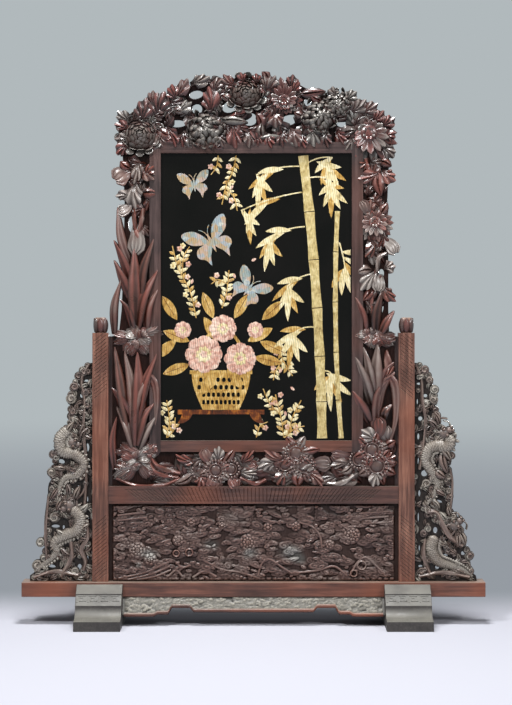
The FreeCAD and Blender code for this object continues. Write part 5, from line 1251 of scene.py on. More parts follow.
@dataclass(frozen=True)
class PlainWood:
    """Planed and waxed rosewood: fine dark streaks along the grain, and dust with painted top light where it
    faces up.
    """

    name: str
    grain: Grain
    dark: str = "#2b1a15"
    body: str = "#5b3a2f"
    light: str = "#8b614f"
    worn: str = "#8a4a2f"
    # Colour and share of the dust with painted top light on what faces up
    dust_and_top_light_hue: str = "#8d897d"
    dusty: float = 0.35
    rubbing: float = 0.55
    gloss: float = 0.42
    streak_mm: float = 9.0
    fibre_mm: float = 1.6
    patch_mm: float = 90.0
    rubbed_mm: float = 260.0

    def made(self) -> Material:
        """Builds the material.

        Returns:
            The finished material.
        """
        coat = Coat(self.name)
        tree, spot = coat.tree, coat.spot
        along = put(tree, "Mapping", {0: spot, 3: self.grain.value})
        streak = put(tree, "TexNoise", {"Vector": along, "Scale": 1000 / self.streak_mm, "Detail": 5.0,
                                        "Distortion": 0.6})
        fibre = put(tree, "TexNoise", {"Vector": along, "Scale": 1000 / self.fibre_mm, "Detail": 3.0})
        patch = put(tree, "TexNoise", {"Vector": spot, "Scale": 1000 / self.patch_mm, "Detail": 3.0})
        level = streak
        for pattern, share in ((fibre, 0.35), (patch, 0.5)):
            level = put(tree, "Math", (pattern, share, level), operation="MULTIPLY_ADD")
        level = put(tree, "MapRange", (level, 0.55, 1.25))
        wood = put(tree, "ValToRGB", (level,), stops=spread((self.dark, self.body, self.light)))
        # Rubbed places are redder
        rubbed = put(tree, "TexNoise", {"Vector": spot, "Scale": 1000 / self.rubbed_mm, "Detail": 2.0})
        rubbed = put(tree, "MapRange", (rubbed, 0.48, 0.75, 0.0, self.rubbing))
        wood = put(tree, "Mix", {0: rubbed, 6: wood, 7: linear(self.worn)}, 2, data_type="RGBA")
        # Dust, with painted top light, lies in patches on what faces up
        up = put(tree, "SeparateXYZ", (put(tree, "NewGeometry", out="Normal"),), "Z")
        dust_and_top_light = put(tree, "MapRange", (up, 0.15, 0.9, 0.0, self.dusty))
        dust_and_top_light = put(tree, "Math", (dust_and_top_light, patch), operation="MULTIPLY")
        dust_and_top_light = put(tree, "Math", (dust_and_top_light, 1.8), operation="MULTIPLY", use_clamp=True)
        colour = put(tree, "Mix", {0: dust_and_top_light, 6: wood, 7: linear(self.dust_and_top_light_hue)}, 2, data_type="RGBA")
        rough = put(tree, "MapRange", (streak, 0.3, 0.7, self.gloss - 0.08, self.gloss + 0.12))
        bump = put(tree, "Bump", {"Height": fibre, "Strength": 0.2, "Distance": 0.0004})
        return coat.wired({"Base Color": colour, "Roughness": rough, "Normal": bump})


@dataclass(frozen=True)
class Lacquer:
    """Polished black lacquer: near black with a faint brown cloud and a clear wavering gloss."""

    name: str = "black_lacquer"
    body: str = "#070705"
    cloud: str = "#0e0c0a"
    cloud_mm: float = 140.0
    waver_mm: float = 6.0

    def made(self) -> Material:
        """Builds the material.

        Returns:
            The finished material.
        """
        coat = Coat(self.name)
        tree, spot = coat.tree, coat.spot
        cloud = put(tree, "TexNoise", {"Vector": spot, "Scale": 1000 / self.cloud_mm, "Detail": 4.0})
        fine = put(tree, "TexNoise", {"Vector": spot, "Scale": 1000 / self.waver_mm, "Detail": 2.0})
        colour = put(tree, "ValToRGB", (cloud,), stops=((0.35, self.body), (0.75, self.cloud)))
        rough = put(tree, "MapRange", (cloud, 0.3, 0.7, 0.13, 0.20))
        bump = put(tree, "Bump", {"Height": fine, "Strength": 0.05, "Distance": 0.0003})
        coat.shader.inputs["Specular IOR Level"].default_value = 0.20
        return coat.wired({"Base Color": colour, "Roughness": rough, "Normal": bump})


@dataclass(frozen=True)
class Inlay:
    """Cut shell or bone proud of the lacquer: mottled in its own colours, finely engraved, half gloss."""

    name: str
    hues: tuple[str, ...]
    mottle_mm: float = 18.0
    line_mm: float = 3.0
    engraved_mm: float = 6.0
    cut: float = 0.65
    pieces_mm: float = 0.0
    gloss: float = 0.28
    sheen_of_shell: float = 0.0

    def made(self) -> Material:
        """Builds the material.

        Returns:
            The finished material.
        """
        coat = Coat(self.name)
        tree, spot, shader = coat.tree, coat.spot, coat.shader
        mottle = put(tree, "TexNoise", {"Vector": spot, "Scale": 1000 / self.mottle_mm, "Detail": 4.0,
                                        "Distortion": 0.8})
        slanted = put(tree, "Mapping", {0: spot, 2: (0.0, 0.6, 0.0), 3: (1.0, 1.0, 0.18)})
        line = put(tree, "TexNoise", {"Vector": slanted, "Scale": 1000 / self.line_mm, "Detail": 2.0})
        level = put(tree, "Math", (line, 0.45, mottle), operation="MULTIPLY_ADD")
        level = put(tree, "MapRange", (level, 0.45, 1.0))
        if self.pieces_mm:
            # Small pieces of shell set side by side, each in its own colour
            piece = put(tree, "TexVoronoi", {"Vector": spot, "Scale": 1000 / self.pieces_mm}, "Color")
            piece = put(tree, "SeparateXYZ", (piece,))
            level = put(tree, "Mix", {0: 0.7, 2: level, 3: piece})
        colour = put(tree, "ValToRGB", (level,), stops=spread(self.hues))
        # Engraved hair lines, a wave's narrow troughs
        wave = put(tree, "TexWave", {"Vector": slanted, "Scale": 314 / self.engraved_mm, "Distortion": 5.0,
                                     "Detail": 2.0, "Detail Scale": 1.5}, 1)
        groove = put(tree, "MapRange", (wave, 0.02, 0.14, self.cut, 0.0))
        dark = tuple(0.3 * c for c in linear(self.hues[0])[:3]) + (1.0,)
        colour = put(tree, "Mix", {0: groove, 6: colour, 7: dark}, 2, data_type="RGBA")
        bump = put(tree, "Bump", {"Height": line, "Strength": 0.3, "Distance": 0.0005})
        shader.inputs["Roughness"].default_value = self.gloss
        shader.inputs["Coat Weight"].default_value = self.sheen_of_shell
        shader.inputs["Coat Roughness"].default_value = 0.1
        return coat.wired({"Base Color": colour, "Normal": bump})


@dataclass(frozen=True)
class AgedBrass:
    """Brass screws gone dull: warm metal with brown tarnish in patches."""

    name: str = "aged_brass"
    bright: str = "#b0894a"
    tarnish: str = "#5a4426"
    patch_mm: float = 3.0

    def made(self) -> Material:
        """Builds the material.

        Returns:
            The finished material.
        """
        coat = Coat(self.name)
        tree = coat.tree
        patch = put(tree, "TexNoise", {"Vector": coat.spot, "Scale": 1000 / self.patch_mm, "Detail": 3.0})
        colour = put(tree, "ValToRGB", (patch,), stops=((0.35, self.tarnish), (0.65, self.bright)))
        rough = put(tree, "MapRange", (patch, 0.3, 0.7, 0.55, 0.30))
        coat.shader.inputs["Metallic"].default_value = 1.0
        return coat.wired({"Base Color": colour, "Roughness": rough})


class Paints:
    """Every finish of the screen, made once."""

    def __init__(self) -> None:
        """Makes them all."""
        self.carved = CarvedWood().made()
        self.border = CarvedWood(
            "carved_rosewood_dull", ("#2b1c19", "#4a2c23", "#61332a", "#614e47", "#7b736d"),
            gloss=0.32, wax=0.30).made()
        self.wing = CarvedWood(
            "carved_rosewood_dusty", ("#2d2724", "#49403b", "#5e4d46", "#70675e", "#878279"),
            deepest=0.002, highest=0.024, gloss=0.44, wax=0.15).made()
        self.relief = CarvedWood(
            "relief_rosewood", ("#382723", "#523932", "#63473e", "#695b54", "#85807a"),
            deepest=0.004, highest=0.022, gloss=0.44, wax=0.1).made()
        self.apron = CarvedWood(
            "relief_rosewood_dusty", ("#3e3933", "#4f4b42", "#5b574e", "#666258", "#736f67"),
            deepest=0.000, highest=0.020, gloss=0.5, wax=0.0).made()
        self.upright = PlainWood("rosewood_upright", Grain.UP).made()
        self.base = PlainWood("rosewood_base", Grain.ACROSS, "#2a1813", "#54342a", "#7e5040").made()
        self.level = PlainWood("rosewood_level", Grain.ACROSS, "#211412", "#412a25", "#634137").made()
        self.inner = PlainWood(
            "rosewood_inner_frame", Grain.UP, "#140c0b", "#2e1f1d", "#4f3b38", rubbing=0.2).made()
        self.inner_level = PlainWood(
            "rosewood_inner_rail", Grain.ACROSS, "#1a100f", "#332220", "#4f3833", rubbing=0.2).made()
        self.foot = PlainWood(
            "rosewood_dusty_foot", Grain.DEEP, "#1f1b1a", "#332f2d", "#494541",
            dust_and_top_light_hue="#737169", dusty=0.75, rubbing=0.0, gloss=0.5).made()
        self.lacquer = Lacquer().made()
        self.bone = Inlay("engraved_bone", ("#8f7c4f", "#cdbb88", "#dccfa6", "#ebe3c6")).made()
        self.culm = Inlay(
            "engraved_bamboo_bone", ("#776238", "#b09a62", "#c9b782", "#dccfa6"), engraved_mm=4.0).made()
        self.amber = Inlay("amber_shell", ("#6d4c1f", "#a8803a", "#c3a05c", "#dcc592")).made()
        self.tortoise = Inlay(
            "tortoiseshell", ("#1f0f07", "#5f2d10", "#a8641f"), mottle_mm=26.0, gloss=0.22, cut=0.2).made()
        self.pink = Inlay(
            "pink_shell", ("#8a5c50", "#c2927f", "#dcbba8", "#e8d8c4"), sheen_of_shell=0.3).made()
        self.pearl = Inlay(
            "mother_of_pearl", ("#5f6f74", "#8d9a96", "#a98c62", "#b39c8e", "#8a9ba2", "#d2c8b0"),
            pieces_mm=19.0, sheen_of_shell=0.5, gloss=0.2, cut=0.55).made()
        self.brass = AgedBrass().made()


def dressed(thing: Object, material: Material) -> None:
    """Gives an object one material in place of those it has."""
    thing.data.materials.clear()
    thing.data.materials.append(material)


def eased(name: str, width: float) -> None:
    """Eases a CAD node's sharp edges by live modifiers.

    Args:
        name: the node.
        width: width of the eased edge in metres.
    """
    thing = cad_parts[name]
    weld = thing.modifiers.new("weld", "WELD")
    weld.merge_threshold = 0.00002
    bevel = thing.modifiers.new("ease", "BEVEL")
    bevel.width, bevel.segments, bevel.limit_method = width, 2, "ANGLE"
    bevel.angle_limit = math.radians(35)
    bevel.harden_normals = False


def dress_nodes(names: Sequence[str], material: Material, ease: float = 0.0) -> None:
    """Finishes CAD nodes.

    Args:
        names: the nodes.
        material: their finish.
        ease: width of their eased edges in metres; 0 leaves the edges sharp.
    """
    for name in names:
        dressed(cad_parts[name], material)
        if ease:
            eased(name, ease)


# The framed panel

# Flower heads: centre x, y and radius in pixels, then the daisies' lean or the discs' broad petals
ROSETTES = ((139.5, 134, 20.5), (245.5, 92.5, 19))
CURLED = ((206, 130, 18.5), (189, 139, 9), (319, 116, 17), (338, 103, 14))
DAISIES = ((284, 100, 18, (0.0, 0.30)), (369, 133, 23, (0.2, -0.30)), (375, 222, 18, (0.0, -0.12)))
DISCS = (
    (200, 471.5, 8, 0), (231, 469.5, 8.5, 0), (215.6, 470.5, 10, 8), (285, 465, 9.5, 0),
    (303.5, 466, 10.5, 8), (296, 453.5, 11, 7), (359, 460, 9, 0), (377, 466, 12, 9), (372, 450, 11, 6),
)
# Leaves: foot x, y, tip x, y and width in pixels
CREST_LEAVES = (
    (262, 128, 256, 112, 9), (300, 94, 326, 91, 10), (158, 128, 172, 136, 11), (180, 142, 164, 141, 9),
    (340, 134, 356, 130, 11), (322, 147, 328, 130, 10), (150, 150, 158, 140, 9), (186, 136, 190, 148, 9),
    (268, 80, 262, 70, 8), (220, 120, 248, 122, 9), (304, 116, 294, 112, 8), (322, 100, 310, 94, 8),
    (232, 100, 222, 96, 8), (172, 110, 186, 113, 8), (226, 142, 214, 148, 8), (262, 140, 262, 122, 9),
)
# Fluted leaves of the crest: foot x, y, tip x, y and width in pixels
CREST_FANS = (
    (140, 122, 146, 97, 22), (158, 117, 165, 91, 22), (176, 100, 171, 84, 16), (176, 98, 188, 78, 16),
    (190, 83, 210, 76, 15), (178, 114, 192, 102, 15), (210, 114, 208, 86, 20), (130, 121, 117, 111, 15),
    (131, 128, 114, 124, 14), (131, 138, 114, 139, 14), (130, 146, 116, 154, 15), (214, 92, 223, 78, 13),
    (236, 86, 223, 74, 13), (246, 82, 240, 72, 12), (258, 84, 256, 73, 12), (266, 92, 264, 74, 12),
    (270, 92, 276, 75, 14), (290, 90, 293, 74, 16), (294, 94, 300, 82, 13), (338, 96, 332, 86, 14),
    (346, 100, 357, 91, 14), (350, 112, 366, 99, 18), (362, 112, 378, 103, 16), (372, 120, 384, 110, 14),
    (382, 126, 395, 117, 16), (384, 137, 396, 137, 14), (384, 146, 395, 157, 15), (232, 124, 236, 149, 18),
    (276, 112, 276, 128, 16), (290, 128, 297, 147, 18), (310, 128, 314, 147, 17), (262, 142, 250, 131, 13),
    (336, 130, 345, 145, 14), (196, 136, 204, 149, 14), (166, 126, 176, 147, 14), (352, 136, 346, 150, 13),
    (184, 131, 183, 147, 13), (219, 133, 223, 147, 13), (246, 131, 249, 148, 14), (268, 133, 272, 148, 14),
    (282, 132, 283, 147, 13), (302, 133, 306, 148, 13), (324, 131, 329, 148, 14), (160, 131, 163, 147, 13),
    (361, 138, 358, 148, 11), (214, 138, 212, 149, 12), (256, 134, 258, 146, 11), (152, 106, 153, 90, 14),
)
# Leaves of the borders: foot x, y, tip x, y and width in pixels
LEFT_LEAVES = (
    (135, 182, 136, 209, 14), (131, 170, 115, 180, 14), (141, 170, 154, 180, 11), (141, 192, 158, 193, 12),
    (131, 196, 115, 196, 9), (131, 203, 118, 212, 9), (138, 160, 134, 184, 9), (130, 168, 120, 161, 9),
    (146, 178, 154, 166, 10), (135, 224, 135, 253, 12),
)
RIGHT_LEAVES = (
    (381, 171, 358, 179, 12), (378, 170, 381, 196, 12), (382, 171, 396, 181, 12), (369, 217, 361, 201, 9),
    (374, 215, 371, 199, 9), (380, 215, 388, 203, 9), (373, 238, 365, 257, 11), (383, 238, 396, 253, 10),
    (384, 268, 396, 266, 11), (372, 270, 357, 273, 11), (377, 271, 361, 291, 12), (381, 274, 378, 291, 9),
    (382, 287, 396, 302, 10), (374, 287, 363, 301, 9), (381, 381, 394, 366, 8), (388, 442, 386, 426, 10),
    (376, 441, 361, 430, 12), (386, 447, 396, 441, 9), (384, 457, 396, 456, 11), (376, 441, 378, 418, 11),
    (366, 160, 360, 168, 9), (380, 160, 392, 166, 9),
)
BOTTOM_LEAVES = (
    (197, 462, 175, 455, 8), (213, 464, 204, 449, 10), (218, 462, 219, 446, 10), (224, 464, 235, 449, 9),
    (239, 464, 254, 450, 8), (239, 467, 257, 464, 7), (238, 472, 257, 474, 7), (194, 473, 174, 484, 9),
    (199, 476, 199, 487, 10), (231, 475, 237, 487, 9), (287, 459, 264, 450, 9), (302, 452, 321, 449, 8),
    (277, 464, 258, 468, 11), (311, 465, 330, 465, 11), (284, 470, 277, 485, 12), (299, 472, 298, 487, 12),
    (307, 471, 323, 487, 10), (354, 456, 332, 455, 10), (352, 462, 330, 466, 9), (352, 466, 341, 473, 9),
    (376, 472, 373, 487, 11), (216, 478, 214, 487, 12),
)
# Ruffled iris petals: foot x, y, tip x, y and width in pixels
RUFFLES = (
    (140, 337, 112, 338, 12), (140, 336, 160, 328, 13), (136, 338, 126, 353, 12), (138, 338, 150, 353, 12),
    (136, 344, 135, 325, 9), (147, 462, 112, 471, 16), (140, 457, 160, 443, 14), (142, 455, 115, 447, 12),
    (140, 461, 153, 476, 14), (136, 464, 119, 480, 12), (374, 336, 352, 335, 12), (374, 336, 395, 341, 13),
    (372, 330, 370, 348, 11), (376, 330, 384, 346, 10),
)
# Iris flowers: centre and radius in pixels
IRISES = (((137, 338), 15), ((372, 337), 14), ((136, 460), 15), ((126, 468), 10), ((150, 452), 9))
# Buds: points along the path and width in pixels, then a unit of relief in metres
BUDS = ((((135, 226), (137, 240), (138, 252)), 10, 0.026), (((386, 376), (388, 362), (387, 350)), 9, 0.024))
# Sword leaves: foot, bend and tip, then width in pixels
BLADES = (
    ((130, 264), (121, 238), (117, 207), 8), ((134, 292), (125, 265), (114, 240), 9),
    ((134, 306), (124, 282), (114, 260), 9), ((136, 326), (135, 285), (134, 247), 14),
    ((140, 302), (143, 270), (154, 239), 9), ((137, 330), (143, 298), (158, 270), 10),
    ((146, 332), (148, 308), (158, 290), 9), ((114, 334), (114, 306), (121, 280), 7),
    ((134, 332), (128, 310), (120, 299), 8), ((134, 446), (122, 390), (114, 347), 12),
    ((137, 446), (133, 395), (124, 351), 11), ((137, 446), (139, 400), (137, 352), 13),
    ((136, 426), (143, 388), (157, 354), 10), ((131, 424), (139, 392), (152, 376), 9),
    ((136, 446), (143, 418), (155, 403), 9), ((139, 450), (146, 432), (156, 417), 8),
    ((130, 420), (121, 400), (112, 388), 10), ((134, 450), (128, 428), (116, 407), 10),
    ((114, 470), (112, 440), (116, 417), 7), ((366, 334), (363, 314), (356, 297), 8),
    ((376, 334), (377, 312), (382, 291), 10), ((381, 335), (387, 322), (395, 311), 8),
    ((372, 404), (364, 377), (356, 357), 10), ((370, 422), (361, 405), (353, 391), 10),
    ((375, 400), (376, 372), (378, 344), 13), ((374, 398), (369, 368), (364, 347), 9),
    ((376, 424), (379, 394), (391, 377), 10), ((384, 420), (386, 411), (393, 405), 7),
    ((382, 390), (386, 372), (394, 362), 9),
)
# Sword leaves that fold over: points along the path, then width in pixels
FOLDED = (
    (((143, 402), (147, 384), (151, 377), (155.5, 388), (156.5, 405), (155, 430)), 9),
    (((379, 410), (383, 388), (390, 377), (396, 390), (396, 420), (389, 448)), 10),
)
# Stems: points along the path, then width in pixels
STEMS = (
    (((135, 207), (134, 218), (135, 232)), 5), (((143, 208), (141, 222), (138, 234)), 5),
    (((377, 272), (379, 258), (387, 253)), 5), (((255, 138), (272, 136), (284, 139), (297, 146)), 5),
    (((228, 118), (240, 112), (253, 109)), 5), (((116, 478), (135, 486), (160, 486), (180, 479)), 5),
    (((150, 456), (158, 467), (180, 474)), 6), (((148, 460), (156, 473), (178, 478)), 5),
    (((366, 158), (368, 168), (374, 174)), 5), (((240, 478), (255, 484), (266, 480)), 5),
    (((326, 483), (340, 484), (354, 476)), 6), (((378, 290), (372, 300), (374, 320)), 4),
)
CREST_WEB = Web(
    outline=(
        (390, 122), (372, 104), (345, 94), (318, 95), (298, 84), (270, 79), (240, 78), (200, 82), (170, 94),
        (140, 106), (121, 122), (121, 155), (149, 155), (149, 144), (363.5, 144), (363.5, 155), (391, 155),
    ),
    holes=(
        (196, 94, 8, 5, -10), (197, 108.5, 6, 6, 0), (177, 123, 10, 4.5, 0), (230, 106, 9, 6.5, -25),
        (249.5, 118.5, 8.5, 7.5, 0), (289, 119.5, 10.5, 6, -15), (309.5, 102, 6.5, 5, 20),
        (346, 123, 10, 4.5, -5), (266, 96, 3, 5, 20),
    ),
)
# The ground's leaves reach out over the crest's ends and stop at the frame's top
CREST_FIELD = Web(
    outline=CREST_WEB.outline[:11] + (
        (113, 122), (119, 149), (149, 149), (151, 143), (361, 143), (364, 149), (393, 149),
    ),
    holes=CREST_WEB.holes,
)
LEFT_WEB = Web(
    outline=(
        (123, 154), (125, 200), (124, 260), (122, 310), (119, 336), (112.5, 337), (112.5, 486), (149, 486),
        (149, 154),
    ),
    holes=(
        (131, 224, 4, 9, 0), (129.5, 297, 3.5, 8, 0),
    ),
)
RIGHT_WEB = Web(
    outline=(
        (363.5, 154), (363.5, 486), (394.5, 486), (394.5, 337), (389, 336), (388, 310), (388, 260),
        (387, 200), (389, 154),
    ),
    holes=(
        (382, 273, 3.5, 5, 0), (382, 307, 3, 7, 0),
    ),
)
BOTTOM_WEB = Web(((149, 453), (149, 486), (363.5, 486), (363.5, 453)))
# Twigs of the inlay's fine sprays: points along each, in shares of the panel's opening
TWIGS = (
    ((0.185, 0.427), (0.154, 0.517), (0.091, 0.600), (0.060, 0.677)),
    ((0.321, 0.461), (0.347, 0.524), (0.357, 0.593)), ((0.644, 0.010), (0.629, 0.080), (0.600, 0.160)),
    ((0.660, 0.010), (0.690, 0.080), (0.735, 0.140)), ((0.648, 0.010), (0.700, 0.040), (0.752, 0.050)),
    ((0.394, 0.993), (0.378, 0.940), (0.341, 0.885), (0.321, 0.822)),
    ((0.300, 0.993), (0.292, 0.955), (0.262, 0.925)), ((0.030, 0.010), (0.045, 0.070), (0.030, 0.140)),
    ((0.036, 0.010), (0.070, 0.040), (0.075, 0.080)), ((0.345, 0.875), (0.385, 0.845), (0.400, 0.800)),
    ((0.110, 0.580), (0.120, 0.640), (0.150, 0.675)), ((0.350, 0.545), (0.300, 0.560), (0.265, 0.545)),
    ((0.625, 0.090), (0.570, 0.130), (0.535, 0.180)), ((0.500, 0.010), (0.520, 0.050), (0.560, 0.065)),
    ((0.612, 0.345), (0.640, 0.280), (0.690, 0.225)), ((0.640, 0.280), (0.600, 0.240), (0.590, 0.210)),
)
# Peonies: middle in shares of the opening, then radius in millimetres
PEONIES = (
    (0.225, 0.300, 64), (0.415, 0.285, 55), (0.325, 0.390, 47), (0.495, 0.385, 28), (0.115, 0.385, 29),
)
# Their rings of petals: count, then start, length and width as shares of the radius
PEONY_PETALS = (
    (15, 0.56, 0.42, 0.30), (12, 0.34, 0.36, 0.28), (9, 0.15, 0.30, 0.24), (5, 0.02, 0.20, 0.18),
)
# Leaves about them: root in shares of the opening, then angle in degrees; and their length in metres
PEONY_LEAVES = (
    (0.150, 0.265, 200), (0.490, 0.290, -12), (0.150, 0.345, 158), (0.275, 0.425, 112), (0.385, 0.425, 60),
    (0.085, 0.420, 122), (0.530, 0.420, 42), (0.520, 0.345, -25),
)
PEONY_LEAF_REACH = 0.096


class Board(Enum):
    """The four carved boards round the lacquer panel, by their CAD nodes."""

    CREST = "crest"
    LEFT = "left_border"
    RIGHT = "right_border"
    BOTTOM = "bottom_border"


WEBS = {Board.CREST: CREST_WEB, Board.LEFT: LEFT_WEB, Board.RIGHT: RIGHT_WEB, Board.BOTTOM: BOTTOM_WEB}
# Small leaves that fill the boards' ground, darkened with painted shade where worn is under 1
GROUNDS = (
    (Board.CREST, Ground(CREST_FIELD, (Motif.FAN,), 6.5, 17.0, top=83, worn=0.62)),
    (Board.LEFT, Ground(LEFT_WEB, (Motif.LEAF, Motif.FAN), 7.0, 16.0, top=155, bottom=235, worn=0.62)),
    (Board.RIGHT, Ground(RIGHT_WEB, (Motif.LEAF, Motif.FAN), 7.0, 16.0, top=155, bottom=310, worn=0.62)),
    (Board.RIGHT, Ground(RIGHT_WEB, (Motif.LEAF,), 7.0, 14.0, top=440, bottom=487, worn=0.62)),
    (Board.BOTTOM, Ground(BOTTOM_WEB, (Motif.FAN, Motif.LEAF), 8.0, 22.0, worn=0.55)),
)


@dataclass
class FramedPanel:
    """The framed lacquer panel: carved boards, plain frame, panel, beads and inlay."""

    carver: Carver
    paints: Paints
    web: float = 0.016
    web_bevel: float = 0.003
    lacquer: float = 0.008
    ease: float = 0.0015
    inlay_ease: float = 0.0008
    blocks: dict = field(default_factory=dict)
    blooms: Block = field(default_factory=lambda: Block("crest_flowers"))

    def board_at(self, x: float, y: float) -> Block:
        """The board that a pixel of the carving belongs to.

        Args:
            x: pixel from the left edge.
            y: pixel from the top edge.

        Returns:
            The board's block.
        """
        if y < 155:
            return self.blocks[Board.CREST]
        if x < 150 or (x < 172 and y < 455):
            return self.blocks[Board.LEFT]
        if x > 362 or (x > 345 and y < 445):
            return self.blocks[Board.RIGHT]
        return self.blocks[Board.BOTTOM]

    def webs(self) -> None:
        """Cuts the four pierced webs and fills their ground with small leaves."""
        for board, web in WEBS.items():
            block = self.blocks[board] = Block(f"{board.value}_carving")
            # The web's faces are kept dark with painted shade, as the ground behind the leaves
            face = 0.25 if board is Board.CREST else 0.32
            block.add(pierced_plate(web, self.web, self.web_bevel, face, wall=0.3), 0.35, both=False)
        for board, ground in GROUNDS:
            self.carver.ground(self.blocks[board], ground)

    def foliage(self) -> None:
        """Carves stems, sword leaves and leaves."""
        carver = self.carver
        for path, width in STEMS:
            lay = Lay(width * PIXEL, 0.012, 0.014, 0.004)
            carver.run(self.board_at(*path[0]), Motif.STEM, path, width, lay)
        for path, width in FOLDED:
            carver.run(self.board_at(*path[0]), Motif.BLADE, path, width, FOLDED_LAY, 0.6)
        for *path, width in BLADES:
            carver.blade(self.board_at(*path[0]), path, width)
        for motif, rows in ((Motif.LEAF, CREST_LEAVES), (Motif.FAN, CREST_FANS)):
            for row in rows:
                carver.leaf(self.blocks[Board.CREST], row, motif)
        motifs = cycle((Motif.FAN, Motif.RUFFLE, Motif.FAN, Motif.LEAF))
        for (*ends, width), motif in zip(LEFT_LEAVES + RIGHT_LEAVES + BOTTOM_LEAVES, motifs):
            broad = width * (1.0 if motif is Motif.LEAF else 1.35)
            carver.leaf(self.board_at(*ends[:2]), (*ends, broad), motif)

    def irises(self) -> None:
        """Carves the irises, with loose petals heaped in the middle and long folded ones, and the buds."""
        carver, pick = self.carver, self.carver.chance.uniform
        for (x, y), r in IRISES:
            for k in range(14):
                a = pick(0, 2 * math.pi)
                near, far = r * pick(0.0, 0.35), r * pick(0.65, 1.05)
                foot, tip = ((x + d * math.cos(a), y + 0.75 * d * math.sin(a)) for d in (near, far))
                height = 0.013 + 0.0006 * k
                lay = Lay(0.008, height, height, 0.004, pick(-0.5, 0.5))
                tone = pick(0.35, 1.0)
                carver.run(self.board_at(x, y), Motif.RUFFLE, [foot, tip], r * 0.62, lay, tone)
        for x0, y0, x1, y1, width in RUFFLES:
            far = math.hypot(x1 - x0, y1 - y0)
            for fold in (-1, 1, 0, -0.5, 0.5):
                dx, dy = (fold * 0.38 * width * d / far for d in (y0 - y1, x1 - x0))
                reach = pick(0.75, 1.0)
                tip = (x0 + (x1 - x0) * reach + dx, y0 + (y1 - y0) * reach + dy)
                bend = ((x0 + tip[0]) / 2 + dx * 0.5, (y0 + tip[1]) / 2)
                lay = Lay(0.008, 0.012, 0.017 - 0.003 * abs(fold), 0.005, 0.5 * fold)
                carver.run(self.board_at(x0, y0), Motif.RUFFLE, [(x0, y0), bend, tip], width * 0.72, lay)
        for path, width, relief in BUDS:
            carver.run(self.board_at(*path[0]), Motif.BUD, path, width, Lay(relief, 0.012, 0.014))

    def flowers(self) -> None:
        """Carves the flower heads."""
        carver = self.carver
        for x, y, r in ROSETTES:
            carver.rosette(Spot(self.blooms, (x, y), 0.009), r)
        for x, y, r in CURLED:
            carver.curled(Spot(self.blooms, (x, y), 0.008), r)
        for x, y, r, lean in DAISIES:
            block = self.board_at(x, y)
            block = self.blooms if block is self.blocks[Board.CREST] else block
            carver.daisy(Spot(block, (x, y)), r, lean)
        for i, (x, y, r, petals) in enumerate(DISCS):
            carver.disc(Spot(self.board_at(x, y), (x, y), 0.014 + 0.002 * (i % 3)), r, petals)

    def opened(self, across: float, up: float) -> Pixel:
        """The pixel of a place in the panel's opening.

        Args:
            across: share of the opening's width.
            up: share of its height.

        Returns:
            The pixel.
        """
        left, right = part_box("frame_left_stile")[1].x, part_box("frame_right_stile")[0].x
        low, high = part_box("frame_bottom_rail")[1].z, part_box("frame_top_rail")[0].z
        x, z = left + across * (right - left), low + up * (high - low)
        return MIDDLE_PIXEL + x / PIXEL, EYE_PIXEL + (EYE_HEIGHT - z) / PIXEL

    def sprays(self, bone: Block, amber: Block, pink: Block) -> None:
        """Sets the sprays: twigs with small leaves on both sides, and blossoms here and there.

        Args:
            bone: block of the bone.
            amber: block of the amber shell.
            pink: block of the pink shell.
        """
        carver, pick, ground = self.carver, self.carver.chance.uniform, self.lacquer + 0.0004
        twig_lay, leaf_lay = Lay(0.003, ground, ground), Lay(0.0017, ground, ground)
        for twig in TWIGS:
            path = [self.opened(*knot) for knot in twig]
            carver.run(amber, Motif.STEM, path, 1.2, twig_lay, tone=0.5)
            stops = smooth_rim(path, 5.0)
            for i, ((x, y), (x1, y1)) in enumerate(zip(stops, stops[1:])):
                way = math.atan2(y1 - y, x1 - x)
                for side in (-1, 1):
                    angle, reach = way + side * pick(0.7, 1.1), pick(5.5, 8.0)
                    tip = polar((x, y), reach, angle)
                    if i % 3 == 1 and side == (1 if i % 2 else -1):
                        carver.petals(Spot(pink if i % 2 else bone, tip, ground), 1.0, SPRAY_BLOSSOM)
                        carver.knob(Spot(amber, tip, ground), 0.9, 0.0018)
                    else:
                        block = amber if (i + side) % 3 == 0 else bone
                        carver.run(block, Motif.LEAF, [(x, y), tip], 3.2, leaf_lay, tone=0.5)

    def inlaid(self) -> list[Object]:
        """Sets the fine inlay: sprays of leaves and blossoms, the peonies' petals and their leaves' ribs.

        Returns:
            The inlay's objects, one for each material.
        """
        carver, paints, over = self.carver, self.paints, self.lacquer + 0.0020
        names = ("bone_sprays", "amber_sprays", "pink_petals", "leaf_ribs")
        bone, amber, pink, ribs = (Block(f"inlay_{name}", twins=False) for name in names)
        self.sprays(bone, amber, pink)
        for across, up, size in PEONIES:
            middle, radius = self.opened(across, up), size / 1000 / PIXEL
            for i, (count, start, length, width) in enumerate(PEONY_PETALS):
                ring = Ring(Motif.PETAL, count, start, length, width, 0.03, 0.0003 * i, 0.0016, i / 2)
                carver.petals(Spot(bone if i == 2 else pink, middle, over), radius, ring)
        for across, up, angle in PEONY_LEAVES:
            root, reach = self.opened(across, up), PEONY_LEAF_REACH / PIXEL
            path = [polar(root, share * reach, -math.radians(angle)) for share in (0.2, 0.96)]
            carver.run(ribs, Motif.STEM, path, 0.7, Lay(0.0012, over, over), tone=0.5)
        return [self.hung(bone, paints.bone), self.hung(amber, paints.amber),
                self.hung(pink, paints.pink), self.hung(ribs, paints.tortoise)]

    def hung(self, block: Block, material: Material) -> Object:
        """Ends a block as an object that rides on the framed panel.

        Args:
            block: the block.
            material: its finish.

        Returns:
            The object.
        """
        thing = block.finished()
        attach(thing, "framed_panel")
        dressed(thing, material)
        return thing

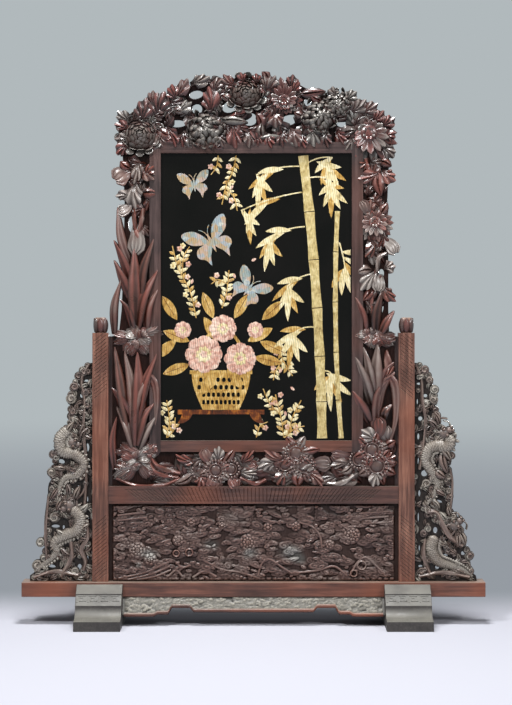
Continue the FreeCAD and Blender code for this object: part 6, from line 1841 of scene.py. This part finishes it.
    def build(self) -> list[Object]:
        """Carves the four boards and sets the fine inlay.

        Returns:
            The new objects.
        """
        self.webs()
        self.foliage()
        self.irises()
        self.flowers()
        made = []
        for board, block in self.blocks.items():
            material = self.paints.carved if board is Board.CREST else self.paints.border
            thing = self.hung(block, material)
            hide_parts(board.value)
            made.append(thing)
        return made + [self.hung(self.blooms, self.paints.carved)] + self.inlaid()

    def dress(self) -> None:
        """Finishes the plain frame, the panel and its inlay."""
        paints, ease, fine = self.paints, self.ease, self.inlay_ease
        for upright in ("frame_{}_stile", "{}_runner", "{}_bead"):
            dress_nodes((upright.format("left"), upright.format("right")), paints.inner, ease)
        dress_nodes(("frame_top_rail",), paints.inner_level, ease)
        dress_nodes(("frame_bottom_rail", "top_bead", "bottom_bead"), paints.level, ease)
        dress_nodes(("lacquer_panel",), paints.lacquer)
        dress_nodes(("bead_screws",), paints.brass)
        dress_nodes(("inlay_bamboo",), paints.culm, fine)
        dress_nodes(("inlay_bone_leaves", "inlay_peony_hearts"), paints.bone, fine)
        dress_nodes(("inlay_shell_leaves", "inlay_basket", "inlay_peony_leaves"), paints.amber, fine)
        dress_nodes(("inlay_stand",), paints.tortoise, fine)
        dress_nodes(("inlay_peonies", "inlay_hearts_and_petals"), paints.pink, fine)
        dress_nodes(("inlay_butterflies",), paints.pearl, fine)


# The stand

LEFT_WING = Web(
    outline=(
        (90, 364), (84, 367), (73, 385), (70, 402), (71, 420), (61, 437), (55, 455), (53, 475), (51, 497),
        (48, 520), (47, 540), (44, 558), (40, 568), (34, 574), (30, 577), (30, 582), (91, 582), (91, 364),
    ),
    holes=(
        (87, 448, 2.5, 5, 0), (61, 462, 4, 3, 20), (78, 488, 2, 3, 0), (87, 500, 1.5, 4, 0),
        (55, 527, 5, 2.5, 0), (63, 528, 2, 3, 0), (48, 543, 2, 3, 0), (72, 543, 2, 3.5, 0),
        (51, 567, 5, 2.5, 10), (79, 568, 3, 4, 0), (81, 396, 2.5, 3, 0), (86, 381, 3, 2, 0),
        (88, 465, 1.6, 5, 0), (87, 483, 1.5, 4, 0), (88, 522, 1.6, 5, 0), (87, 559, 1.6, 4, 0),
        (49.5, 490, 1.5, 7, 3),
    ),
)
RIGHT_WING = Web(
    outline=(
        (417, 364), (424, 367), (432, 385), (435, 402), (437, 420), (445, 436), (449, 456), (449, 475),
        (449, 495), (451, 514), (455, 528), (463, 543), (470, 556), (468, 566), (472, 574), (476, 577),
        (477, 582), (416, 582), (416, 364),
    ),
    holes=(
        (420, 384, 3.5, 2, 0), (426, 396, 3, 2.5, 0), (421, 419, 3, 3, 0), (419, 437, 2, 4, 0),
        (444, 457, 4, 3, 0), (425, 474, 4, 4, 40), (420, 494, 2, 4, 0), (440, 502, 4, 2, 20),
        (448, 506, 2, 4, 0), (436, 531, 3, 4, 0), (423, 533, 3, 3, 0), (446, 556, 4, 2, 0),
        (464, 554, 3, 3, 0), (421, 567, 3, 2, 0), (438, 568, 3, 3, 0), (419, 462, 1.6, 5, 0),
        (419, 518, 1.6, 6, 0), (420, 549, 1.6, 4, 0), (418, 402, 1.5, 4, 0),
    ),
)
WINGS = {"left": LEFT_WING, "right": RIGHT_WING}
# Dragon bodies: points from neck to tail, then width in pixels
DRAGONS = {
    "left": (
        (((69, 428), (60, 439), (62, 451), (75, 455), (83, 464), (77, 475), (64, 479), (59, 490),
          (56, 503)), 13),
        (((70, 508), (79, 517), (77, 530), (65, 536), (54, 543), (56, 553), (46, 563), (34, 572)), 13),
    ),
    "right": (
        (((446, 436), (451, 442), (446, 447), (437, 446), (429, 450), (426, 461), (432, 472), (438, 484),
          (434, 496), (426, 506)), 13),
        (((435, 536), (432, 549), (438, 561), (451, 566), (463, 570), (473, 577)), 13),
    ),
}
BODY_LAY = Lay(0.030, 0.012, 0.012, ripple=0.002)
FIN_LAY = Lay(0.009, 0.013, 0.017)
# Dragon heads: centre x, y, radius in pixels, and the way the snout points in degrees
HEADS = {"left": ((72, 443, 7, 20), (69, 506, 8, 150)), "right": ((444, 434, 8, -30), (455, 526, 8, -40))}
# A head's skull, snout and nostrils: place along and beside the snout and radius, in head radii, then
# height and base in metres and tone
SKULL = (
    (0.0, 0.0, 0.80, 0.014, 0.010, 0.2), (0.85, 0.0, 0.50, 0.013, 0.010, 0.3),
    (1.25, 0.22, 0.24, 0.013, 0.011, 0.3), (1.25, -0.22, 0.24, 0.013, 0.011, 0.3),
)
# Its brow and eye on one side: place along and beside the snout and radius, in head radii, height and tone
EYE = ((0.30, 0.42, 0.28, 0.018, 0.4), (0.42, 0.42, 0.15, 0.0225, 0.1))
# Its lid, horn and whisker on one side: points along each and width, in head radii, and how each lies
HEAD_LINES = (
    (Motif.LEAF, ((0.0, 0.5), (0.35, 0.75), (0.7, 0.55)), 0.35, Lay(0.008, 0.020, 0.018)),
    (Motif.STEM, ((-0.2, 0.4), (-0.9, 0.65), (-1.5, 0.5)), 0.24, Lay(0.006, 0.018, 0.014)),
    (Motif.STEM, ((1.2, 0.3), (1.3, 0.9), (0.8, 1.4)), 0.16, Lay(0.005, 0.018, 0.014)),
)
# Its mane's locks: each point's place along the snout, its step from lock to lock, and its place beside it
MANE = ((-0.3, 0.25, 0.7), (-0.8, 0.3, 1.2), (-1.3, 0.4, 1.5))
MANE_LAY = Lay(0.009, 0.014, 0.016)
# Cloud scrolls: centre x, y and radius in pixels
CLOUDS = {
    "left": (
        (84, 372, 5), (74, 387, 6), (71, 399, 7), (72, 412, 5), (85, 393, 6), (87, 406, 4), (53, 455, 6),
        (51, 473, 6), (40, 543, 6), (37, 566, 7), (54, 518, 7), (87, 432, 4), (72, 420, 5), (85, 484, 4),
        (74, 572, 6), (60, 574, 5),
    ),
    "right": (
        (425, 370, 6), (430, 380, 5), (435, 390, 6), (434, 400, 6), (426, 404, 6), (437, 416, 6),
        (452, 456, 5), (427, 484, 6), (449, 551, 6), (454, 517, 5), (461, 531, 5), (471, 556, 5),
        (471, 572, 5), (424, 534, 5), (451, 497, 4), (422, 572, 5),
    ),
}
# Staffs, tendrils and waves: points along the path, then width in pixels
TENDRILS = {
    "left": (
        (((89, 364), (81, 380), (84, 400), (83, 430), (86, 470), (84, 510)), 5),
        (((46, 562), (45, 530), (48, 497)), 5), (((60, 577), (70, 560), (71, 542)), 8),
        (((33, 578), (55, 572), (78, 576)), 7), (((67, 427), (62, 432), (57, 439)), 3),
        (((86, 520), (87, 538), (81, 550), (85, 562), (83, 571)), 7),
        (((76, 500), (84, 490), (86, 470)), 4),
    ),
    "right": (
        (((416, 364), (422, 380), (423, 402), (426, 420), (424, 445), (420, 470)), 5),
        (((451, 470), (453, 485), (451, 512)), 4), (((426, 540), (424, 556), (430, 574)), 7),
        (((419, 577), (445, 573), (470, 578)), 7), (((438, 418), (448, 419)), 3),
        (((446, 428), (456, 435)), 3), (((428, 512), (437, 513), (443, 525), (451, 538), (463, 547)), 9),
    ),
}
# Flames of mane and claw: foot x, y, tip x, y and width in pixels
FLAMES = {
    "left": (
        (80, 440, 88, 428, 5), (78, 436, 84, 422, 5), (66, 436, 74, 422, 6), (66, 470, 53, 468, 5),
        (58, 488, 50, 500, 5), (62, 500, 56, 512, 5), (74, 500, 80, 486, 6), (68, 498, 66, 484, 6),
        (78, 512, 88, 504, 6), (66, 536, 56, 530, 5), (60, 548, 70, 556, 5), (80, 530, 89, 524, 5),
    ),
    "right": (
        (438, 430, 428, 420, 6), (440, 426, 434, 412, 5), (440, 446, 452, 462, 7), (442, 452, 448, 474, 8),
        (436, 470, 446, 478, 8), (436, 490, 446, 496, 5), (432, 500, 440, 510, 5), (448, 522, 440, 512, 6),
        (452, 518, 448, 506, 5), (460, 532, 466, 546, 7), (458, 534, 458, 548, 6), (438, 548, 428, 540, 5),
    ),
}
# The lower panel's relief in pixels: flowers (centre x, y, radius, petals, rows), raised lines, rings and
# dusty patches (centre x, y, radius)
PANEL_BLOOMS = (
    (248, 543, 9, 9, 3), (137, 551, 9, 8, 3), (352, 536, 9, 9, 3), (191, 523, 5, 6, 2), (296, 527, 5, 6, 2),
    (222, 526, 4, 6, 2), (268, 528, 5, 6, 2), (330, 545, 5, 7, 2), (150, 560, 7, 7, 2), (178, 541, 6, 7, 2),
)
PANEL_LINES = (
    ((300, 523), (312, 527), (320, 536), (322, 548)), ((205, 562), (222, 570), (240, 573), (259, 579)),
    ((119, 579), (145, 573), (168, 563)), ((124, 581), (150, 575), (169, 567)),
    ((133, 581), (155, 577), (170, 571)), ((258, 576), (262, 564), (270, 560), (282, 568), (292, 574)),
    ((292, 574), (318, 571), (334, 567), (347, 576)),
    ((350, 576), (358, 563), (366, 558), (376, 566), (386, 577)), ((176, 563), (182, 568), (190, 566)),
    ((168, 577), (176, 571), (182, 577)), ((193, 578), (204, 572), (216, 577)), ((118, 516), (142, 513)),
    ((118, 521), (146, 518)), ((360, 514), (388, 512)), ((362, 519), (388, 517)), ((364, 524), (386, 523)),
)
PANEL_RINGS = ((362, 566, 4.2), (354, 574, 3.2), (189, 553, 3.5), (176, 554, 3.0))
PANEL_DUST = ((212, 545, 9), (292, 553, 11), (150, 555, 9), (138, 566, 5), (250, 553, 8), (300, 560, 7))
# Distances from the aprons' middle, and the depth of their sloping face there, in metres
APRON_DEPTHS = (
    (0.0, 0.203, 0.215, 0.277, 0.289, 0.325, 0.337, 0.443),
    (0.050, 0.050, 0.034, 0.034, 0.058, 0.058, 0.066, 0.066),
)
# Key fret of the feet: a unit's line in millimetres, across and down the band
FRET = ((2, 28), (2, 4), (31, 4), (31, 24), (11, 24), (11, 12), (22, 12), (22, 18))


@dataclass
class Stand:
    """The stand: feet, rails, posts, finials, carved wings, lower panel and aprons; sizes in metres."""

    carver: Carver
    paints: Paints
    web: float = 0.014
    web_bevel: float = 0.003
    ease: float = 0.0020
    post_x: float = 0.521
    panel_half: float = 0.494
    panel_low: float = 0.144
    panel_high: float = 0.409
    panel_ground: float = 0.010
    panel_relief: float = 0.010
    panel_back: float = 0.011
    apron_half: float = 0.436
    apron_front: float = 0.044
    apron_top: float = 0.095
    apron_slope: float = math.atan2(40, 66)
    apron_relief: float = 0.004
    apron_sunk: float = 0.006
    lip_half: float = 0.438
    lip_radius: float = 0.0065
    sepal_base: float = 0.992
    sepal_reach: float = 0.0225
    band_y: float = 0.100
    band_z: float = 0.108

    def wing(self, side: str) -> list[Object]:
        """Carves one wing.

        Args:
            side: left or right.

        Returns:
            The wing's ground, and its dragons and clouds.
        """
        carver, block, beasts = self.carver, Block(f"{side}_wing_carving"), Block(f"{side}_wing_dragons")
        web = WINGS[side]
        # The web's faces are kept dark with painted shade, as the ground behind the dragons and clouds
        block.add(pierced_plate(web, self.web, self.web_bevel, face=0.38, wall=0.2), 0.3, both=False)
        inner = 97 if side == "left" else 410
        filled = tuple((inner if abs(x - inner) < 8 else x, y) for x, y in web.outline)
        motifs = (Motif.LEAF, Motif.SCROLL, Motif.FAN, Motif.LEAF)
        carver.ground(block, Ground(Web(filled, web.holes), motifs, 4.5, 9.0))
        for i, pixel in enumerate(smooth_rim(web.outline[:-4], 7.0)):
            spot = Spot(block, pixel, 0.004 + 0.003 * (i % 2))
            carver.scroll(spot, 3.8 + 1.0 * (i % 3), 1 if i % 2 else -1)
        for path, width in TENDRILS[side]:
            lay = Lay(width * PIXEL * 0.7, 0.011, 0.012, 0.002)
            carver.run(beasts, Motif.STEM, path, width * 0.7, lay, tone=0.4)
        for i, (x, y, r) in enumerate(CLOUDS[side]):
            carver.scroll(Spot(beasts, (x, y)), r, 1 if i % 2 else -1)
        for row in FLAMES[side]:
            carver.leaf(beasts, row)
        for path, width in DRAGONS[side]:
            line = smooth_path(path, 90)
            body = along_path(carver.stock.cut(Motif.BODY), line, width * PIXEL, BODY_LAY)
            body.wear_and_painted_shading = body.wear_and_painted_shading * 0.92
            beasts.add(body, 0.72)
            self.fins(beasts, line, width)
        for x, y, r, way in HEADS[side]:
            self.head(beasts, (x, y), r, way)
        thing = self.stood(block, self.paints.wing)
        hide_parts(f"{side}_wing")
        return [thing, self.stood(beasts, self.paints.wing)]

    def fins(self, block: Block, line: Array, width: float) -> None:
        """Sets a row of small fins along a dragon's back.

        Args:
            block: where they go.
            line: X and Z of points along the body.
            width: width of the body in pixels.
        """
        fin = self.carver.stock.cut(Motif.PETAL)
        way = np.gradient(line, axis=0)
        way /= np.linalg.norm(way, axis=1)[:, None]
        for i in range(4, len(line) - 8, 3):
            half = 0.5 * width * PIXEL * (1 - 0.8 * (i / len(line)) ** 2.2)
            out = np.array([-way[i, 1], way[i, 0]])
            root = line[i] + out * half * 0.72
            tip = line[i] + out * half * 1.38 + way[i] * 0.006
            block.add(along_path(fin, np.linspace(root, tip, 6), 0.011, FIN_LAY), 0.75)

    def head(self, block: Block, centre: Pixel, radius: float, way: float) -> None:
        """Carves a dragon's head: skull, snout, nostrils, brows, eyes, horns, whiskers and mane.

        Args:
            block: where it goes.
            centre: pixel of the skull.
            radius: radius in pixels.
            way: direction of the snout in degrees, downward positive.
        """
        carver = self.carver

        def at(along: float, side: float) -> Pixel:
            """A pixel of the head, along the snout and to its side, in radii."""
            x, y = spun(along, side, math.radians(way))
            return centre[0] + radius * x, centre[1] + radius * y

        for along, side, share, height, lift, tone in SKULL:
            carver.knob(Spot(block, at(along, side), lift), radius * share, height, tone)
        for side in (-1, 1):
            for along, across, share, height, tone in EYE:
                carver.knob(Spot(block, at(along, across * side), 0.011), radius * share, height, tone)
            for motif, path, share, lay in HEAD_LINES:
                line = [at(along, across * side) for along, across in path]
                carver.run(block, motif, line, radius * share, lay)
            for k in range(4):
                lock = [at(start + step * k, across * side) for start, step, across in MANE]
                carver.run(block, Motif.LEAF, lock, radius * 0.42, MANE_LAY)

    def build(self) -> list[Object]:
        """Carves the wings, the lower panel, the aprons' relief, the finials' sepals and the feet's fret.

        Returns:
            The new objects.
        """
        made = [*self.wing("left"), *self.wing("right"), self.lower_panel(), *self.aprons()]
        return made + [self.sepals("left", -self.post_x), self.sepals("right", self.post_x), self.fret()]

    def stood(self, block: Block, material: Material, angle: float = 50.0) -> Object:
        """Ends a block as a rosewood object that rides on the stand.

        Args:
            block: the block.
            material: its finish.
            angle: edges sharper than this stay crisp, in degrees.

        Returns:
            The object.
        """
        thing = block.finished(angle)
        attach(thing, "stand")
        dressed(thing, material)
        return thing

    def lower_panel(self) -> Object:
        """Carves the lower panel: clouds, flowers, hills and coins in low relief on its front.

        Returns:
            The panel's object.
        """
        half, low, high = self.panel_half, self.panel_low, self.panel_high
        carving = Relief(np.linspace(-half, half, 471), np.linspace(low, high, 127), 5)
        carving.clouds(620, (0.014, 0.030), (0.007, 0.014), (0.30, 0.70), 0.4)
        carving.clouds(260, (0.006, 0.015), (0.004, 0.008), (0.55, 0.80), 0.7)
        for path in PANEL_LINES:
            carving.ridge(path, 0.0046, 0.62)
        for x, y, r, petals, rows in PANEL_BLOOMS:
            carving.bloom(*place(x, y), r * PIXEL, petals, rows, 1.0)
        for x, y, r in PANEL_RINGS:
            carving.ridge([polar((x, y), r, turn) for turn in np.linspace(0, 2 * np.pi, 13)], 0.003, 0.9)
        x, z = carving.x, carving.z
        carving.raise_to(0.5 * np.abs(np.sin(x * 2 * np.pi / 0.042)) * (z < low + 0.012))
        rim = np.minimum.reduce([half - 0.014 - np.abs(x), high - 0.006 - z, z - low - 0.002]) / 0.004
        carving.height *= np.clip(rim, 0, 1)
        front = np.stack([x, -self.panel_ground - self.panel_relief * carving.height, z], 2)
        rear = np.stack([x, np.full(x.shape, self.panel_back), z], 2)
        tone = 0.42 + 0.16 * np.sin(19 * x + 3) * np.sin(41 * z + 7 * x)
        for pixel_x, pixel_y, r in PANEL_DUST:
            dust_x, dust_z = place(pixel_x, pixel_y)
            tone += 0.55 * np.exp(-((x - dust_x) ** 2 + 2 * (z - dust_z) ** 2) / (r * PIXEL) ** 2)
        block, shape = Block("lower_panel_carving"), carving.shape(front, rear)
        plain = np.full(len(shape.points) - tone.size, 0.4)
        block.add(shape, np.concatenate([tone.ravel(), plain]), both=False)
        thing = self.stood(block, self.paints.relief)
        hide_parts("lower_panel")
        return thing

    def aprons(self) -> list[Object]:
        """Carves the vine scrolls on the two sloping aprons and the round lip along their lower edges.

        Returns:
            The relief and the lips.
        """
        half, across, down = self.apron_half, math.sin(self.apron_slope), math.cos(self.apron_slope)
        carving = Relief(np.linspace(-half, half, 361), np.linspace(0, 1, 19), 9)
        carving.z = carving.z * np.interp(np.abs(carving.x), *APRON_DEPTHS)
        carving.clouds(260, (0.014, 0.030), (0.005, 0.010), (0.3, 0.6), 0.4)
        carving.clouds(420, (0.006, 0.016), (0.003, 0.006), (0.4, 1.0), 0.6)

        def laid(rise: Array | float) -> Array:
            """The carving's points on the sloping face, lowest row first.

            Args:
                rise: height over the face.

            Returns:
                The points by row and column.
            """
            y = -self.apron_front - carving.z * across - rise * down
            z = self.apron_top - carving.z * down + rise * across
            return np.stack([carving.x, y, z], 2)[::-1]

        block, edge, grid = Block("apron_carving"), Block("apron_lip"), carving.x
        shape = carving.shape(laid(self.apron_relief * (carving.height - 0.1)), laid(-self.apron_sunk))
        face, walls = shape.wear_and_painted_shading[:grid.size].reshape(grid.shape), shape.wear_and_painted_shading[grid.size:]
        shape.wear_and_painted_shading = np.concatenate([face[::-1].ravel(), walls])
        block.add(shape, 0.6)
        lip = tube(146, 10, stem_radius)
        along = np.linspace(-self.lip_half, self.lip_half, 147)[:, None]
        reach = np.interp(np.abs(along), *APRON_DEPTHS)
        turn = np.arange(10) * 2 * np.pi / 10
        y = -self.apron_front - reach * across + self.lip_radius * np.cos(turn)
        z = self.apron_top - reach * down + 0.0005 + self.lip_radius * np.sin(turn)
        points = np.stack([np.broadcast_to(along, y.shape), y, z], 2).reshape(-1, 3)
        edge.add(lip.moved(points, flip=True), 0.1)
        return [self.stood(block, self.paints.apron), self.stood(edge, self.paints.base)]

    def sepals(self, side: str, x: float) -> Object:
        """Carves the sepals round a finial's bud; none faces the framed panel, whose runner passes there.

        Args:
            side: left or right.
            x: X of the post's middle.

        Returns:
            The sepals' object.
        """
        def surface(u: Array, v: Array) -> tuple:
            """A rounded sepal that hugs the bud and turns out at its lip."""
            wide = 0.0105 * (0.72 + 0.28 * np.sin(np.pi * u)) * blunt(u, 5, 0.05)
            return 0.048 * u, v * wide, 0.0035 * np.sin(np.pi * u) - 0.0030 * v ** 2 + 0.0015 * u ** 4

        sepal, block = sheet(8, 6, surface, 0.004, 0.3), Block(f"{side}_finial_sepals")
        up, across, out = sepal.points.T
        inner = 0 if x < 0 else 4
        for k in (k for k in range(8) if k != inner):
            reach = self.sepal_reach + out + 0.0015 * (k % 2)
            right, back = spun(reach, across, k * math.pi / 4)
            points = np.stack([x + right, back, self.sepal_base + up], 1)
            block.add(sepal.moved(points, flip=True), 0.45 + 0.1 * (k % 3), both=False)
        return self.stood(block, self.paints.carved)

    def fret(self) -> Object:
        """Raises the key fret on the sloping bands of the feet.

        Returns:
            The fret's object.
        """
        block, half = Block("foot_fret"), 1.6
        down, out = (np.array(way) / math.hypot(28, 32) for way in ((28, -32), (32, 28)))
        for middle, unit in product((-self.post_x, self.post_x), range(4)):
            left = middle + 0.037 * (unit - 2)
            for (x0, d0), (x1, d1) in zip(FRET, FRET[1:]):
                bar = box((min(x0, x1) - half, min(d0, d1) - half, -1.5),
                          (max(x0, x1) + half, max(d0, d1) + half, 1.3))
                x, d, h = bar.points.T / 1000
                spot = np.outer(d, down) + np.outer(h, out)
                points = np.stack([left + x, -self.band_y - spot[:, 0], self.band_z + spot[:, 1]], 1)
                block.add(bar.moved(points), 0.6)
        return self.stood(block, self.paints.foot, 30.0)

    def dress(self) -> None:
        """Finishes the plain members."""
        paints = self.paints
        dress_nodes(("left_foot", "right_foot"), paints.foot, self.ease)
        dress_nodes(("base_rail",), paints.base, self.ease)
        dress_nodes(("left_post", "right_post", "left_finial", "right_finial"), paints.upright)
        dress_nodes(("middle_rail",), paints.level)
        dress_nodes(("front_apron", "rear_apron"), paints.foot)


# The studio

@dataclass(frozen=True)
class Lamp:
    """A lamp: its place, aim, size in metres and power in watts; a cone in degrees makes it a spot."""

    name: str
    spot: tuple[float, float, float]
    aim: tuple[float, float, float]
    size: float
    power: float
    cone: float = 0.0

    def hang(self) -> None:
        """Adds the lamp to the scene."""
        data = bpy.data.lights.new(self.name, "SPOT" if self.cone else "AREA")
        data.energy = self.power
        if self.cone:
            data.shadow_soft_size, data.spot_size, data.spot_blend = self.size, math.radians(self.cone), 0.5
        else:
            data.size = self.size
        thing = bpy.data.objects.new(self.name, data)
        thing.location = self.spot
        way = np.array(self.aim) - np.array(self.spot)
        tilt = math.acos(-way[2] / np.linalg.norm(way))
        thing.rotation_euler = (tilt, 0, math.atan2(way[1], way[0]) - math.pi / 2)
        bpy.context.scene.collection.objects.link(thing)


# Soft lamps in front and above, and one behind whose cone keeps off the floor
LAMPS = (
    Lamp("key", (-2.4, -4.0, 4.8), (0, 0, 0.9), 0.9, 240.0),
    Lamp("fill", (3.2, -4.2, 3.4), (0, 0, 0.9), 1.3, 130.0),
    Lamp("top", (0.0, -0.9, 4.8), (0, 0, 1.0), 1.0, 260.0),
    Lamp("rear", (1.5, 4.0, 1.5), (0, 0, 1.15), 0.4, 700.0, cone=26.0),
)


@dataclass
class Studio:
    """A pale floor that fades into a grey wall, soft lamps and the camera at the photograph's place."""

    eye: tuple[float, float, float] = (0.0, -7.130, EYE_HEIGHT)
    focal_pixels: float = 2088.0
    sensor: float = 36.0
    floor_size: float = 160.0
    floor_pale: str = "#b4b5be"
    wall: str = "#b1b9bc"
    # The wall's grey with painted shade, low down near the object
    wall_low: str = "#959ba2"
    surround: str = "#c8ccd0"
    surround_strength: float = 0.20

    def camera(self) -> None:
        """Sets the camera level at eye height, shifted to the photograph's framing."""
        data = bpy.data.cameras.new("camera")
        data.sensor_fit, data.sensor_width, data.sensor_height = "AUTO", self.sensor, self.sensor
        data.lens = self.focal_pixels * self.sensor / max(IMAGE)
        data.shift_x = (IMAGE[0] / 2 - MIDDLE_PIXEL) / max(IMAGE)
        data.shift_y = (EYE_PIXEL - IMAGE[1] / 2) / max(IMAGE)
        thing = bpy.data.objects.new("camera", data)
        thing.location = self.eye
        thing.rotation_euler = (math.radians(90), 0, 0)
        bpy.context.scene.collection.objects.link(thing)
        bpy.context.scene.camera = thing

    def floor(self) -> None:
        """Lays the floor: pale round the object, and the wall's grey behind it, with painted shade that makes
        it darker low down.
        """
        deselect()
        bpy.ops.mesh.primitive_plane_add(size=self.floor_size)
        thing = bpy.context.object
        thing.name = "floor"
        coat = Coat("painted_floor")
        tree, spot = coat.tree, coat.spot
        y = put(tree, "SeparateXYZ", (spot,), "Y")
        away = put(tree, "VectorMath", (spot,), "Value", operation="LENGTH")
        out = put(tree, "MapRange", (away, 1.6, 3.2), interpolation_type="SMOOTHSTEP")
        back = put(tree, "MapRange", (y, 0.10, 0.85), interpolation_type="SMOOTHSTEP")
        far = put(tree, "Math", (out, back), operation="MAXIMUM")
        high = put(tree, "MapRange", (away, 3.0, 13.0), interpolation_type="SMOOTHSTEP")
        low, pale, black = linear(self.wall_low), linear(self.floor_pale), (0, 0, 0, 1)
        wall = put(tree, "Mix", {0: high, 6: low, 7: linear(self.wall)}, 2, data_type="RGBA")
        colour = put(tree, "Mix", {0: far, 6: pale, 7: black}, 2, data_type="RGBA")
        coat.shader.inputs["Specular IOR Level"].default_value = 0.0
        coat.shader.inputs["Roughness"].default_value = 0.9
        dressed(thing, coat.wired({"Base Color": colour, "Emission Strength": far, "Emission Color": wall}))

    def backdrop(self) -> None:
        """Sets a dim grey surround, which the camera, gloss and clear pieces see as the wall."""
        world = bpy.data.worlds.new("surround")
        bpy.context.scene.world = world
        world.use_nodes = True
        tree = world.node_tree
        light = tree.nodes["Background"]
        light.inputs["Color"].default_value = linear(self.surround)
        light.inputs["Strength"].default_value = self.surround_strength
        seen = put(tree, "Background", {"Color": linear(self.wall), "Strength": 1.0})
        straight = put(tree, "LightPath", out="Is Camera Ray")
        rays = straight.node.outputs
        for ray in ("Is Glossy Ray", "Is Transmission Ray"):
            straight = put(tree, "Math", (straight, rays[ray]), operation="MAXIMUM")
        both = put(tree, "MixShader", (straight, light.outputs[0], seen))
        tree.links.new(both, tree.nodes["World Output"].inputs["Surface"])

    def build(self) -> None:
        """Sets up the camera, floor, lamps and backdrop."""
        self.camera()
        self.floor()
        for lamp in LAMPS:
            lamp.hang()
        self.backdrop()
        bpy.context.scene.view_settings.view_transform = "Standard"


def main() -> None:
    """Builds the screen's sub-assemblies and the studio in order."""
    logging.basicConfig(level=logging.INFO, format="%(name)s: %(message)s")
    paints = Paints()
    stock = Stock()
    panel = FramedPanel(Carver(stock, 11), paints)
    stand = Stand(Carver(stock, 23), paints)
    for part in (panel, stand):
        for thing in part.build():
            LOG.info("%s: %d faces", thing.name, len(thing.data.polygons))
        part.dress()
    Studio().build()


if __name__ == "__main__":
    main()
